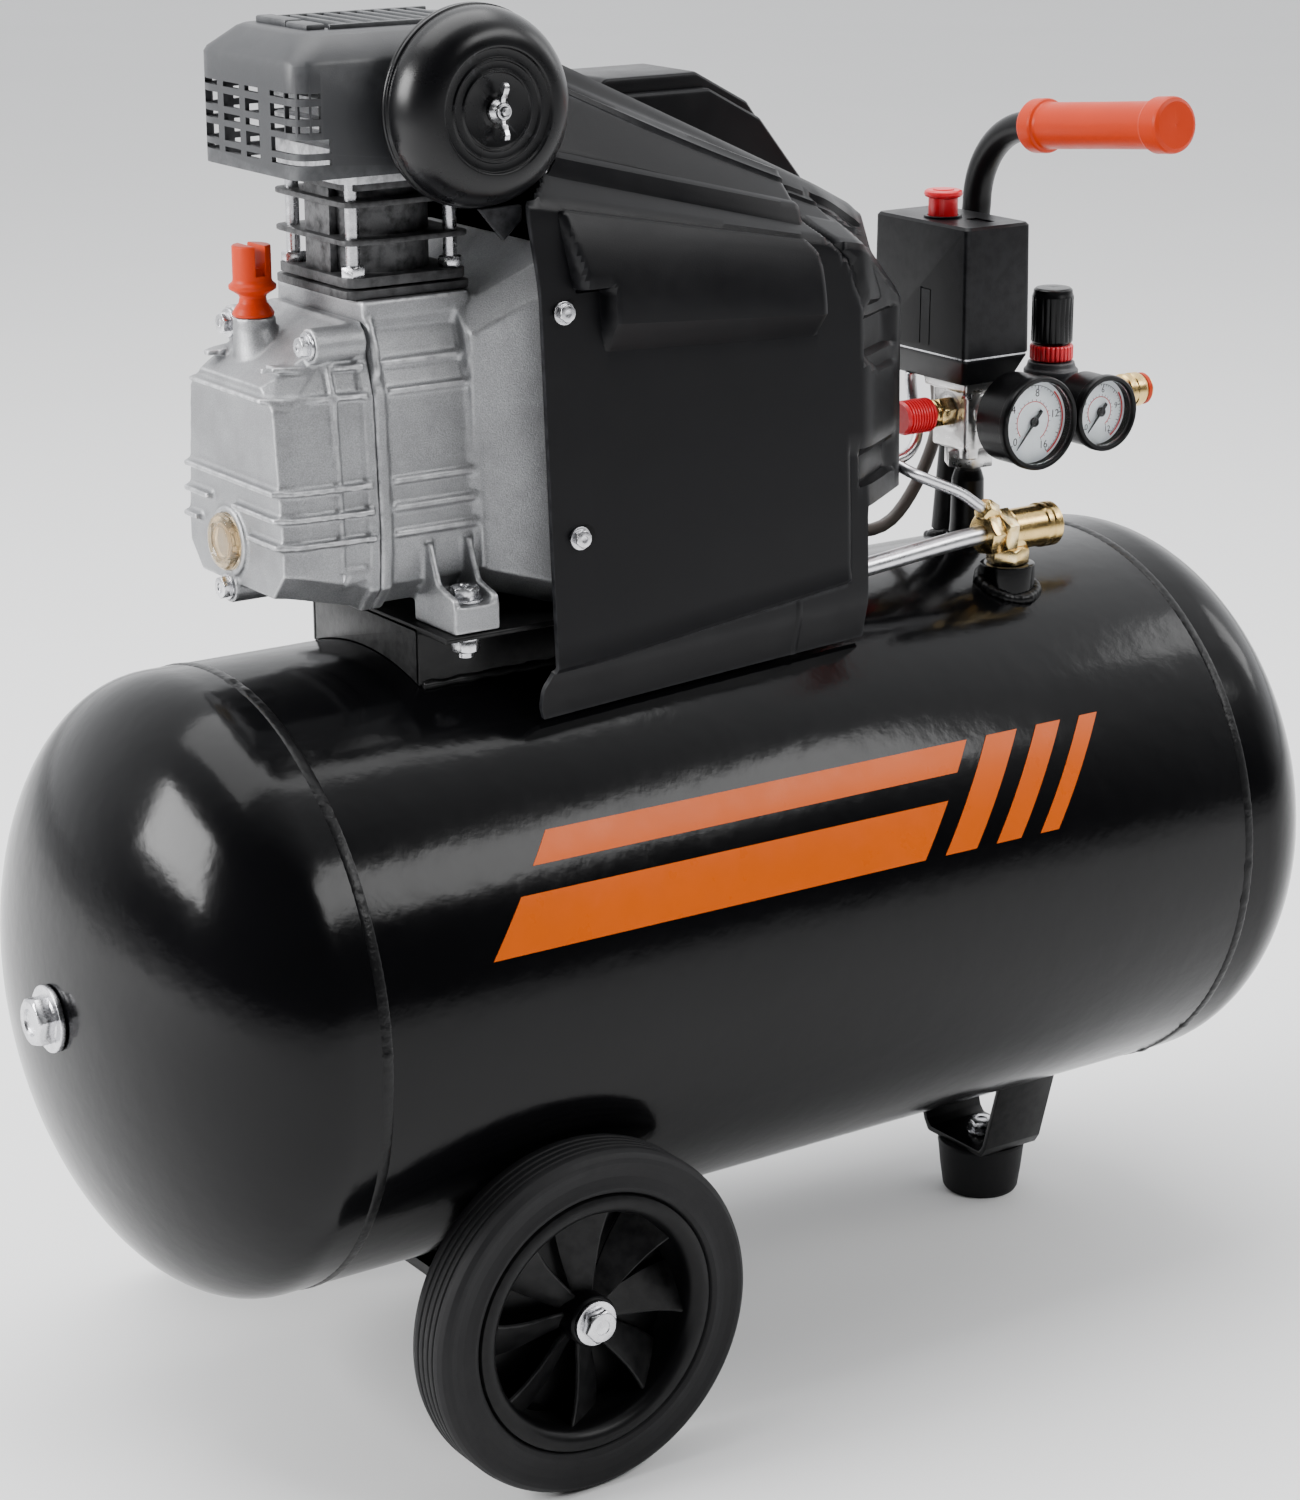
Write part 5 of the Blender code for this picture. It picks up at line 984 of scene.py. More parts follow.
def cylinder():
    barrel = lathe([(0.0236, DECK_Z + 0.002), (0.0270, DECK_Z + 0.002), (0.0270, CYL_TOP),
                    (0.0236, CYL_TOP)],
                   (CYL_X, 0, 0), "z", 72)
    side_block = box((CYL_X - 0.0290, -0.0120, DECK_Z + 0.004), (CYL_X - 0.0250, 0.0120, CYL_TOP - 0.001),
                     0.0008)
    plates = [fin(DECK_Z + 0.0003, 0.5678, 0.0338, 0.0368), fin(0.5688, 0.5735, 0.0325, 0.0355),
              fin(0.5885, 0.5910), fin(0.6060, 0.6086), fin(0.6130, CYL_TOP, 0.0300, 0.0330)]
    plates = [cut(plate, rod((CYL_X, 0, 0.55), (CYL_X, 0, 0.63), 0.0255, 64)) for plate in plates]
    dress(merged(barrel, side_block, *plates), "cylinder_casting", IRON, "chassis",
          stands_for=["cylinder"])
    for index, (a, b) in enumerate([(-1, -1), (-1, 1), (1, -1), (1, 1)]):
        x, y = CYL_X + a * 0.0262, b * 0.0285
        stud = rod((x, y, DECK_Z + 0.0100), (x, y, 0.6225), 0.0033, 28)
        nut = hexagon((x, y, DECK_Z), "z", 0.0105, 0.0100, 0.0150, turn=0.4 * index)
        dress(merged(stud, nut), f"head_stud_{index}", ZINC, "chassis")


COVER_X0, COVER_X1, COVER_Y0, COVER_Y1 = -0.2360, -0.1115, -0.0445, 0.0530
COVER_LOW, COVER_ROOF, COVER_TOP = 0.6215, 0.6745, 0.6855
FILTER_X, FILTER_Y, FILTER_Z, FILTER_R = -0.1535, -0.0560, 0.6515, 0.0465


def hood_loop(inset, z, wall):
    corner = 0.0125 - wall * 0.6
    x0, x1 = COVER_X0 + wall + inset, COVER_X1 + (0.002 if wall else 0)
    y0, y1 = COVER_Y0 + wall + inset, COVER_Y1 - wall - inset
    points = softened([(x1, y0), (x0, y0), (x0, y1), (x1, y1)], corner, 8)
    return [(x, y, z) for x, y in points]


def hood_shape(wall):
    low = COVER_LOW - (0.002 if wall else 0)
    levels = [(0, low), (0, COVER_ROOF - 0.002), (0.0012, COVER_ROOF + 0.0005 - wall / 2),
              (0.0115, COVER_TOP - 0.0012 - wall), (0.0140, COVER_TOP - wall)]
    return lump([hood_loop(inset, z, wall) for inset, z in levels])


def head_cover():
    hood = cut(hood_shape(0.0), hood_shape(0.0022))
    rows = [(0.6592, 0.0012), (0.6518, 0.0029), (0.6442, 0.0016), (0.6365, 0.0032), (0.6292, 0.0012)]
    cutters = []
    corner = Vector((COVER_X0 + 0.0125, COVER_Y0 + 0.0125))
    for index, (z, half) in enumerate(rows):
        for middle, width in ((0.0400, 0.0078), (0.0185, 0.0078), (-0.0015, 0.0066)):
            cutters.append(box((COVER_X0 - 0.005, middle - width, z - half),
                               (COVER_X0 + 0.006, middle + width, z + half)))
        for k in range(1, 4):
            cutters.append(box((COVER_X0 - 0.005, COVER_Y1 - 0.004, z - half),
                               (COVER_X0 + 0.012, COVER_Y1 + 0.005, z + half))
                           if k == 1 else box((COVER_X0 + 0.016 * (k - 1) + 0.002, COVER_Y1 - 0.004,
                                               z - half),
                                              (COVER_X0 + 0.016 * k, COVER_Y1 + 0.005, z + half)))
        front_y = COVER_Y0 - 0.005
        if index < 3:
            cutters.append(box((COVER_X0 - 0.005, -0.0319, z - half),
                               (COVER_X0 + 0.006, -0.0191, z + half)))
        else:
            cutters.append(box((COVER_X0 - 0.005, -0.0340, z - half),
                               (COVER_X0 + 0.006, -0.0191, z + half)))
            cutters.append(box((corner.x - 0.0005, front_y, z - half),
                               (corner.x + 0.0045, front_y + 0.010, z + half)))
        spans = [(184, 214), (220, 243), (248, 268)] if index < 3 else [(178, 272)]
        for first, last in spans:
            points = [corner + Vector((cos(a), sin(a))) * r for r in (0.0085, 0.0210)
                      for a in [radians(first + (last - first) * k / 5) for k in range(6)]]
            outline = [*points[:6], *reversed(points[6:])]
            cutters.append(prism([(p.x, p.y) for p in outline], z - half, z + half))
    for k in range(9):
        x = -0.1990 + 0.0090 * k
        cutters.append(box((x - 0.0026, -0.016, COVER_TOP - 0.01), (x + 0.0026, 0.034, COVER_TOP + 0.01)))
    cutters.append(box((COVER_X1 - 0.012, COVER_Y0 + 0.0022, COVER_LOW - 0.01),
                       (COVER_X1 + 0.010, COVER_Y1 - 0.0022, COVER_ROOF - 0.002)))
    cutters.append(rod((FILTER_X, COVER_Y0 - 0.005, FILTER_Z), (FILTER_X, COVER_Y0 + 0.005, FILTER_Z),
                       0.0120, 48))
    hood = cut(hood, *cutters)
    extras = [box((-0.2140, 0.0050, COVER_TOP - 0.0005), (-0.2050, 0.0340, COVER_TOP + 0.0032), 0.0010),
              box((-0.2150, -0.0170, COVER_TOP - 0.0005), (-0.2050, 0.0030, COVER_TOP + 0.0026), 0.0010)]
    for k in range(8):
        x = -0.1945 + 0.0090 * k
        slat = box((x - 0.0014, -0.016, COVER_TOP - 0.0012), (x + 0.0014, 0.034, COVER_TOP + 0.0022),
                   0.0005)
        extras.append(slat)
    for y in (-0.0180, 0.0360):
        extras.append(box((-0.2040, y - 0.0012, COVER_TOP - 0.0012),
                          (-0.1210, y + 0.0012, COVER_TOP + 0.0022), 0.0005))
    dress(merged(hood, *extras), "head_hood", PLASTIC_GREY, "chassis", sharp=30,
          stands_for=["head_cover"])


def air_filter():
    centre = Vector((FILTER_X, FILTER_Y, FILTER_Z))
    neck_end = 0.0365 + FILTER_Y + 0.0003
    base = lathe([(0, 0.0030), (0, 0.0290), (0.0021, 0.0290), (0.0021, 0.0030), (FILTER_R - 0.0004, 0.0030),
                  (FILTER_R, 0.0022), (FILTER_R, 0.0008), (FILTER_R - 0.0012, 0), (0.0112, 0),
                  (0.0110, neck_end), (0, neck_end)], centre, FRONT, 128, 0.0003)
    dress(base, "filter_back", PLASTIC_SATIN, "chassis", stands_for=["filter_base"])
    dome = [(FILTER_R, 0.0033), (FILTER_R, 0.0050), (FILTER_R - 0.0010, 0.0058),
            (FILTER_R - 0.0010, 0.0066)]
    for k in range(15):
        a = pi / 2 * k / 14
        dome.append((0.0292 + (FILTER_R - 0.0008 - 0.0292) * cos(a), 0.0070 + 0.0202 * sin(a)))
    rings = [(0.0284, 0.0270), (0.0277, 0.0256), (0.0240, 0.0254), (0.0234, 0.0262), (0.0226, 0.0262),
             (0.0220, 0.0252), (0.0188, 0.0252), (0.0182, 0.0260), (0.0174, 0.0260), (0.0168, 0.0250),
             (0.0080, 0.0248), (0.0060, 0.0254), (0.0030, 0.0254)]
    inside = [(0.0030, 0.0235), (0.0270, 0.0235), (0.0365, 0.0220), (FILTER_R - 0.002, 0.0130),
              (FILTER_R - 0.002, 0.0033)]
    dress(lathe([*dome, *rings, *inside], centre, FRONT, 144, 0.00025, 2), "filter_dome", PLASTIC_SATIN,
          "chassis",
          sharp=34, stands_for=["filter_cap"])
    hub = lathe([(0.0024, 0.0258), (0.0058, 0.0258), (0.0056, 0.0275), (0.0040, 0.0300), (0.0036, 0.0318),
                 (0.0024, 0.0318)], centre, FRONT, 40, 0.0004)
    wings = []
    for side in (-1, 1):
        outline = [(0.0030, 0.0262), (0.0058, 0.0264), (0.0085, 0.0285), (0.0118, 0.0298), (0.0132, 0.0318),
                   (0.0125, 0.0338), (0.0104, 0.0342), (0.0080, 0.0330), (0.0058, 0.0312), (0.0032, 0.0306)]
        loops = [[(FILTER_X + dx * (1 if 0.006 < a else 0.8), FILTER_Y - h, FILTER_Z + side * a) for a, h in
                  [(p.x, p.y) for p in softened(outline, 0.0012, 3)]] for dx in (-0.0013, 0.0013)]
        wings.append(bevelled(lump(loops), 0.0004, 1))
    dress(merged(hub, *wings), "wing_nut", ZINC, "wing_turn", stands_for=["filter_wing_nut"])
    screw = lathe([(0, 0.0290), (0.0019, 0.0290), (0.0019, 0.0335), (0.0014, 0.0340), (0, 0.0340)], centre,
                  FRONT, 24)
    dress(screw, "filter_stud_end", ZINC, "chassis")

# ---- shroud ----------------------------------------------------------------------------------------
SHROUD_X0, SHROUD_X1, SHROUD_END = -0.1390, 0.0620, 0.1030
SHROUD_WALL = 0.0024
PUMP_END = [(0.0865, 0.3645), (0.0925, 0.3850), (0.0885, 0.4400), (0.0780, 0.6070), (0.0580, 0.6290),
            (0.0300, 0.6850), (0.0002, 0.6850)]
FAR_END = [(0.0745, 0.3645), (0.0795, 0.3910), (0.0780, 0.4400), (0.0720, 0.5680), (0.0550, 0.5760),
           (0.0300, 0.5920), (0.0002, 0.5920)]
END_WALL = [(0.0500, 0.3645), (0.0500, 0.3990), (0.0495, 0.4400), (0.0480, 0.5370), (0.0230, 0.5560),
            (0.0140, 0.5740), (0.0002, 0.5740)]
BLEND = (0, 0.16, 0.0, 0.05, 0.12, 0.10)
WALL_COLUMNS = (0.0455, 0.0390, 0.0330, 0.0270, 0.0210, 0.0150, 0.0090, 0.0045, 0.0002)
ROW_COUNTS = (10, 4, 3, 9, 1, 2, 3, 2, 8, 2, 2, 2, 4, 5, 7, 1, 11, 2, 5, 6, 5, 4, 12, 3, 8, 10)


def ramp(value, low, high):
    t = min(1.0, max(0.0, (value - low) / (high - low)))
    return t * t * (3 - 2 * t)


def along(x, x0, v0, x1, v1):
    return v0 + (v1 - v0) * (x - x0) / (x1 - x0)


def outline_at(q, outline):
    """The point at a span number plus fraction, with the corners eased."""
    index = min(int(q), len(outline) - 2)
    t = q - index
    a, b = Vector(outline[index]), Vector(outline[index + 1])
    point = a.lerp(b, t)
    for corner, near in ((index, t), (index + 1, 1 - t)):
        ease = BLEND[corner] if 0 < corner < len(BLEND) else 0
        if ease and near < ease:
            here = Vector(outline[corner])
            before = here.lerp(Vector(outline[corner - 1]), ease)
            after = here.lerp(Vector(outline[corner + 1]), ease)
            s = 0.5 + 0.5 * near / ease if corner == index else 0.5 - 0.5 * near / ease
            point = before * (1 - s) ** 2 + here * 2 * s * (1 - s) + after * s ** 2
    return point


def left_edge(z):
    """The front half's edge beside the pump, which leans at the top and flares at the skirt."""
    edge = -0.1335 - 0.0045 * ramp(z, 0.560, 0.607)
    return edge - 0.0065 * (1 - ramp(z, 0.3775, 0.3925)) + 0.0035 * (1 - ramp(z, 0.3600, 0.3720))


def relief(x, z, q):
    """How far the front half's skin stands out from its plain outline."""
    height = 0.0
    line = rib_line(x)
    if q < 4:
        right_end = 1 - ramp(x, 0.0480, 0.0500) * (1 - ramp(z, 0.4690, 0.4715))
        height += 0.0014 * ramp(z, line - 0.0006, line + 0.0008) * right_end
        height += 0.0008 * max(0.0, 1 - ((z - line - 0.0010) / 0.0018) ** 2) * (x < 0.049)
    if q < 1.5 and abs(x - 0.0165) < 0.0015 and z < line - 0.002:
        height += 0.0006 * (1 - ((x - 0.0165) / 0.0015) ** 2)
    foot, lip, top = panel_lines(x)
    left = along(z, 0.6030, -0.1215, 0.5670, -0.1135)
    right = 0.0275 - 0.0130 * ramp(z, 0.5640, 0.5810) ** 1.5
    if z < 0.5675:
        left = -0.1135 + 0.0150 * ramp(0.5675 - z, 0.0, 0.0012)
    if left < x < right + 0.0030 and foot < z < top and q < 3:
        t = min(1.0, (top - z) / 0.040)
        rise = 0.0014 + 0.0088 * (1 - (1 - t) ** 2)
        shade = (z - foot) / (lip - foot) if z < lip else 1.0
        side_edge = ramp(x, left, left + 0.0026) * (1 - ramp(x, right, right + 0.0022))
        height += rise * shade * side_edge * ramp(top - z, 0, 0.0010)
    band_low, band_high = band_lines(x)
    if z > band_low and q > 3:
        upper = 1 - ramp(x, 0.0265, 0.0292)
        height += 0.0056 * upper * min(1.0,
                                       (z - band_low) / (band_high - band_low)) * (1 - ramp(q, 4.6, 4.85))
    if 4 < q < 5.02:
        ridge = along(x, -0.1300, 4.72, 0.0500, 4.45)
        height += 0.0014 * ramp(q, ridge - 0.02, ridge + 0.012)
        height -= 0.0010 * max(0.0, 1 - ((q - ridge - 0.055) / 0.03) ** 2)
    height += pockets(x, z, q)
    return height


def pockets(x, z, q):
    """Stepped recesses where the shroud narrows at its far end."""
    height = 0.0
    edge = 0.0285 + (0.0235 * ramp(0.5846 - z, 0.0, 0.0285) + 0.0060 * ramp(0.5561 - z, 0.0, 0.0180))
    if z < 0.5153:
        edge += 0.0130 * ramp(0.5153 - z, 0.002, 0.0110)
    inside = ramp(x, edge, edge + 0.0022) * ramp(z, 0.5035, 0.5060) * (q > 2)
    if inside and q < 4.6:
        height -= 0.0028 * inside
        facet = ramp(z, 0.5395, 0.5420) * (1 - ramp(x, along(z, 0.5800, 0.0560, 0.5418, 0.0790),
                                                    along(z, 0.5800, 0.0580, 0.5418, 0.0810)))
        height += 0.0020 * facet * ramp(x, edge + 0.0060, edge + 0.0085)
        height -= 0.0038 * ramp(z, 0.5125, 0.5150) * (1 - ramp(z, 0.5330, 0.5350)) * ramp(x, edge + 0.004,
                                                                                          edge + 0.006)
    if x > 0.052 and z < 0.4730:
        deep = ramp(x, 0.0550, 0.0575) * ramp(z, 0.4480, 0.4500) * (1 - ramp(z, 0.4650, 0.4700))
        height -= 0.0045 * deep
    return height


def rib_line(x):
    """Height of the rib above the skirt."""
    return max(along(x, -0.1313, 0.3870, 0.0475, 0.4030), along(x, SHROUD_X0, 0.3884, SHROUD_X1, 0.3944))


def panel_lines(x):
    """Heights of the raised panel's foot, lip and top edge at one place along the shroud."""
    past = ramp(x, 0.035, 0.045)
    foot = along(x, -0.0950, 0.5360, 0.0310, 0.5295) + 0.0045 * past
    lip = along(x, -0.0985, 0.5500, 0.0275, 0.5412) + 0.0012 * past
    return foot, lip, along(x, -0.1225, 0.6030, 0.0200, 0.5800)


def band_lines(x):
    """Heights of the lower and upper edge of the band's dark underside."""
    top = along(x, -0.1165, 0.6205, 0.0278, 0.5834)
    return top - along(x, -0.1165, 0.0052, 0.0278, 0.0042), top


def row_places(x, point):
    """Span numbers of the grid's rows at one column, some of which follow the edges of the relief."""
    heights = [point(k / 40).y for k in range(201)]

    def place(z):
        for k in range(40, 200):
            if heights[k + 1] >= z:
                return (k + max(0.0, (z - heights[k]) / (heights[k + 1] - heights[k]))) / 40
        return 5.0
    line = rib_line(x)
    foot, lip, top = panel_lines(x)
    keys = [line - 0.0014, line + 0.0012, 0.4480, 0.4500, 0.4560, 0.4650, 0.4700, 0.5035, 0.5060, 0.5125,
            0.5150,
            foot, lip, 0.5665, 0.5680, top - 0.0012, top + 0.0004]
    limit = heights[120] - 0.0010
    for index in range(len(keys) - 1, -1, -1):
        keys[index] = min(keys[index], limit)
        limit = keys[index] - 0.0008
    low, high = band_lines(x)
    high = min(high, heights[160] - 0.0012)
    low = max(min(low, high - 0.0020), heights[120] + 0.0012)
    ridge = along(x, -0.1300, 4.72, 0.0500, 4.45)
    marks = [0, 1, *[place(z) for z in keys], 3, place(low), place(high), 4, ridge - 0.02, ridge + 0.012, 5,
             6]
    places = [0.0]
    for first, last, count in zip(marks, marks[1:], ROW_COUNTS):
        places += [first + (last - first) * (k + 1) / count for k in range(count)]
    return places


def skin_columns():
    """The columns of one half's grid: a list of (x, outline, row places)."""
    columns = []
    spans = ((0.0, 0.27, 58), (0.27, 0.74, 34), (0.74, 1.0, 58))
    along_it = [0.0] + [a + (b - a) * (k + 1) / n for a, b, n in spans for k in range(n)]
    count, taper = len(along_it) - 1, 26
    for c in range(count + taper + 1):
        t, u = along_it[min(c, count)], max(0.0, (c - count) / taper)

        def point(q, t=t, u=u):
            if u:
                return outline_at(q, FAR_END).lerp(outline_at(q, END_WALL), u)
            return outline_at(q, PUMP_END).lerp(outline_at(q, FAR_END), t)
        x = SHROUD_X0 + (SHROUD_X1 - SHROUD_X0) * t + (SHROUD_END - SHROUD_X1) * u
        columns.append((x, point, row_places(min(x, SHROUD_X1), point), u > 0))
    return columns


def shroud_skin(side):
    """A grid over one half: rows up the outline, columns from the pump to the far end, then the end wall."""
    grid, places = [], []
    columns = skin_columns()
    for x, point, rows, _ in columns:
        line = []
        for q in rows:
            y, z = point(q)
            if q < 1:
                z = tank_top(point(0).x) + 0.0034 + (point(1).y - tank_top(point(0).x) - 0.0034) * q
            lean = (left_edge(z) - SHROUD_X0) * max(0.0, 1 - (x - SHROUD_X0) / 0.03) if side < 0 else 0.0
            line.append(Vector((x + lean, side * y, z)))
        grid.append(line)
        places.append(rows)
    turn, soft = 150, 5
    for r in range(len(grid[0])):
        first, middle, last = grid[turn - soft][r].copy(), grid[turn][r].copy(), grid[turn + soft][r].copy()
        for c in range(turn - soft, turn + soft + 1):
            t = (c - turn + soft) / (2 * soft)
            if places[c][r] > 1.99:
                grid[c][r] = first * (1 - t) ** 2 + middle * 2 * t * (1 - t) + last * t ** 2
    moved = []
    last = len(grid) - 1
    for c, row in enumerate(grid):
        line = []
        for r, p in enumerate(row):
            q = places[c][r]
            across = grid[min(c + 1, last)][r] - grid[max(c - 1, 0)][r]
            up = row[min(r + 1, len(row) - 1)] - row[max(r - 1, 0)]
            normal = across.cross(up).normalized() * (1 if side < 0 else -1)
            height = relief(p.x, p.z, q) if side < 0 else rear_relief(q)
            q_soft = 1 - ramp(p.x, 0.0900, 0.1020)
            p = p + normal * height * q_soft
            line.append(Vector((p.x, side * max(0.0002, side * p.y), p.z)))
        moved.append(line)
    for y in WALL_COLUMNS:
        moved.append([Vector((p.x, side * min(abs(p.y), y), p.z)) for p in moved[last]])
    bm = bmesh.new()
    verts = [[bm.verts.new(p) for p in line] for line in moved]
    for c in range(len(verts) - 1):
        for r in range(len(verts[0]) - 1):
            if c >= turn and places[min(c, last)][r + 1] < 2.001:
                continue
            ring = (verts[c][r], verts[c + 1][r], verts[c + 1][r + 1], verts[c][r + 1])
            if skin_open(c - last, ring):
                continue
            bm.faces.new(ring if side < 0 else ring[::-1])
    loose = [v for v in bm.verts if not v.link_faces]
    bmesh.ops.delete(bm, geom=loose, context="VERTS")
    for vert in bm.verts:
        if vert.is_boundary:
            vert.co = on_opening(vert.co)
    bmesh.ops.remove_doubles(bm, verts=bm.verts, dist=0.00003)
    bmesh.ops.dissolve_degenerate(bm, edges=bm.edges, dist=0.00002)
    return applied(from_bmesh(bm), "SOLIDIFY", thickness=SHROUD_WALL, offset=-1.0, use_even_offset=False)


HOOD_OPENING = ((-1.0, -0.0465, 0.6195), (-0.1095, 0.0550, 1.0))
FILTER_OPENING = FILTER_R + 0.0016


def in_hood(p):
    low, high = HOOD_OPENING
    return all(a < b < c for a, b, c in zip(low, p, high))


FILTER_BACK_Y = -0.045                     # the filter's opening is in front of this
SLOT_COLUMNS = (2, 4, 6)                   # columns of the end wall that have cooling slots
SLOT_LOW, SLOT_HIGH = 0.4560, 0.5280


def in_filter(p):
    return p.y < FILTER_BACK_Y and (p.x - FILTER_X) ** 2 + (p.z - FILTER_Z) ** 2 < FILTER_OPENING ** 2


def skin_open(wall_column, ring):
    """Whether a face of the grid lies in an opening: the hood's, the filter's or a cooling slot."""
    places = [v.co for v in ring]
    if all(in_hood(p) or in_filter(p) for p in places):
        return True
    middle = sum((p.z for p in places)) / 4
    return wall_column in SLOT_COLUMNS and SLOT_LOW < middle < SLOT_HIGH


def on_opening(p):
    """A corner of the skin moved onto the edge of the opening it lies in."""
    if in_filter(p) and not in_hood(p):
        way = Vector((p.x - FILTER_X, 0, p.z - FILTER_Z)).normalized() * FILTER_OPENING
        return Vector((FILTER_X + way.x, p.y, FILTER_Z + way.z))
    if in_hood(p):
        low, high = HOOD_OPENING
        moves = [(abs(high[0] - p.x), Vector((high[0], p.y, p.z))),
                 (abs(low[1] - p.y), Vector((p.x, low[1], p.z))),
                 (abs(high[1] - p.y), Vector((p.x, high[1], p.z))),
                 (abs(low[2] - p.z), Vector((p.x, p.y, low[2])))]
        return min(moves, key=lambda item: item[0])[1]
    return p


def rear_relief(q):
    return 0.0010 * ramp(q, 4.4, 4.45) if 4 < q < 5.02 else 0.0


def hump():
    """The stepped box over the capacitor."""
    parts = []
    for y0, y1, drop in ((0.0240, 0.0740, 0.0), (0.0180, 0.0800, 0.0080)):
        outline = [(-0.0350 - drop, 0.5700), (-0.0350 - drop, 0.6400 - drop), (-0.0250, 0.6480 - drop),
                   (0.0300 + drop / 2, 0.6480 - drop), (0.0620 + drop / 2, 0.6310 - drop), (0.0930, 0.5900),
                   (0.0930, 0.5700)]
        points = softened(outline, 0.006, 4)
        parts.append(bevelled(lump([[(p.x, y, p.y) for p in points] for y in (y0, y1)]), 0.0030, 3, 40))
    return united(parts[0], parts[1])


def shroud():
    for side, place in ((-1, "front"), (1, "rear")):
        skin = shroud_skin(side)
        parts = [skin]
        if side < 0:
            tab = lump([[(-0.1575, y, 0.6060), (-0.1340, y, 0.6060), (-0.1340, y, 0.5990),
                         (-0.1440, y, 0.5900)]
                        for y in (-0.0700, -0.0674)])
            parts.append(bevelled(tab, 0.0005, 1))
        else:
            parts.append(hump())
        if side < 0:
            tree = BVHTree.FromPolygons([v.co for v in skin.data.vertices],
                                        [f.vertices for f in skin.data.polygons])
            for index, (x, z) in enumerate([(-0.1215, 0.5565), (-0.1178, 0.4500)]):
                shroud_screw(index, tree.ray_cast(Vector((x, -0.2, z)), Vector((0, 1, 0)))[0])
        dress(merged(*parts), "shroud_skin_" + place, PLASTIC, "chassis", sharp=28,
              stands_for=["shroud_" + place])


def shroud_screw(index, seat):
    """A flange screw on the skin, with a flat dark disc beside it: painted shade inside its keyhole."""
    dress(bolt(seat + Vector((0, -0.0003, 0)), (0, -1, 0.05), 0.0078, 0.0046, 0.0056, 0.0014, 0.002),
          f"shroud_screw_{index}", ZINC, "chassis")
    # a flat dark disc set into the skin beside the screw: painted shade inside the keyhole, not a real
    # opening
    key = lathe([(0, -0.0012), (0.0050, -0.0012), (0.0050, 0.00025), (0, 0.00025)],
                seat + Vector((0.0040, 0, 0.0006)),
                FRONT, 32)
    dress(key, f"screw_keyhole_shade_{index}", KEYHOLE_SHADE, "chassis")

# ---- pressure switch, manifold, gauges and regulator -----------------------------------------------
MANIFOLD_TOP, SWITCH_SEAM, SWITCH_TOP, SWITCH_Y = 0.4785, 0.4935, 0.5632, 0.010
KNOB_X, KNOB_Y, VALVE_Z = 0.1810, 0.0120, 0.4605
GAUGE_FACE_Y, GAUGE_Z, REG_X, REG_Y = -0.060, 0.462, 0.2388, -0.012


def rounded_loop(middle, half_x, half_y, z, corner=0.0032):
    x, y = middle
    points = softened([(x - half_x, y - half_y), (x + half_x, y - half_y), (x + half_x, y + half_y),
                       (x - half_x, y + half_y)], corner, 5)
    return [(p.x, p.y, z) for p in points]


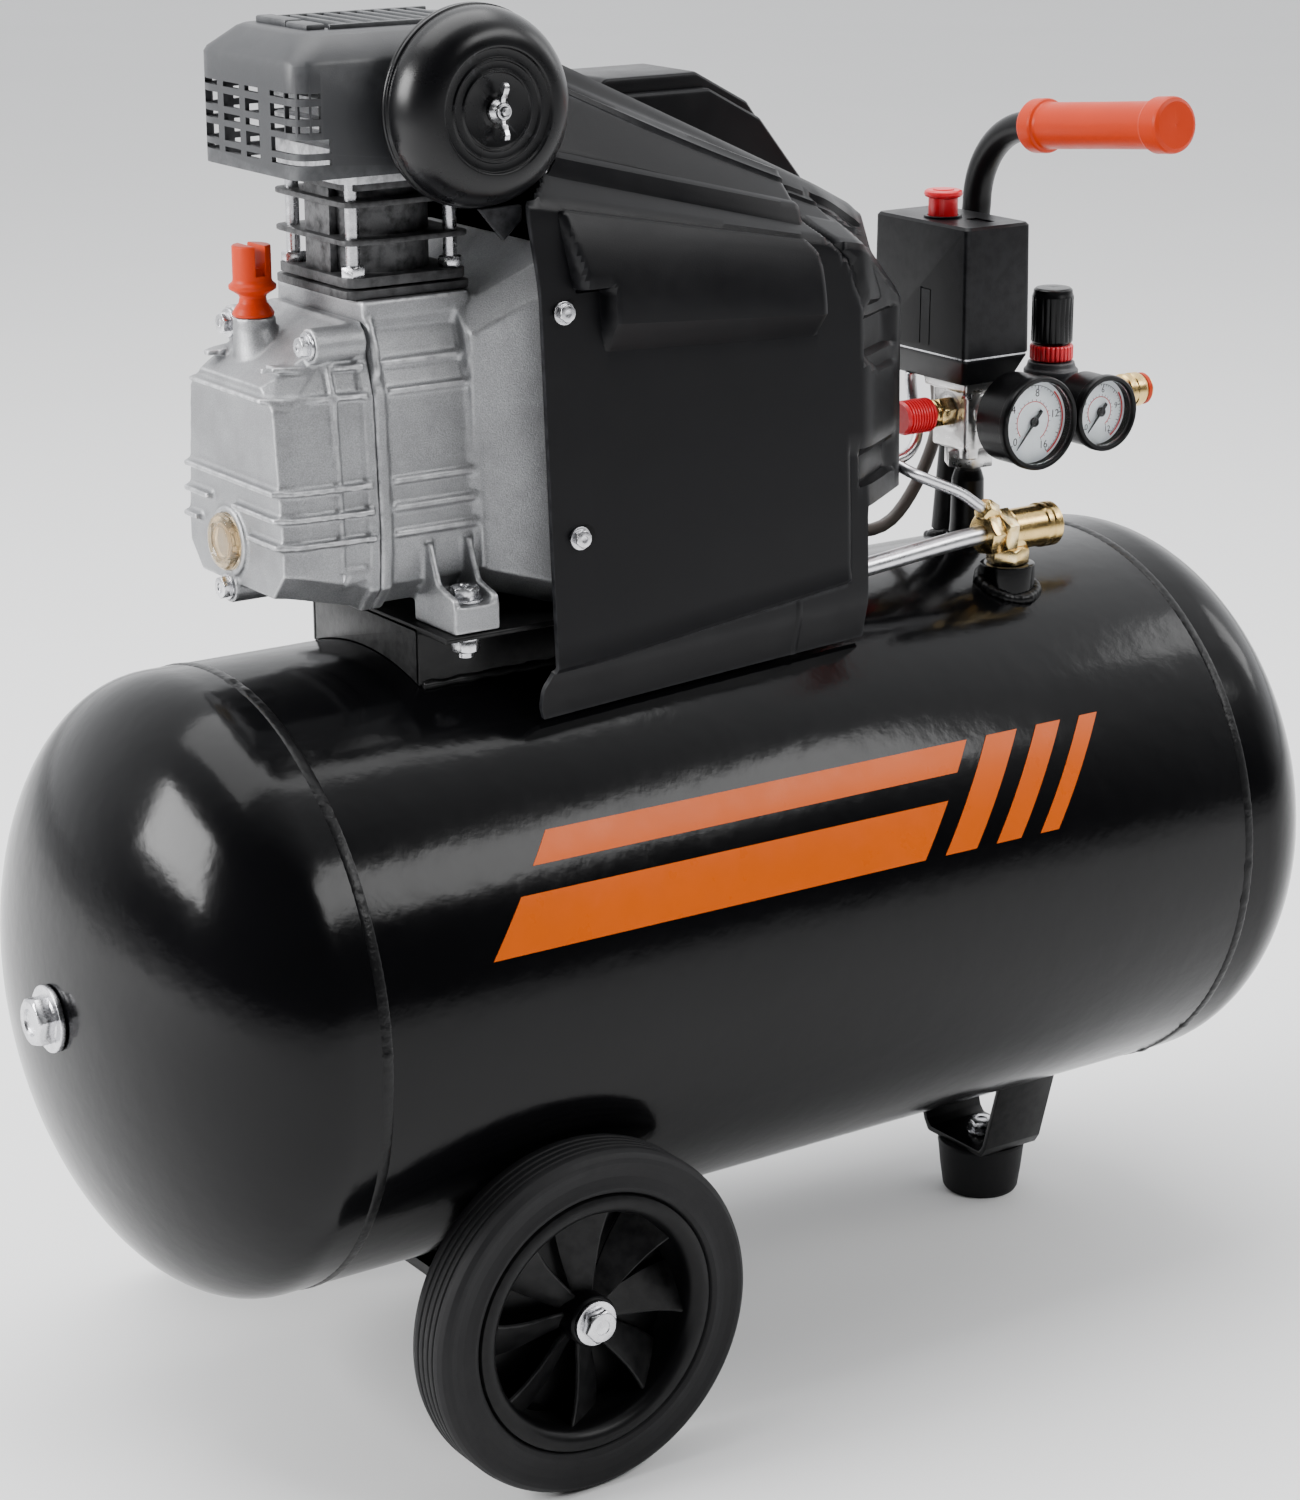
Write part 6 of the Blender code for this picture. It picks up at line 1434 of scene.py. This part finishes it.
def switch():
    middle = (0.1860, SWITCH_Y)
    tray = lump([rounded_loop(middle, 0.0160, 0.0320, MANIFOLD_TOP + 0.0003),
                 rounded_loop(middle, 0.0172, 0.0332, MANIFOLD_TOP + 0.0016),
                 rounded_loop(middle, 0.0210, 0.0388, SWITCH_SEAM - 0.0022),
                 rounded_loop(middle, 0.0215, 0.0394, SWITCH_SEAM - 0.0012),
                 rounded_loop(middle, 0.0215, 0.0394, SWITCH_SEAM - 0.0003)])
    dress(tray, "switch_tray", PLASTIC, "chassis", stands_for=["pressure_switch_base"])
    gasket = lump([rounded_loop(middle, 0.0211, 0.0390, SWITCH_SEAM - 0.0004),
                   rounded_loop(middle, 0.0211, 0.0390, SWITCH_SEAM + 0.0009)])
    dress(gasket, "switch_plate", ZINC, "chassis")
    shell = lump([rounded_loop(middle, 0.0218, 0.0398, SWITCH_SEAM + 0.0008),
                  rounded_loop(middle, 0.0220, 0.0400, SWITCH_SEAM + 0.0016),
                  rounded_loop(middle, 0.0214, 0.0391, SWITCH_TOP - 0.0015),
                  rounded_loop(middle, 0.0203, 0.0380, SWITCH_TOP)])
    x0 = middle[0] - 0.0220
    cutters = [rod((KNOB_X, KNOB_Y, SWITCH_TOP - 0.012), (KNOB_X, KNOB_Y, SWITCH_TOP + 0.01), 0.0083, 56)]
    hollow = lump([rounded_loop(middle, 0.0198, 0.0378, SWITCH_SEAM - 0.001),
                   rounded_loop(middle, 0.0192, 0.0369, SWITCH_TOP - 0.0025)])
    cutters.append(hollow)
    for y in (0.0005, 0.0085):
        cutters.append(box((x0 - 0.001, y - 0.0004, SWITCH_SEAM + 0.0045),
                           (x0 + 0.0011, y + 0.0004, SWITCH_SEAM + 0.034)))
    cutters.append(box((x0 - 0.001, 0.0001, SWITCH_SEAM + 0.0338),
                       (x0 + 0.0011, 0.0089, SWITCH_SEAM + 0.0346)))
    cutters.append(box((KNOB_X + 0.0045, KNOB_Y - 0.0290, SWITCH_TOP - 0.0009),
                       (KNOB_X + 0.0120, KNOB_Y - 0.0130, SWITCH_TOP + 0.002)))
    shell = cut(shell, *cutters)
    collar = lathe([(0.0083, SWITCH_TOP - 0.001), (0.0102, SWITCH_TOP - 0.001),
                    (0.0102, SWITCH_TOP + 0.0012),
                    (0.0083, SWITCH_TOP + 0.0012)], (KNOB_X, KNOB_Y, 0), "z", 64, 0.0004)
    dress(merged(shell, collar), "switch_shell", PLASTIC, "chassis", sharp=30,
          stands_for=["pressure_switch_cover"])
    knob = lathe([(0, 0.0145), (0.0088, 0.0145), (0.0100, 0.0138), (0.0103, 0.0122), (0.0096, 0.0110),
                  (0.0079, 0.0104), (0.0077, -0.0120), (0, -0.0120)], (KNOB_X, KNOB_Y, SWITCH_TOP), "z", 96,
                  0.0005)
    cap = lathe([(0, 0.0143), (0.0058, 0.0143), (0.0056, 0.0150), (0, 0.0152)],
                (KNOB_X, KNOB_Y, SWITCH_TOP), "z", 64,
                0.0003)
    dress(merged(knob, cap), "switch_button", RED, "knob", stands_for=["switch_knob"])


def manifold():
    pipe_piece = lathe([(0.0045, -0.006), (0.0067, -0.006), (0.0067, 0.0440), (0.0045, 0.0440)],
                       (PIPE_X, 0, PIPE_BOSS_TOP), "z", 48)
    sleeve = lathe([(0.0067, 0.0004), (0.0098, 0.0004), (0.0092, 0.0060), (0.0088, 0.0300),
                    (0.0067, 0.0370)],
                   (PIPE_X, 0, PIPE_BOSS_TOP), "z", 48, 0.0006)
    dress(merged(pipe_piece, sleeve), "nipple_pipe", STEEL_BLACK, "chassis",
          stands_for=["manifold_nipple"])
    parts = [box((PIPE_X - 0.0140, -0.0150, 0.4400), (PIPE_X + 0.0140, 0.0150, 0.4735), 0.0020),
             box((PIPE_X - 0.0175, -0.0180, 0.4728), (PIPE_X + 0.0175, 0.0180, MANIFOLD_TOP), 0.0012),
             rod((PIPE_X - 0.0145, 0, VALVE_Z), (PIPE_X, 0, VALVE_Z), 0.0095, 40),
             rod((PIPE_X + 0.0145, REG_Y + 0.006, VALVE_Z), (PIPE_X, REG_Y + 0.006, VALVE_Z), 0.0100, 40),
             rod((PIPE_X, -0.0185, GAUGE_Z), (PIPE_X, 0, GAUGE_Z), 0.0088, 40),
             rod((PIPE_X - 0.009, -0.0110, 0.4360), (PIPE_X - 0.009, -0.0110, 0.4560), 0.0050, 32)]
    body = cast(merged(*parts), 0.0007, 2, 0.5)
    collar = hexagon((PIPE_X, 0, 0), "z", 0.024, 0.4300, 0.4405)
    body = merged(body, collar)
    low = 0.4300
    cutters = [rod((PIPE_X, 0, low - 0.01), (PIPE_X, 0, PIPE_BOSS_TOP + 0.0443), 0.0070, 40),
               rod((PIPE_X - 0.03, 0, VALVE_Z), (PIPE_X - 0.006, 0, VALVE_Z), 0.0053, 32),
               rod((PIPE_X + 0.03, REG_Y + 0.006, VALVE_Z), (PIPE_X + 0.006, REG_Y + 0.006, VALVE_Z),
                   0.0063, 32),
               rod((PIPE_X, -0.03, GAUGE_Z), (PIPE_X, -0.008, GAUGE_Z), 0.0049, 32)]
    body = cut(body, *cutters)
    dress(body, "manifold_block", DIECAST, "chassis", sharp=50, stands_for=["manifold"])
    for index, (x, y) in enumerate([(-0.0128, -0.0132), (0.0128, -0.0132)]):
        dress(bolt((PIPE_X + x, y, 0.4727), (0, 0, -1), 0.0055, 0.0035), f"manifold_screw_{index}", ZINC,
              "chassis")


def safety_valve():
    seat = Vector((PIPE_X - 0.0145 - 0.0003, 0, VALVE_Z))
    body = merged(lathe([(0, -0.0075), (0.0049, -0.0075), (0.0049, 0.0092), (0.0072, 0.0092),
                         (0.0076, 0.0100),
                         (0.0076, 0.0118), (0.0066, 0.0128), (0.0039, 0.0130), (0.0039, 0.0270),
                         (0, 0.0270)], seat,
                        LEFT, 64, 0.0003),
                  hexagon(seat, LEFT, 0.0145, 0.0002, 0.0092, turn=0.3))
    dress(body, "relief_body", BRASS_X, "chassis", stands_for=["safety_valve_body"])
    ribs = []
    for k in range(9):
        at = 0.0150 + 0.0018 * k
        ribs += [(0.0093, at), (0.0093, at + 0.0008), (0.0084, at + 0.0010), (0.0084, at + 0.0017)]
    cap = lathe([(0.00415, 0.0136), (0.0082, 0.0136), (0.0092, 0.0146), *ribs, (0.0090, 0.0315),
                 (0.0080, 0.0330),
                 (0, 0.0330), (0, 0.0276), (0.00415, 0.0276)], seat, LEFT, 72)
    dress(cap, "relief_cap_skin", RED, "relief_cap", sharp=30,
          stands_for=["safety_valve_cap"])


SCALE_START, SCALE_SWEEP = 230.0, 280.0     # degrees, from the first mark of a dial clockwise to the last


def dial_point(centre, radius, degrees_clockwise, depth):
    """A point on a dial, by its angle clockwise from straight up as seen from the front."""
    a = radians(degrees_clockwise)
    return Vector((centre.x + radius * sin(a), centre.y + depth, centre.z + radius * cos(a)))


def dial_arc(centre, radius, half, start, end, depth, thick=0.00012):
    count = max(2, int(abs(end - start) / 4))
    loops = []
    for k in range(count + 1):
        a = start + (end - start) * k / count
        loops.append([dial_point(centre, radius - half, a, depth),
                      dial_point(centre, radius + half, a, depth),
                      dial_point(centre, radius + half, a, depth - thick),
                      dial_point(centre, radius - half, a, depth - thick)])
    return lump(loops)


def gauge(place, x, radius, back, stem_end, top_value, red_from):
    centre = Vector((x, GAUGE_FACE_Y, GAUGE_Z))
    rear, dial = GAUGE_FACE_Y - back, -0.0080
    case = lathe([(0, dial), (radius - 0.0030, dial), (radius - 0.0030, -0.0012),
                  (radius - 0.0024, -0.0002),
                  (radius - 0.0010, 0), (radius - 0.0002, -0.0008), (radius, -0.0022), (radius, -0.0052),
                  (radius - 0.0010, -0.0060), (radius - 0.0010, rear + 0.0030), (radius - 0.0040, rear),
                  (0.0062, rear),
                  (0.0062, rear - 0.0035), (0.0045, rear - 0.0035), (0.0045, GAUGE_FACE_Y - stem_end),
                  (0, GAUGE_FACE_Y - stem_end)], centre, FRONT, 112, 0.0005)
    pivot = rod(centre + Vector((0, 0.0070, 0)), centre + Vector((0, 0.0052, 0)), 0.0010, 24)
    dress(merged(case, pivot), "gauge_shell_" + place, STEEL_BLACK, "chassis",
          stands_for=["gauge_case_" + place])
    face = lathe([(0.0012, 0.00005), (radius - 0.0031, 0.00005), (radius - 0.0031, 0.0004),
                  (0.0012, 0.0004)],
                 centre + Vector((0, -dial, 0)), FRONT, 96)
    dress(face, "gauge_dial_" + place, DIAL_WHITE, "chassis")
    depth = -dial - 0.0004
    start, sweep = SCALE_START, SCALE_SWEEP
    scale = radius - 0.0058
    marks = []
    for k in range(41):
        a = start + sweep * k / 40
        size, half = ((0.0018, 0.00022) if k % 5 == 0 else (0.0010, 0.00012))
        wide = degrees(half / scale)
        marks.append(dial_arc(centre, scale - size / 2, size / 2, a - wide, a + wide, depth))
    marks.append(dial_arc(centre, scale, 0.00012, start, start + sweep, depth))
    inner = scale * 0.60
    for k in range(21):
        a = start + sweep * k / 20
        wide = degrees(0.00012 / inner)
        marks.append(dial_arc(centre, inner, 0.0005, a - wide, a + wide, depth))
    dress(merged(*marks), "gauge_marks_" + place, DIAL_BLACK, "chassis")
    red = merged(dial_arc(centre, scale + 0.0009, 0.00045, start + sweep * red_from, start + sweep, depth),
                 dial_arc(centre, inner - 0.0008, 0.0002, start, start + sweep, depth))
    dress(red, "gauge_red_" + place, DIAL_RED, "chassis")
    for k in range(5):
        a = start + sweep * k / 4
        figure(f"gauge_figure_{place}_{k}", str(top_value * k // 4),
               dial_point(centre, scale * 0.79, a, depth),
               scale * 0.20)
    lens = lathe([(0, -0.0020), (radius - 0.0031, -0.0020), (radius - 0.0031, -0.0034), (0, -0.0034)],
                 centre, FRONT,
                 96, 0.0002)
    dress(lens, "gauge_lens_" + place, GLASS, "chassis")
    level = centre + Vector((0, 0.0062, 0))
    way = Vector((-cos(radians(50)), 0, -sin(radians(50))))
    across = Vector((way.z, 0, -way.x))
    reach = radius - 0.0070
    pointer = []
    for far, half in ((-0.42 * reach, 0.0010), (-0.30 * reach, 0.0011), (0.0, 0.0008),
                      (reach * 0.75, 0.00042),
                      (reach, 0.00015)):
        pointer.append([level + way * far + across * half * a + Vector((0, 0.00018 * b, 0))
                        for a, b in ((-1, -1), (1, -1), (1, 1), (-1, 1))])
    cap = lathe([(0.00115, -0.0004), (0.0027, -0.0004), (0.0025, 0.0008), (0.0012, 0.0012)], level, FRONT,
                40)
    dress(merged(lump(pointer), cap), "needle_skin_" + place, DIAL_BLACK, "needle_" + place,
          stands_for=["gauge_needle_" + place])


def figure(name, text, place, size):
    """A printed number on a dial, as a thin mesh."""
    curve = bpy.data.curves.new(name, "FONT")
    curve.body = text
    curve.size = size * 1.5
    curve.extrude = 0.00006
    curve.align_x = "CENTER"
    curve.align_y = "CENTER"
    made = bpy.data.objects.new("text", curve)
    bpy.context.scene.collection.objects.link(made)
    made.matrix_world = Matrix.Translation(place) @ Matrix.Rotation(radians(90), 4, "X")
    bpy.context.view_layer.update()
    mesh = bpy.data.meshes.new_from_object(made.evaluated_get(bpy.context.evaluated_depsgraph_get()))
    mesh.transform(made.matrix_world)
    bpy.data.objects.remove(made)
    made_object(name, mesh, DIAL_BLACK, "chassis")


def regulator():
    axis = (REG_X, REG_Y, 0)
    stem_low, stem_top = 0.4835, 0.5080
    parts = [lathe([(0, 0.4430), (0.0100, 0.4430), (0.0128, 0.4440), (0.0140, 0.4465), (0.0140, 0.4752),
                    (0.0148, 0.4760), (0.0148, 0.4790), (0.0134, 0.4800), (0.0125, stem_low),
                    (0, stem_low)], axis,
                   "z", 72, 0.0004),
             rod((PIPE_X + 0.0150, REG_Y + 0.006, VALVE_Z), (REG_X, REG_Y + 0.006, VALVE_Z), 0.0088, 40,
                 0.0008),
             rod((REG_X, REG_Y, VALVE_Z), (REG_X + 0.0180, REG_Y, VALVE_Z), 0.0108, 48, 0.0010),
             rod((REG_X, REG_Y - 0.0140, GAUGE_Z), (REG_X, REG_Y, GAUGE_Z), 0.0080, 40, 0.0008)]
    body = cast(merged(*parts), 0.0007, 2, 0.5)
    body = cut(body, rod((REG_X, -0.04, GAUGE_Z), (REG_X, -0.0240, GAUGE_Z), 0.0049, 32),
               rod((REG_X + 0.008, REG_Y, VALVE_Z), (REG_X + 0.03, REG_Y, VALVE_Z), 0.0067, 40))
    stem = rod((REG_X, REG_Y, stem_low - 0.002), (REG_X, REG_Y, stem_top), 0.0058, 40)
    spigot = rod((PIPE_X + 0.0080, REG_Y + 0.006, VALVE_Z), (REG_X - 0.014, REG_Y + 0.006, VALVE_Z), 0.0057,
                 32)
    dress(merged(body, stem, spigot), "regulator_housing", PLASTIC_GREY, "chassis",
          sharp=50,
          stands_for=["regulator_body"])
    collar = fluted((REG_X, REG_Y, 0),
                    [(0.0064, 0.4841), (0.0112, 0.4841), (0.0118, 0.4850), (0.0118, 0.4915),
                                        (0.0112, 0.4925), (0.0064, 0.4925)], 28, 0.0005, 0.4838, 0.4928)
    dress(collar, "lock_collar", RED, "lock_turn", sharp=30,
          stands_for=["regulator_lock_ring"])
    knob = fluted((REG_X, REG_Y, 0), [(0, 0.5085), (0.0062, 0.5085), (0.0062, 0.4932), (0.0106, 0.4932),
                                      (0.0113, 0.4945), (0.0113, 0.5185), (0.0106, 0.5205),
                                      (0.0104, 0.5222),
                                      (0.0092, 0.5232), (0, 0.5232)], 22, 0.0009, 0.4948, 0.5180)
    dress(knob, "regulator_cap", PLASTIC_SATIN, "regulator_turn", sharp=30,
          stands_for=["regulator_knob"])
    outlet = Vector((REG_X + 0.0180, REG_Y, VALVE_Z))
    coupling = lathe([(0.0045, -0.0090), (0.0063, -0.0090), (0.0063, 0.0003), (0.0082, 0.0003),
                      (0.0082, 0.0020),
                      (0.0098, 0.0024), (0.0098, 0.0108), (0.0086, 0.0122), (0.0086, 0.0190),
                      (0.0078, 0.0196),
                      (0.0078, 0.0212), (0.0086, 0.0218), (0.0086, 0.0325), (0.0095, 0.0336),
                      (0.0095, 0.0365),
                      (0.0089, 0.0370), (0.0089, 0.0385), (0.0095, 0.0390), (0.0095, 0.0440),
                      (0.0081, 0.0468),
                      (0.0080, 0.0500), (0.0058, 0.0500), (0.0045, 0.0480)], outlet, "x", 96, 0.0003)
    dress(coupling, "hose_coupling", BRASS_X, "chassis", sharp=30, stands_for=["outlet_coupling"])
    tip = lathe([(0.0082, 0.0463), (0.0088, 0.0463), (0.0088, 0.0488), (0.0082, 0.0488)], outlet, "x", 64,
                0.0002)
    dress(tip, "coupling_ring", ORANGE, "chassis")


def fluted(centre, profile, flutes, depth, low, high):
    """A turned knob whose side is pressed into flutes between two heights."""
    made = lathe(profile, centre, "z", flutes * 8, 0.0004, 2)
    middle = Vector(centre)
    widest = max(r for r, _ in profile)

    def press(p):
        if not low <= p.z <= high:
            return p
        flat = Vector((p.x - middle.x, p.y - middle.y))
        if flat.length < widest * 0.9:
            return p
        wave = 0.5 - 0.5 * cos(flutes * atan2(flat.y, flat.x))
        flat *= 1 - depth * wave ** 2 / flat.length
        return Vector((middle.x + flat.x, middle.y + flat.y, p.z))
    applied(made, "SUBSURF", subdivision_type="SIMPLE", levels=1)
    return conform(made, press)


# ---- check valve and lines -------------------------------------------------------------------------
UNLOADER_START = Vector((0.1580, CHECK_Y, 0.4205))
UNLOADER_WAY = Vector((-0.0160, 0, 0.0105)).normalized()
DISCHARGE_ROUTE = [(CHECK_X - 0.0189, CHECK_Y, CHECK_Z), (0.140, CHECK_Y, 0.4050),
                   (0.1100, CHECK_Y, 0.4022),
                   (0.0792, CHECK_Y, 0.3993), (0.055, -0.056, 0.3985), (0.030, -0.0640, 0.4080),
                   (-0.010, -0.0690, 0.4300), (-0.050, -0.0690, 0.4700), (-0.080, -0.0650, 0.5300),
                   (-0.092, -0.0520, 0.5900), (-0.101, -0.0330, 0.6220), (-0.118, -0.0150, 0.6350),
                   (-0.130, -0.0120, 0.6365), (-0.1405, -0.0120, 0.6365)]
UNLOADER_ROUTE = [UNLOADER_START, UNLOADER_START + UNLOADER_WAY * 0.006, (0.1420, CHECK_Y, 0.4310),
                  (0.1220, CHECK_Y, 0.4400), (0.1120, -0.0510, 0.4450), (0.1095, -0.0400, 0.4480),
                  (0.1110, -0.0250, 0.4470), (0.1180, -0.0080, 0.4410), (0.1340, 0.0020, 0.4370),
                  (0.1530, 0.0040, 0.4390), (0.1650, 0.0100, 0.4480), (0.1712, 0.0220, 0.4620),
                  (0.1720, 0.0255, 0.4740), (0.1720, 0.0255, 0.4784)]
CABLE_ROUTE = [(0.1960, 0.0345, 0.4784), (0.1960, 0.0345, 0.4740), (0.1950, 0.0310, 0.4620),
               (0.1880, 0.0230, 0.4430), (0.1730, 0.0200, 0.4180), (0.1560, 0.0200, 0.4000),
               (0.1370, 0.0210, 0.3960), (0.1130, 0.0220, 0.4020), (0.0800, 0.0230, 0.4120),
               (0.0450, 0.0230, 0.4180)]
CABLE_R = 0.0035


def lines():
    axis = (CHECK_X, CHECK_Y, CHECK_BOSS_TOP)
    middle = Vector((CHECK_X, CHECK_Y, CHECK_Z))
    stem = lathe([(0, -0.008), (0.0082, -0.008), (0.0082, 0.0002), (0.0094, 0.0002), (0.0094, 0.0100),
                  (0.0104, 0.0108),
                  (0.0104, 0.0150), (0, 0.0150)], axis, "z", 72, 0.0004)
    body = lathe([(0, -0.0022), (0.0100, -0.0022), (0.0110, -0.0008), (0.0110, 0.0188), (0.0119, 0.0198),
                  (0.0119, 0.0225), (0.0108, 0.0234), (0.0119, 0.0243), (0.0119, 0.0285), (0.0100, 0.0302),
                  (0.0070, 0.0305), (0, 0.0298)], middle, "x", 96, 0.0004)
    fitting_start = UNLOADER_START - UNLOADER_WAY * 0.0200
    pieces = [stem, hexagon(axis, "z", 0.020, 0.0003, 0.0092, turn=0.2), body,
              hexagon(middle, (-1, 0, 0), 0.0205, 0.0105, 0.0185, turn=0.1),
              hexagon(middle, (-1, 0, 0), 0.0225, 0.0020, 0.0100, turn=0.4),
              lathe([(0, -0.0025), (0.0095, -0.0025), (0.0095, 0.0108), (0, 0.0108)], middle, (-1, 0, 0),
                    48, 0.0004),
              rod(fitting_start, UNLOADER_START - UNLOADER_WAY * 0.0045, 0.0048, 32),
              hexagon(UNLOADER_START, UNLOADER_WAY, 0.0110, -0.0085, -0.0005, turn=0.2)]
    dress(merged(*pieces), "check_valve_body", BRASS_X, "chassis", stands_for=["check_valve"])
    weld_ring("boss_weld_check", (CHECK_X, CHECK_Y), 0.0150, 0.0036, 3, 0.96)
    weld_ring("boss_weld_pipe", (PIPE_X, 0), 0.0122, 0.0026, 5)
    weld_ring("handle_weld", (0.2067 - 0.0005, HANDLE_Y - 0.0002), 0.0094, 0.0024, 9)
    dress(pipe(smooth_path(DISCHARGE_ROUTE, 0.004), 0.0050, 32), "discharge_pipe", ALU, "chassis",
          stands_for=["discharge_tube"])
    dress(pipe(smooth_path(UNLOADER_ROUTE, 0.0025), 0.0030, 24), "unloader_pipe", ALU, "chassis",
          stands_for=["unloader_tube"])
    route = smooth_path(CABLE_ROUTE, 0.006)
    cable = dress(pipe(route, CABLE_R, 28), "motor_lead", SHEATH, "chassis",
                  stands_for=["motor_cable"])
    gland = lathe([(0.0036, 0), (0.0070, 0), (0.0062, 0.0060), (0.0050, 0.0085), (0.0036, 0.0085)],
                  CABLE_ROUTE[0],
                  (0, 0, -1), 40, 0.0005)
    dress(gland, "cable_gland", PLASTIC_SATIN, "chassis")


# ---- handle ----------------------------------------------------------------------------------------
GRIP_TILT, BEND_R, TUBE_R, STRAIGHT = 5.9, 0.046, 0.0078, 0.1107
COLUMN_TOP = Vector((HANDLE_X, HANDLE_Y, 0.5640))


def handle():
    base = Vector((0.2067, HANDLE_Y, tank_top(HANDLE_Y - TUBE_R) + 0.0010))
    tilt = radians(GRIP_TILT)
    path = [base.lerp(COLUMN_TOP, k / 8) for k in range(9)]
    for k in range(1, 25):
        turn = (pi / 2 - tilt) * k / 24
        path.append(COLUMN_TOP + Vector((0, -BEND_R * (1 - cos(turn)), BEND_R * sin(turn))))
    way = Vector((0, -cos(tilt), sin(tilt)))
    end = path[-1] + way * STRAIGHT
    path.append(end)
    dress(pipe(path, TUBE_R, 40), "handle_pipe", STEEL_BLACK, "chassis",
          stands_for=["handle_tube"])
    inner = TUBE_R + 0.0003
    grip = lathe([(0, 0.0045), (0.0118, 0.0045), (0.0138, 0.0036), (0.0144, 0.0020), (0.0144, -0.0078),
                  (0.0138, -0.0092), (0.0126, -0.0100), (0.0122, -0.0116), (0.0121, -0.0500),
                  (0.0122, -0.0915),
                  (0.0126, -0.0932), (0.0138, -0.0940), (0.0143, -0.0952), (0.0143, -0.1030),
                  (0.0136, -0.1044),
                  (0.0120, -0.1050), (inner, -0.1050), (inner, 0.0003), (0, 0.0003)], end, way, 112, 0.0006)
    dress(grip, "grip_skin", ORANGE, "chassis", sharp=34, stands_for=["handle_grip"])

# ---- camera, light and floor -----------------------------------------------------------------------
CAMERA_AT = Vector((-0.99270, -1.44011, 0.84164))
CAMERA_WAY = Vector((0.53617, 0.79087, -0.29502))
CAMERA_ROLL = 0.2015
LENS = 84.0


def camera():
    way = CAMERA_WAY.normalized()
    right = way.cross(Vector((0, 0, 1))).normalized()
    down = way.cross(right)
    roll = radians(CAMERA_ROLL)
    across = right * cos(roll) + down * sin(roll)
    up = -(down * cos(roll) - right * sin(roll))
    data = bpy.data.cameras.new("camera")
    data.lens = LENS
    data.sensor_width = 36.0
    data.clip_end = 50
    made = bpy.data.objects.new("camera", data)
    bpy.context.scene.collection.objects.link(made)
    made.matrix_world = Matrix(((across.x, up.x, -way.x, CAMERA_AT.x),
                                (across.y, up.y, -way.y, CAMERA_AT.y),
                                (across.z, up.z, -way.z, CAMERA_AT.z), (0, 0, 0, 1)))
    bpy.context.scene.camera = made


def lamp(name, place, target, size, power, colour=(1, 1, 1)):
    data = bpy.data.lights.new(name, "AREA")
    data.shape = "RECTANGLE"
    data.size, data.size_y = size
    data.energy = power
    data.color = colour
    made = bpy.data.objects.new(name, data)
    bpy.context.scene.collection.objects.link(made)
    made.location = place
    made.rotation_euler = (Vector(target) - Vector(place)).to_track_quat("-Z", "Y").to_euler()


BACKDROP = Vector((0.50, 0.75, 0.43)).normalized()


def studio_world():
    """Soft light that is bright above and behind the object and dim in front of it."""
    world = bpy.data.worlds.new("studio")
    world.use_nodes = True
    nodes, links = world.node_tree.nodes, world.node_tree.links
    back = nodes["Background"]
    back.inputs["Color"].default_value = (0.97, 0.98, 1.0, 1.0)
    way = nodes.new("ShaderNodeTexCoord")
    towards = nodes.new("ShaderNodeVectorMath")
    towards.operation = "DOT_PRODUCT"
    towards.inputs[1].default_value = BACKDROP
    links.new(way.outputs["Generated"], towards.inputs[0])
    level = nodes.new("ShaderNodeMapRange")
    level.interpolation_type = "SMOOTHSTEP"
    for name, number in (("From Min", -0.20), ("From Max", 0.72), ("To Min", 0.04), ("To Max", 1.80)):
        level.inputs[name].default_value = number
    links.new(towards.outputs["Value"], level.inputs["Value"])
    links.new(level.outputs["Result"], back.inputs["Strength"])
    bpy.context.scene.world = world


def stage():
    size = 16.0
    bm = bmesh.new()
    bmesh.ops.create_grid(bm, x_segments=8, y_segments=8, size=size)
    floor = from_bmesh(bm)
    floor.name = "floor"
    floor.location = (0, 0, -0.0002)
    floor.data.materials.append(surface("floor_pale", (0.90, 0.90, 0.90), 0.85, vary=0.01, patch=2.0,
                                        grain=(300, 0.00002), level=0.1))
    lamp("key_left", (-2.5, 0.7, 1.5), (-0.1, 0, 0.42), (1.3, 1.1), 118)
    lamp("top", (0.0, 0.6, 3.0), (0, 0.05, 0.3), (3.0, 2.0), 82)
    lamp("front_high", (1.35, -2.1, 2.35), (0, 0, 0.45), (2.0, 0.9), 56)
    lamp("rim_right", (2.3, -0.3, 1.5), (0.1, 0, 0.4), (0.6, 1.0), 8)
    studio_world()


PIECES = (camera, stage, tank, stripes, wheels, foot, platform, crankcase, crankcase_cover, cylinder,
          head_cover, air_filter, shroud, switch, manifold, safety_valve, regulator, lines, handle)
for make in PIECES:
    make()
gauge("tank", PIPE_X, 0.0250, -0.0320, -0.0120, 16, 0.62)
gauge("line", REG_X, 0.0205, -0.0350, -0.0245, 12, 0.66)
CAD_FINISHES = {"tank_paint": PAINT, "black_steel": STEEL_BLACK, "black_plastic": PLASTIC,
                "grey_plastic": PLASTIC_GREY, "tyre_rubber": RUBBER, "foot_rubber": RUBBER,
                "cast_aluminium": ALLOY, "cast_iron": IRON, "zinc_steel": ZINC, "aluminium_tube": ALU,
                "brass": BRASS_X, "orange_plastic": ORANGE, "red_plastic": RED, "amber_lens": AMBER,
                "cable_sheath": SHEATH, "filter_foam": FOAM}
for name, cad in frame["nodes"].items():
    slot = cad.data.materials[0].name.split(".")[0]
    if slot not in CAD_FINISHES:
        print("no finish for", name, slot)
        continue
    mesh = cad.data
    mesh.materials.clear()
    mesh.materials.append(CAD_FINISHES[slot])
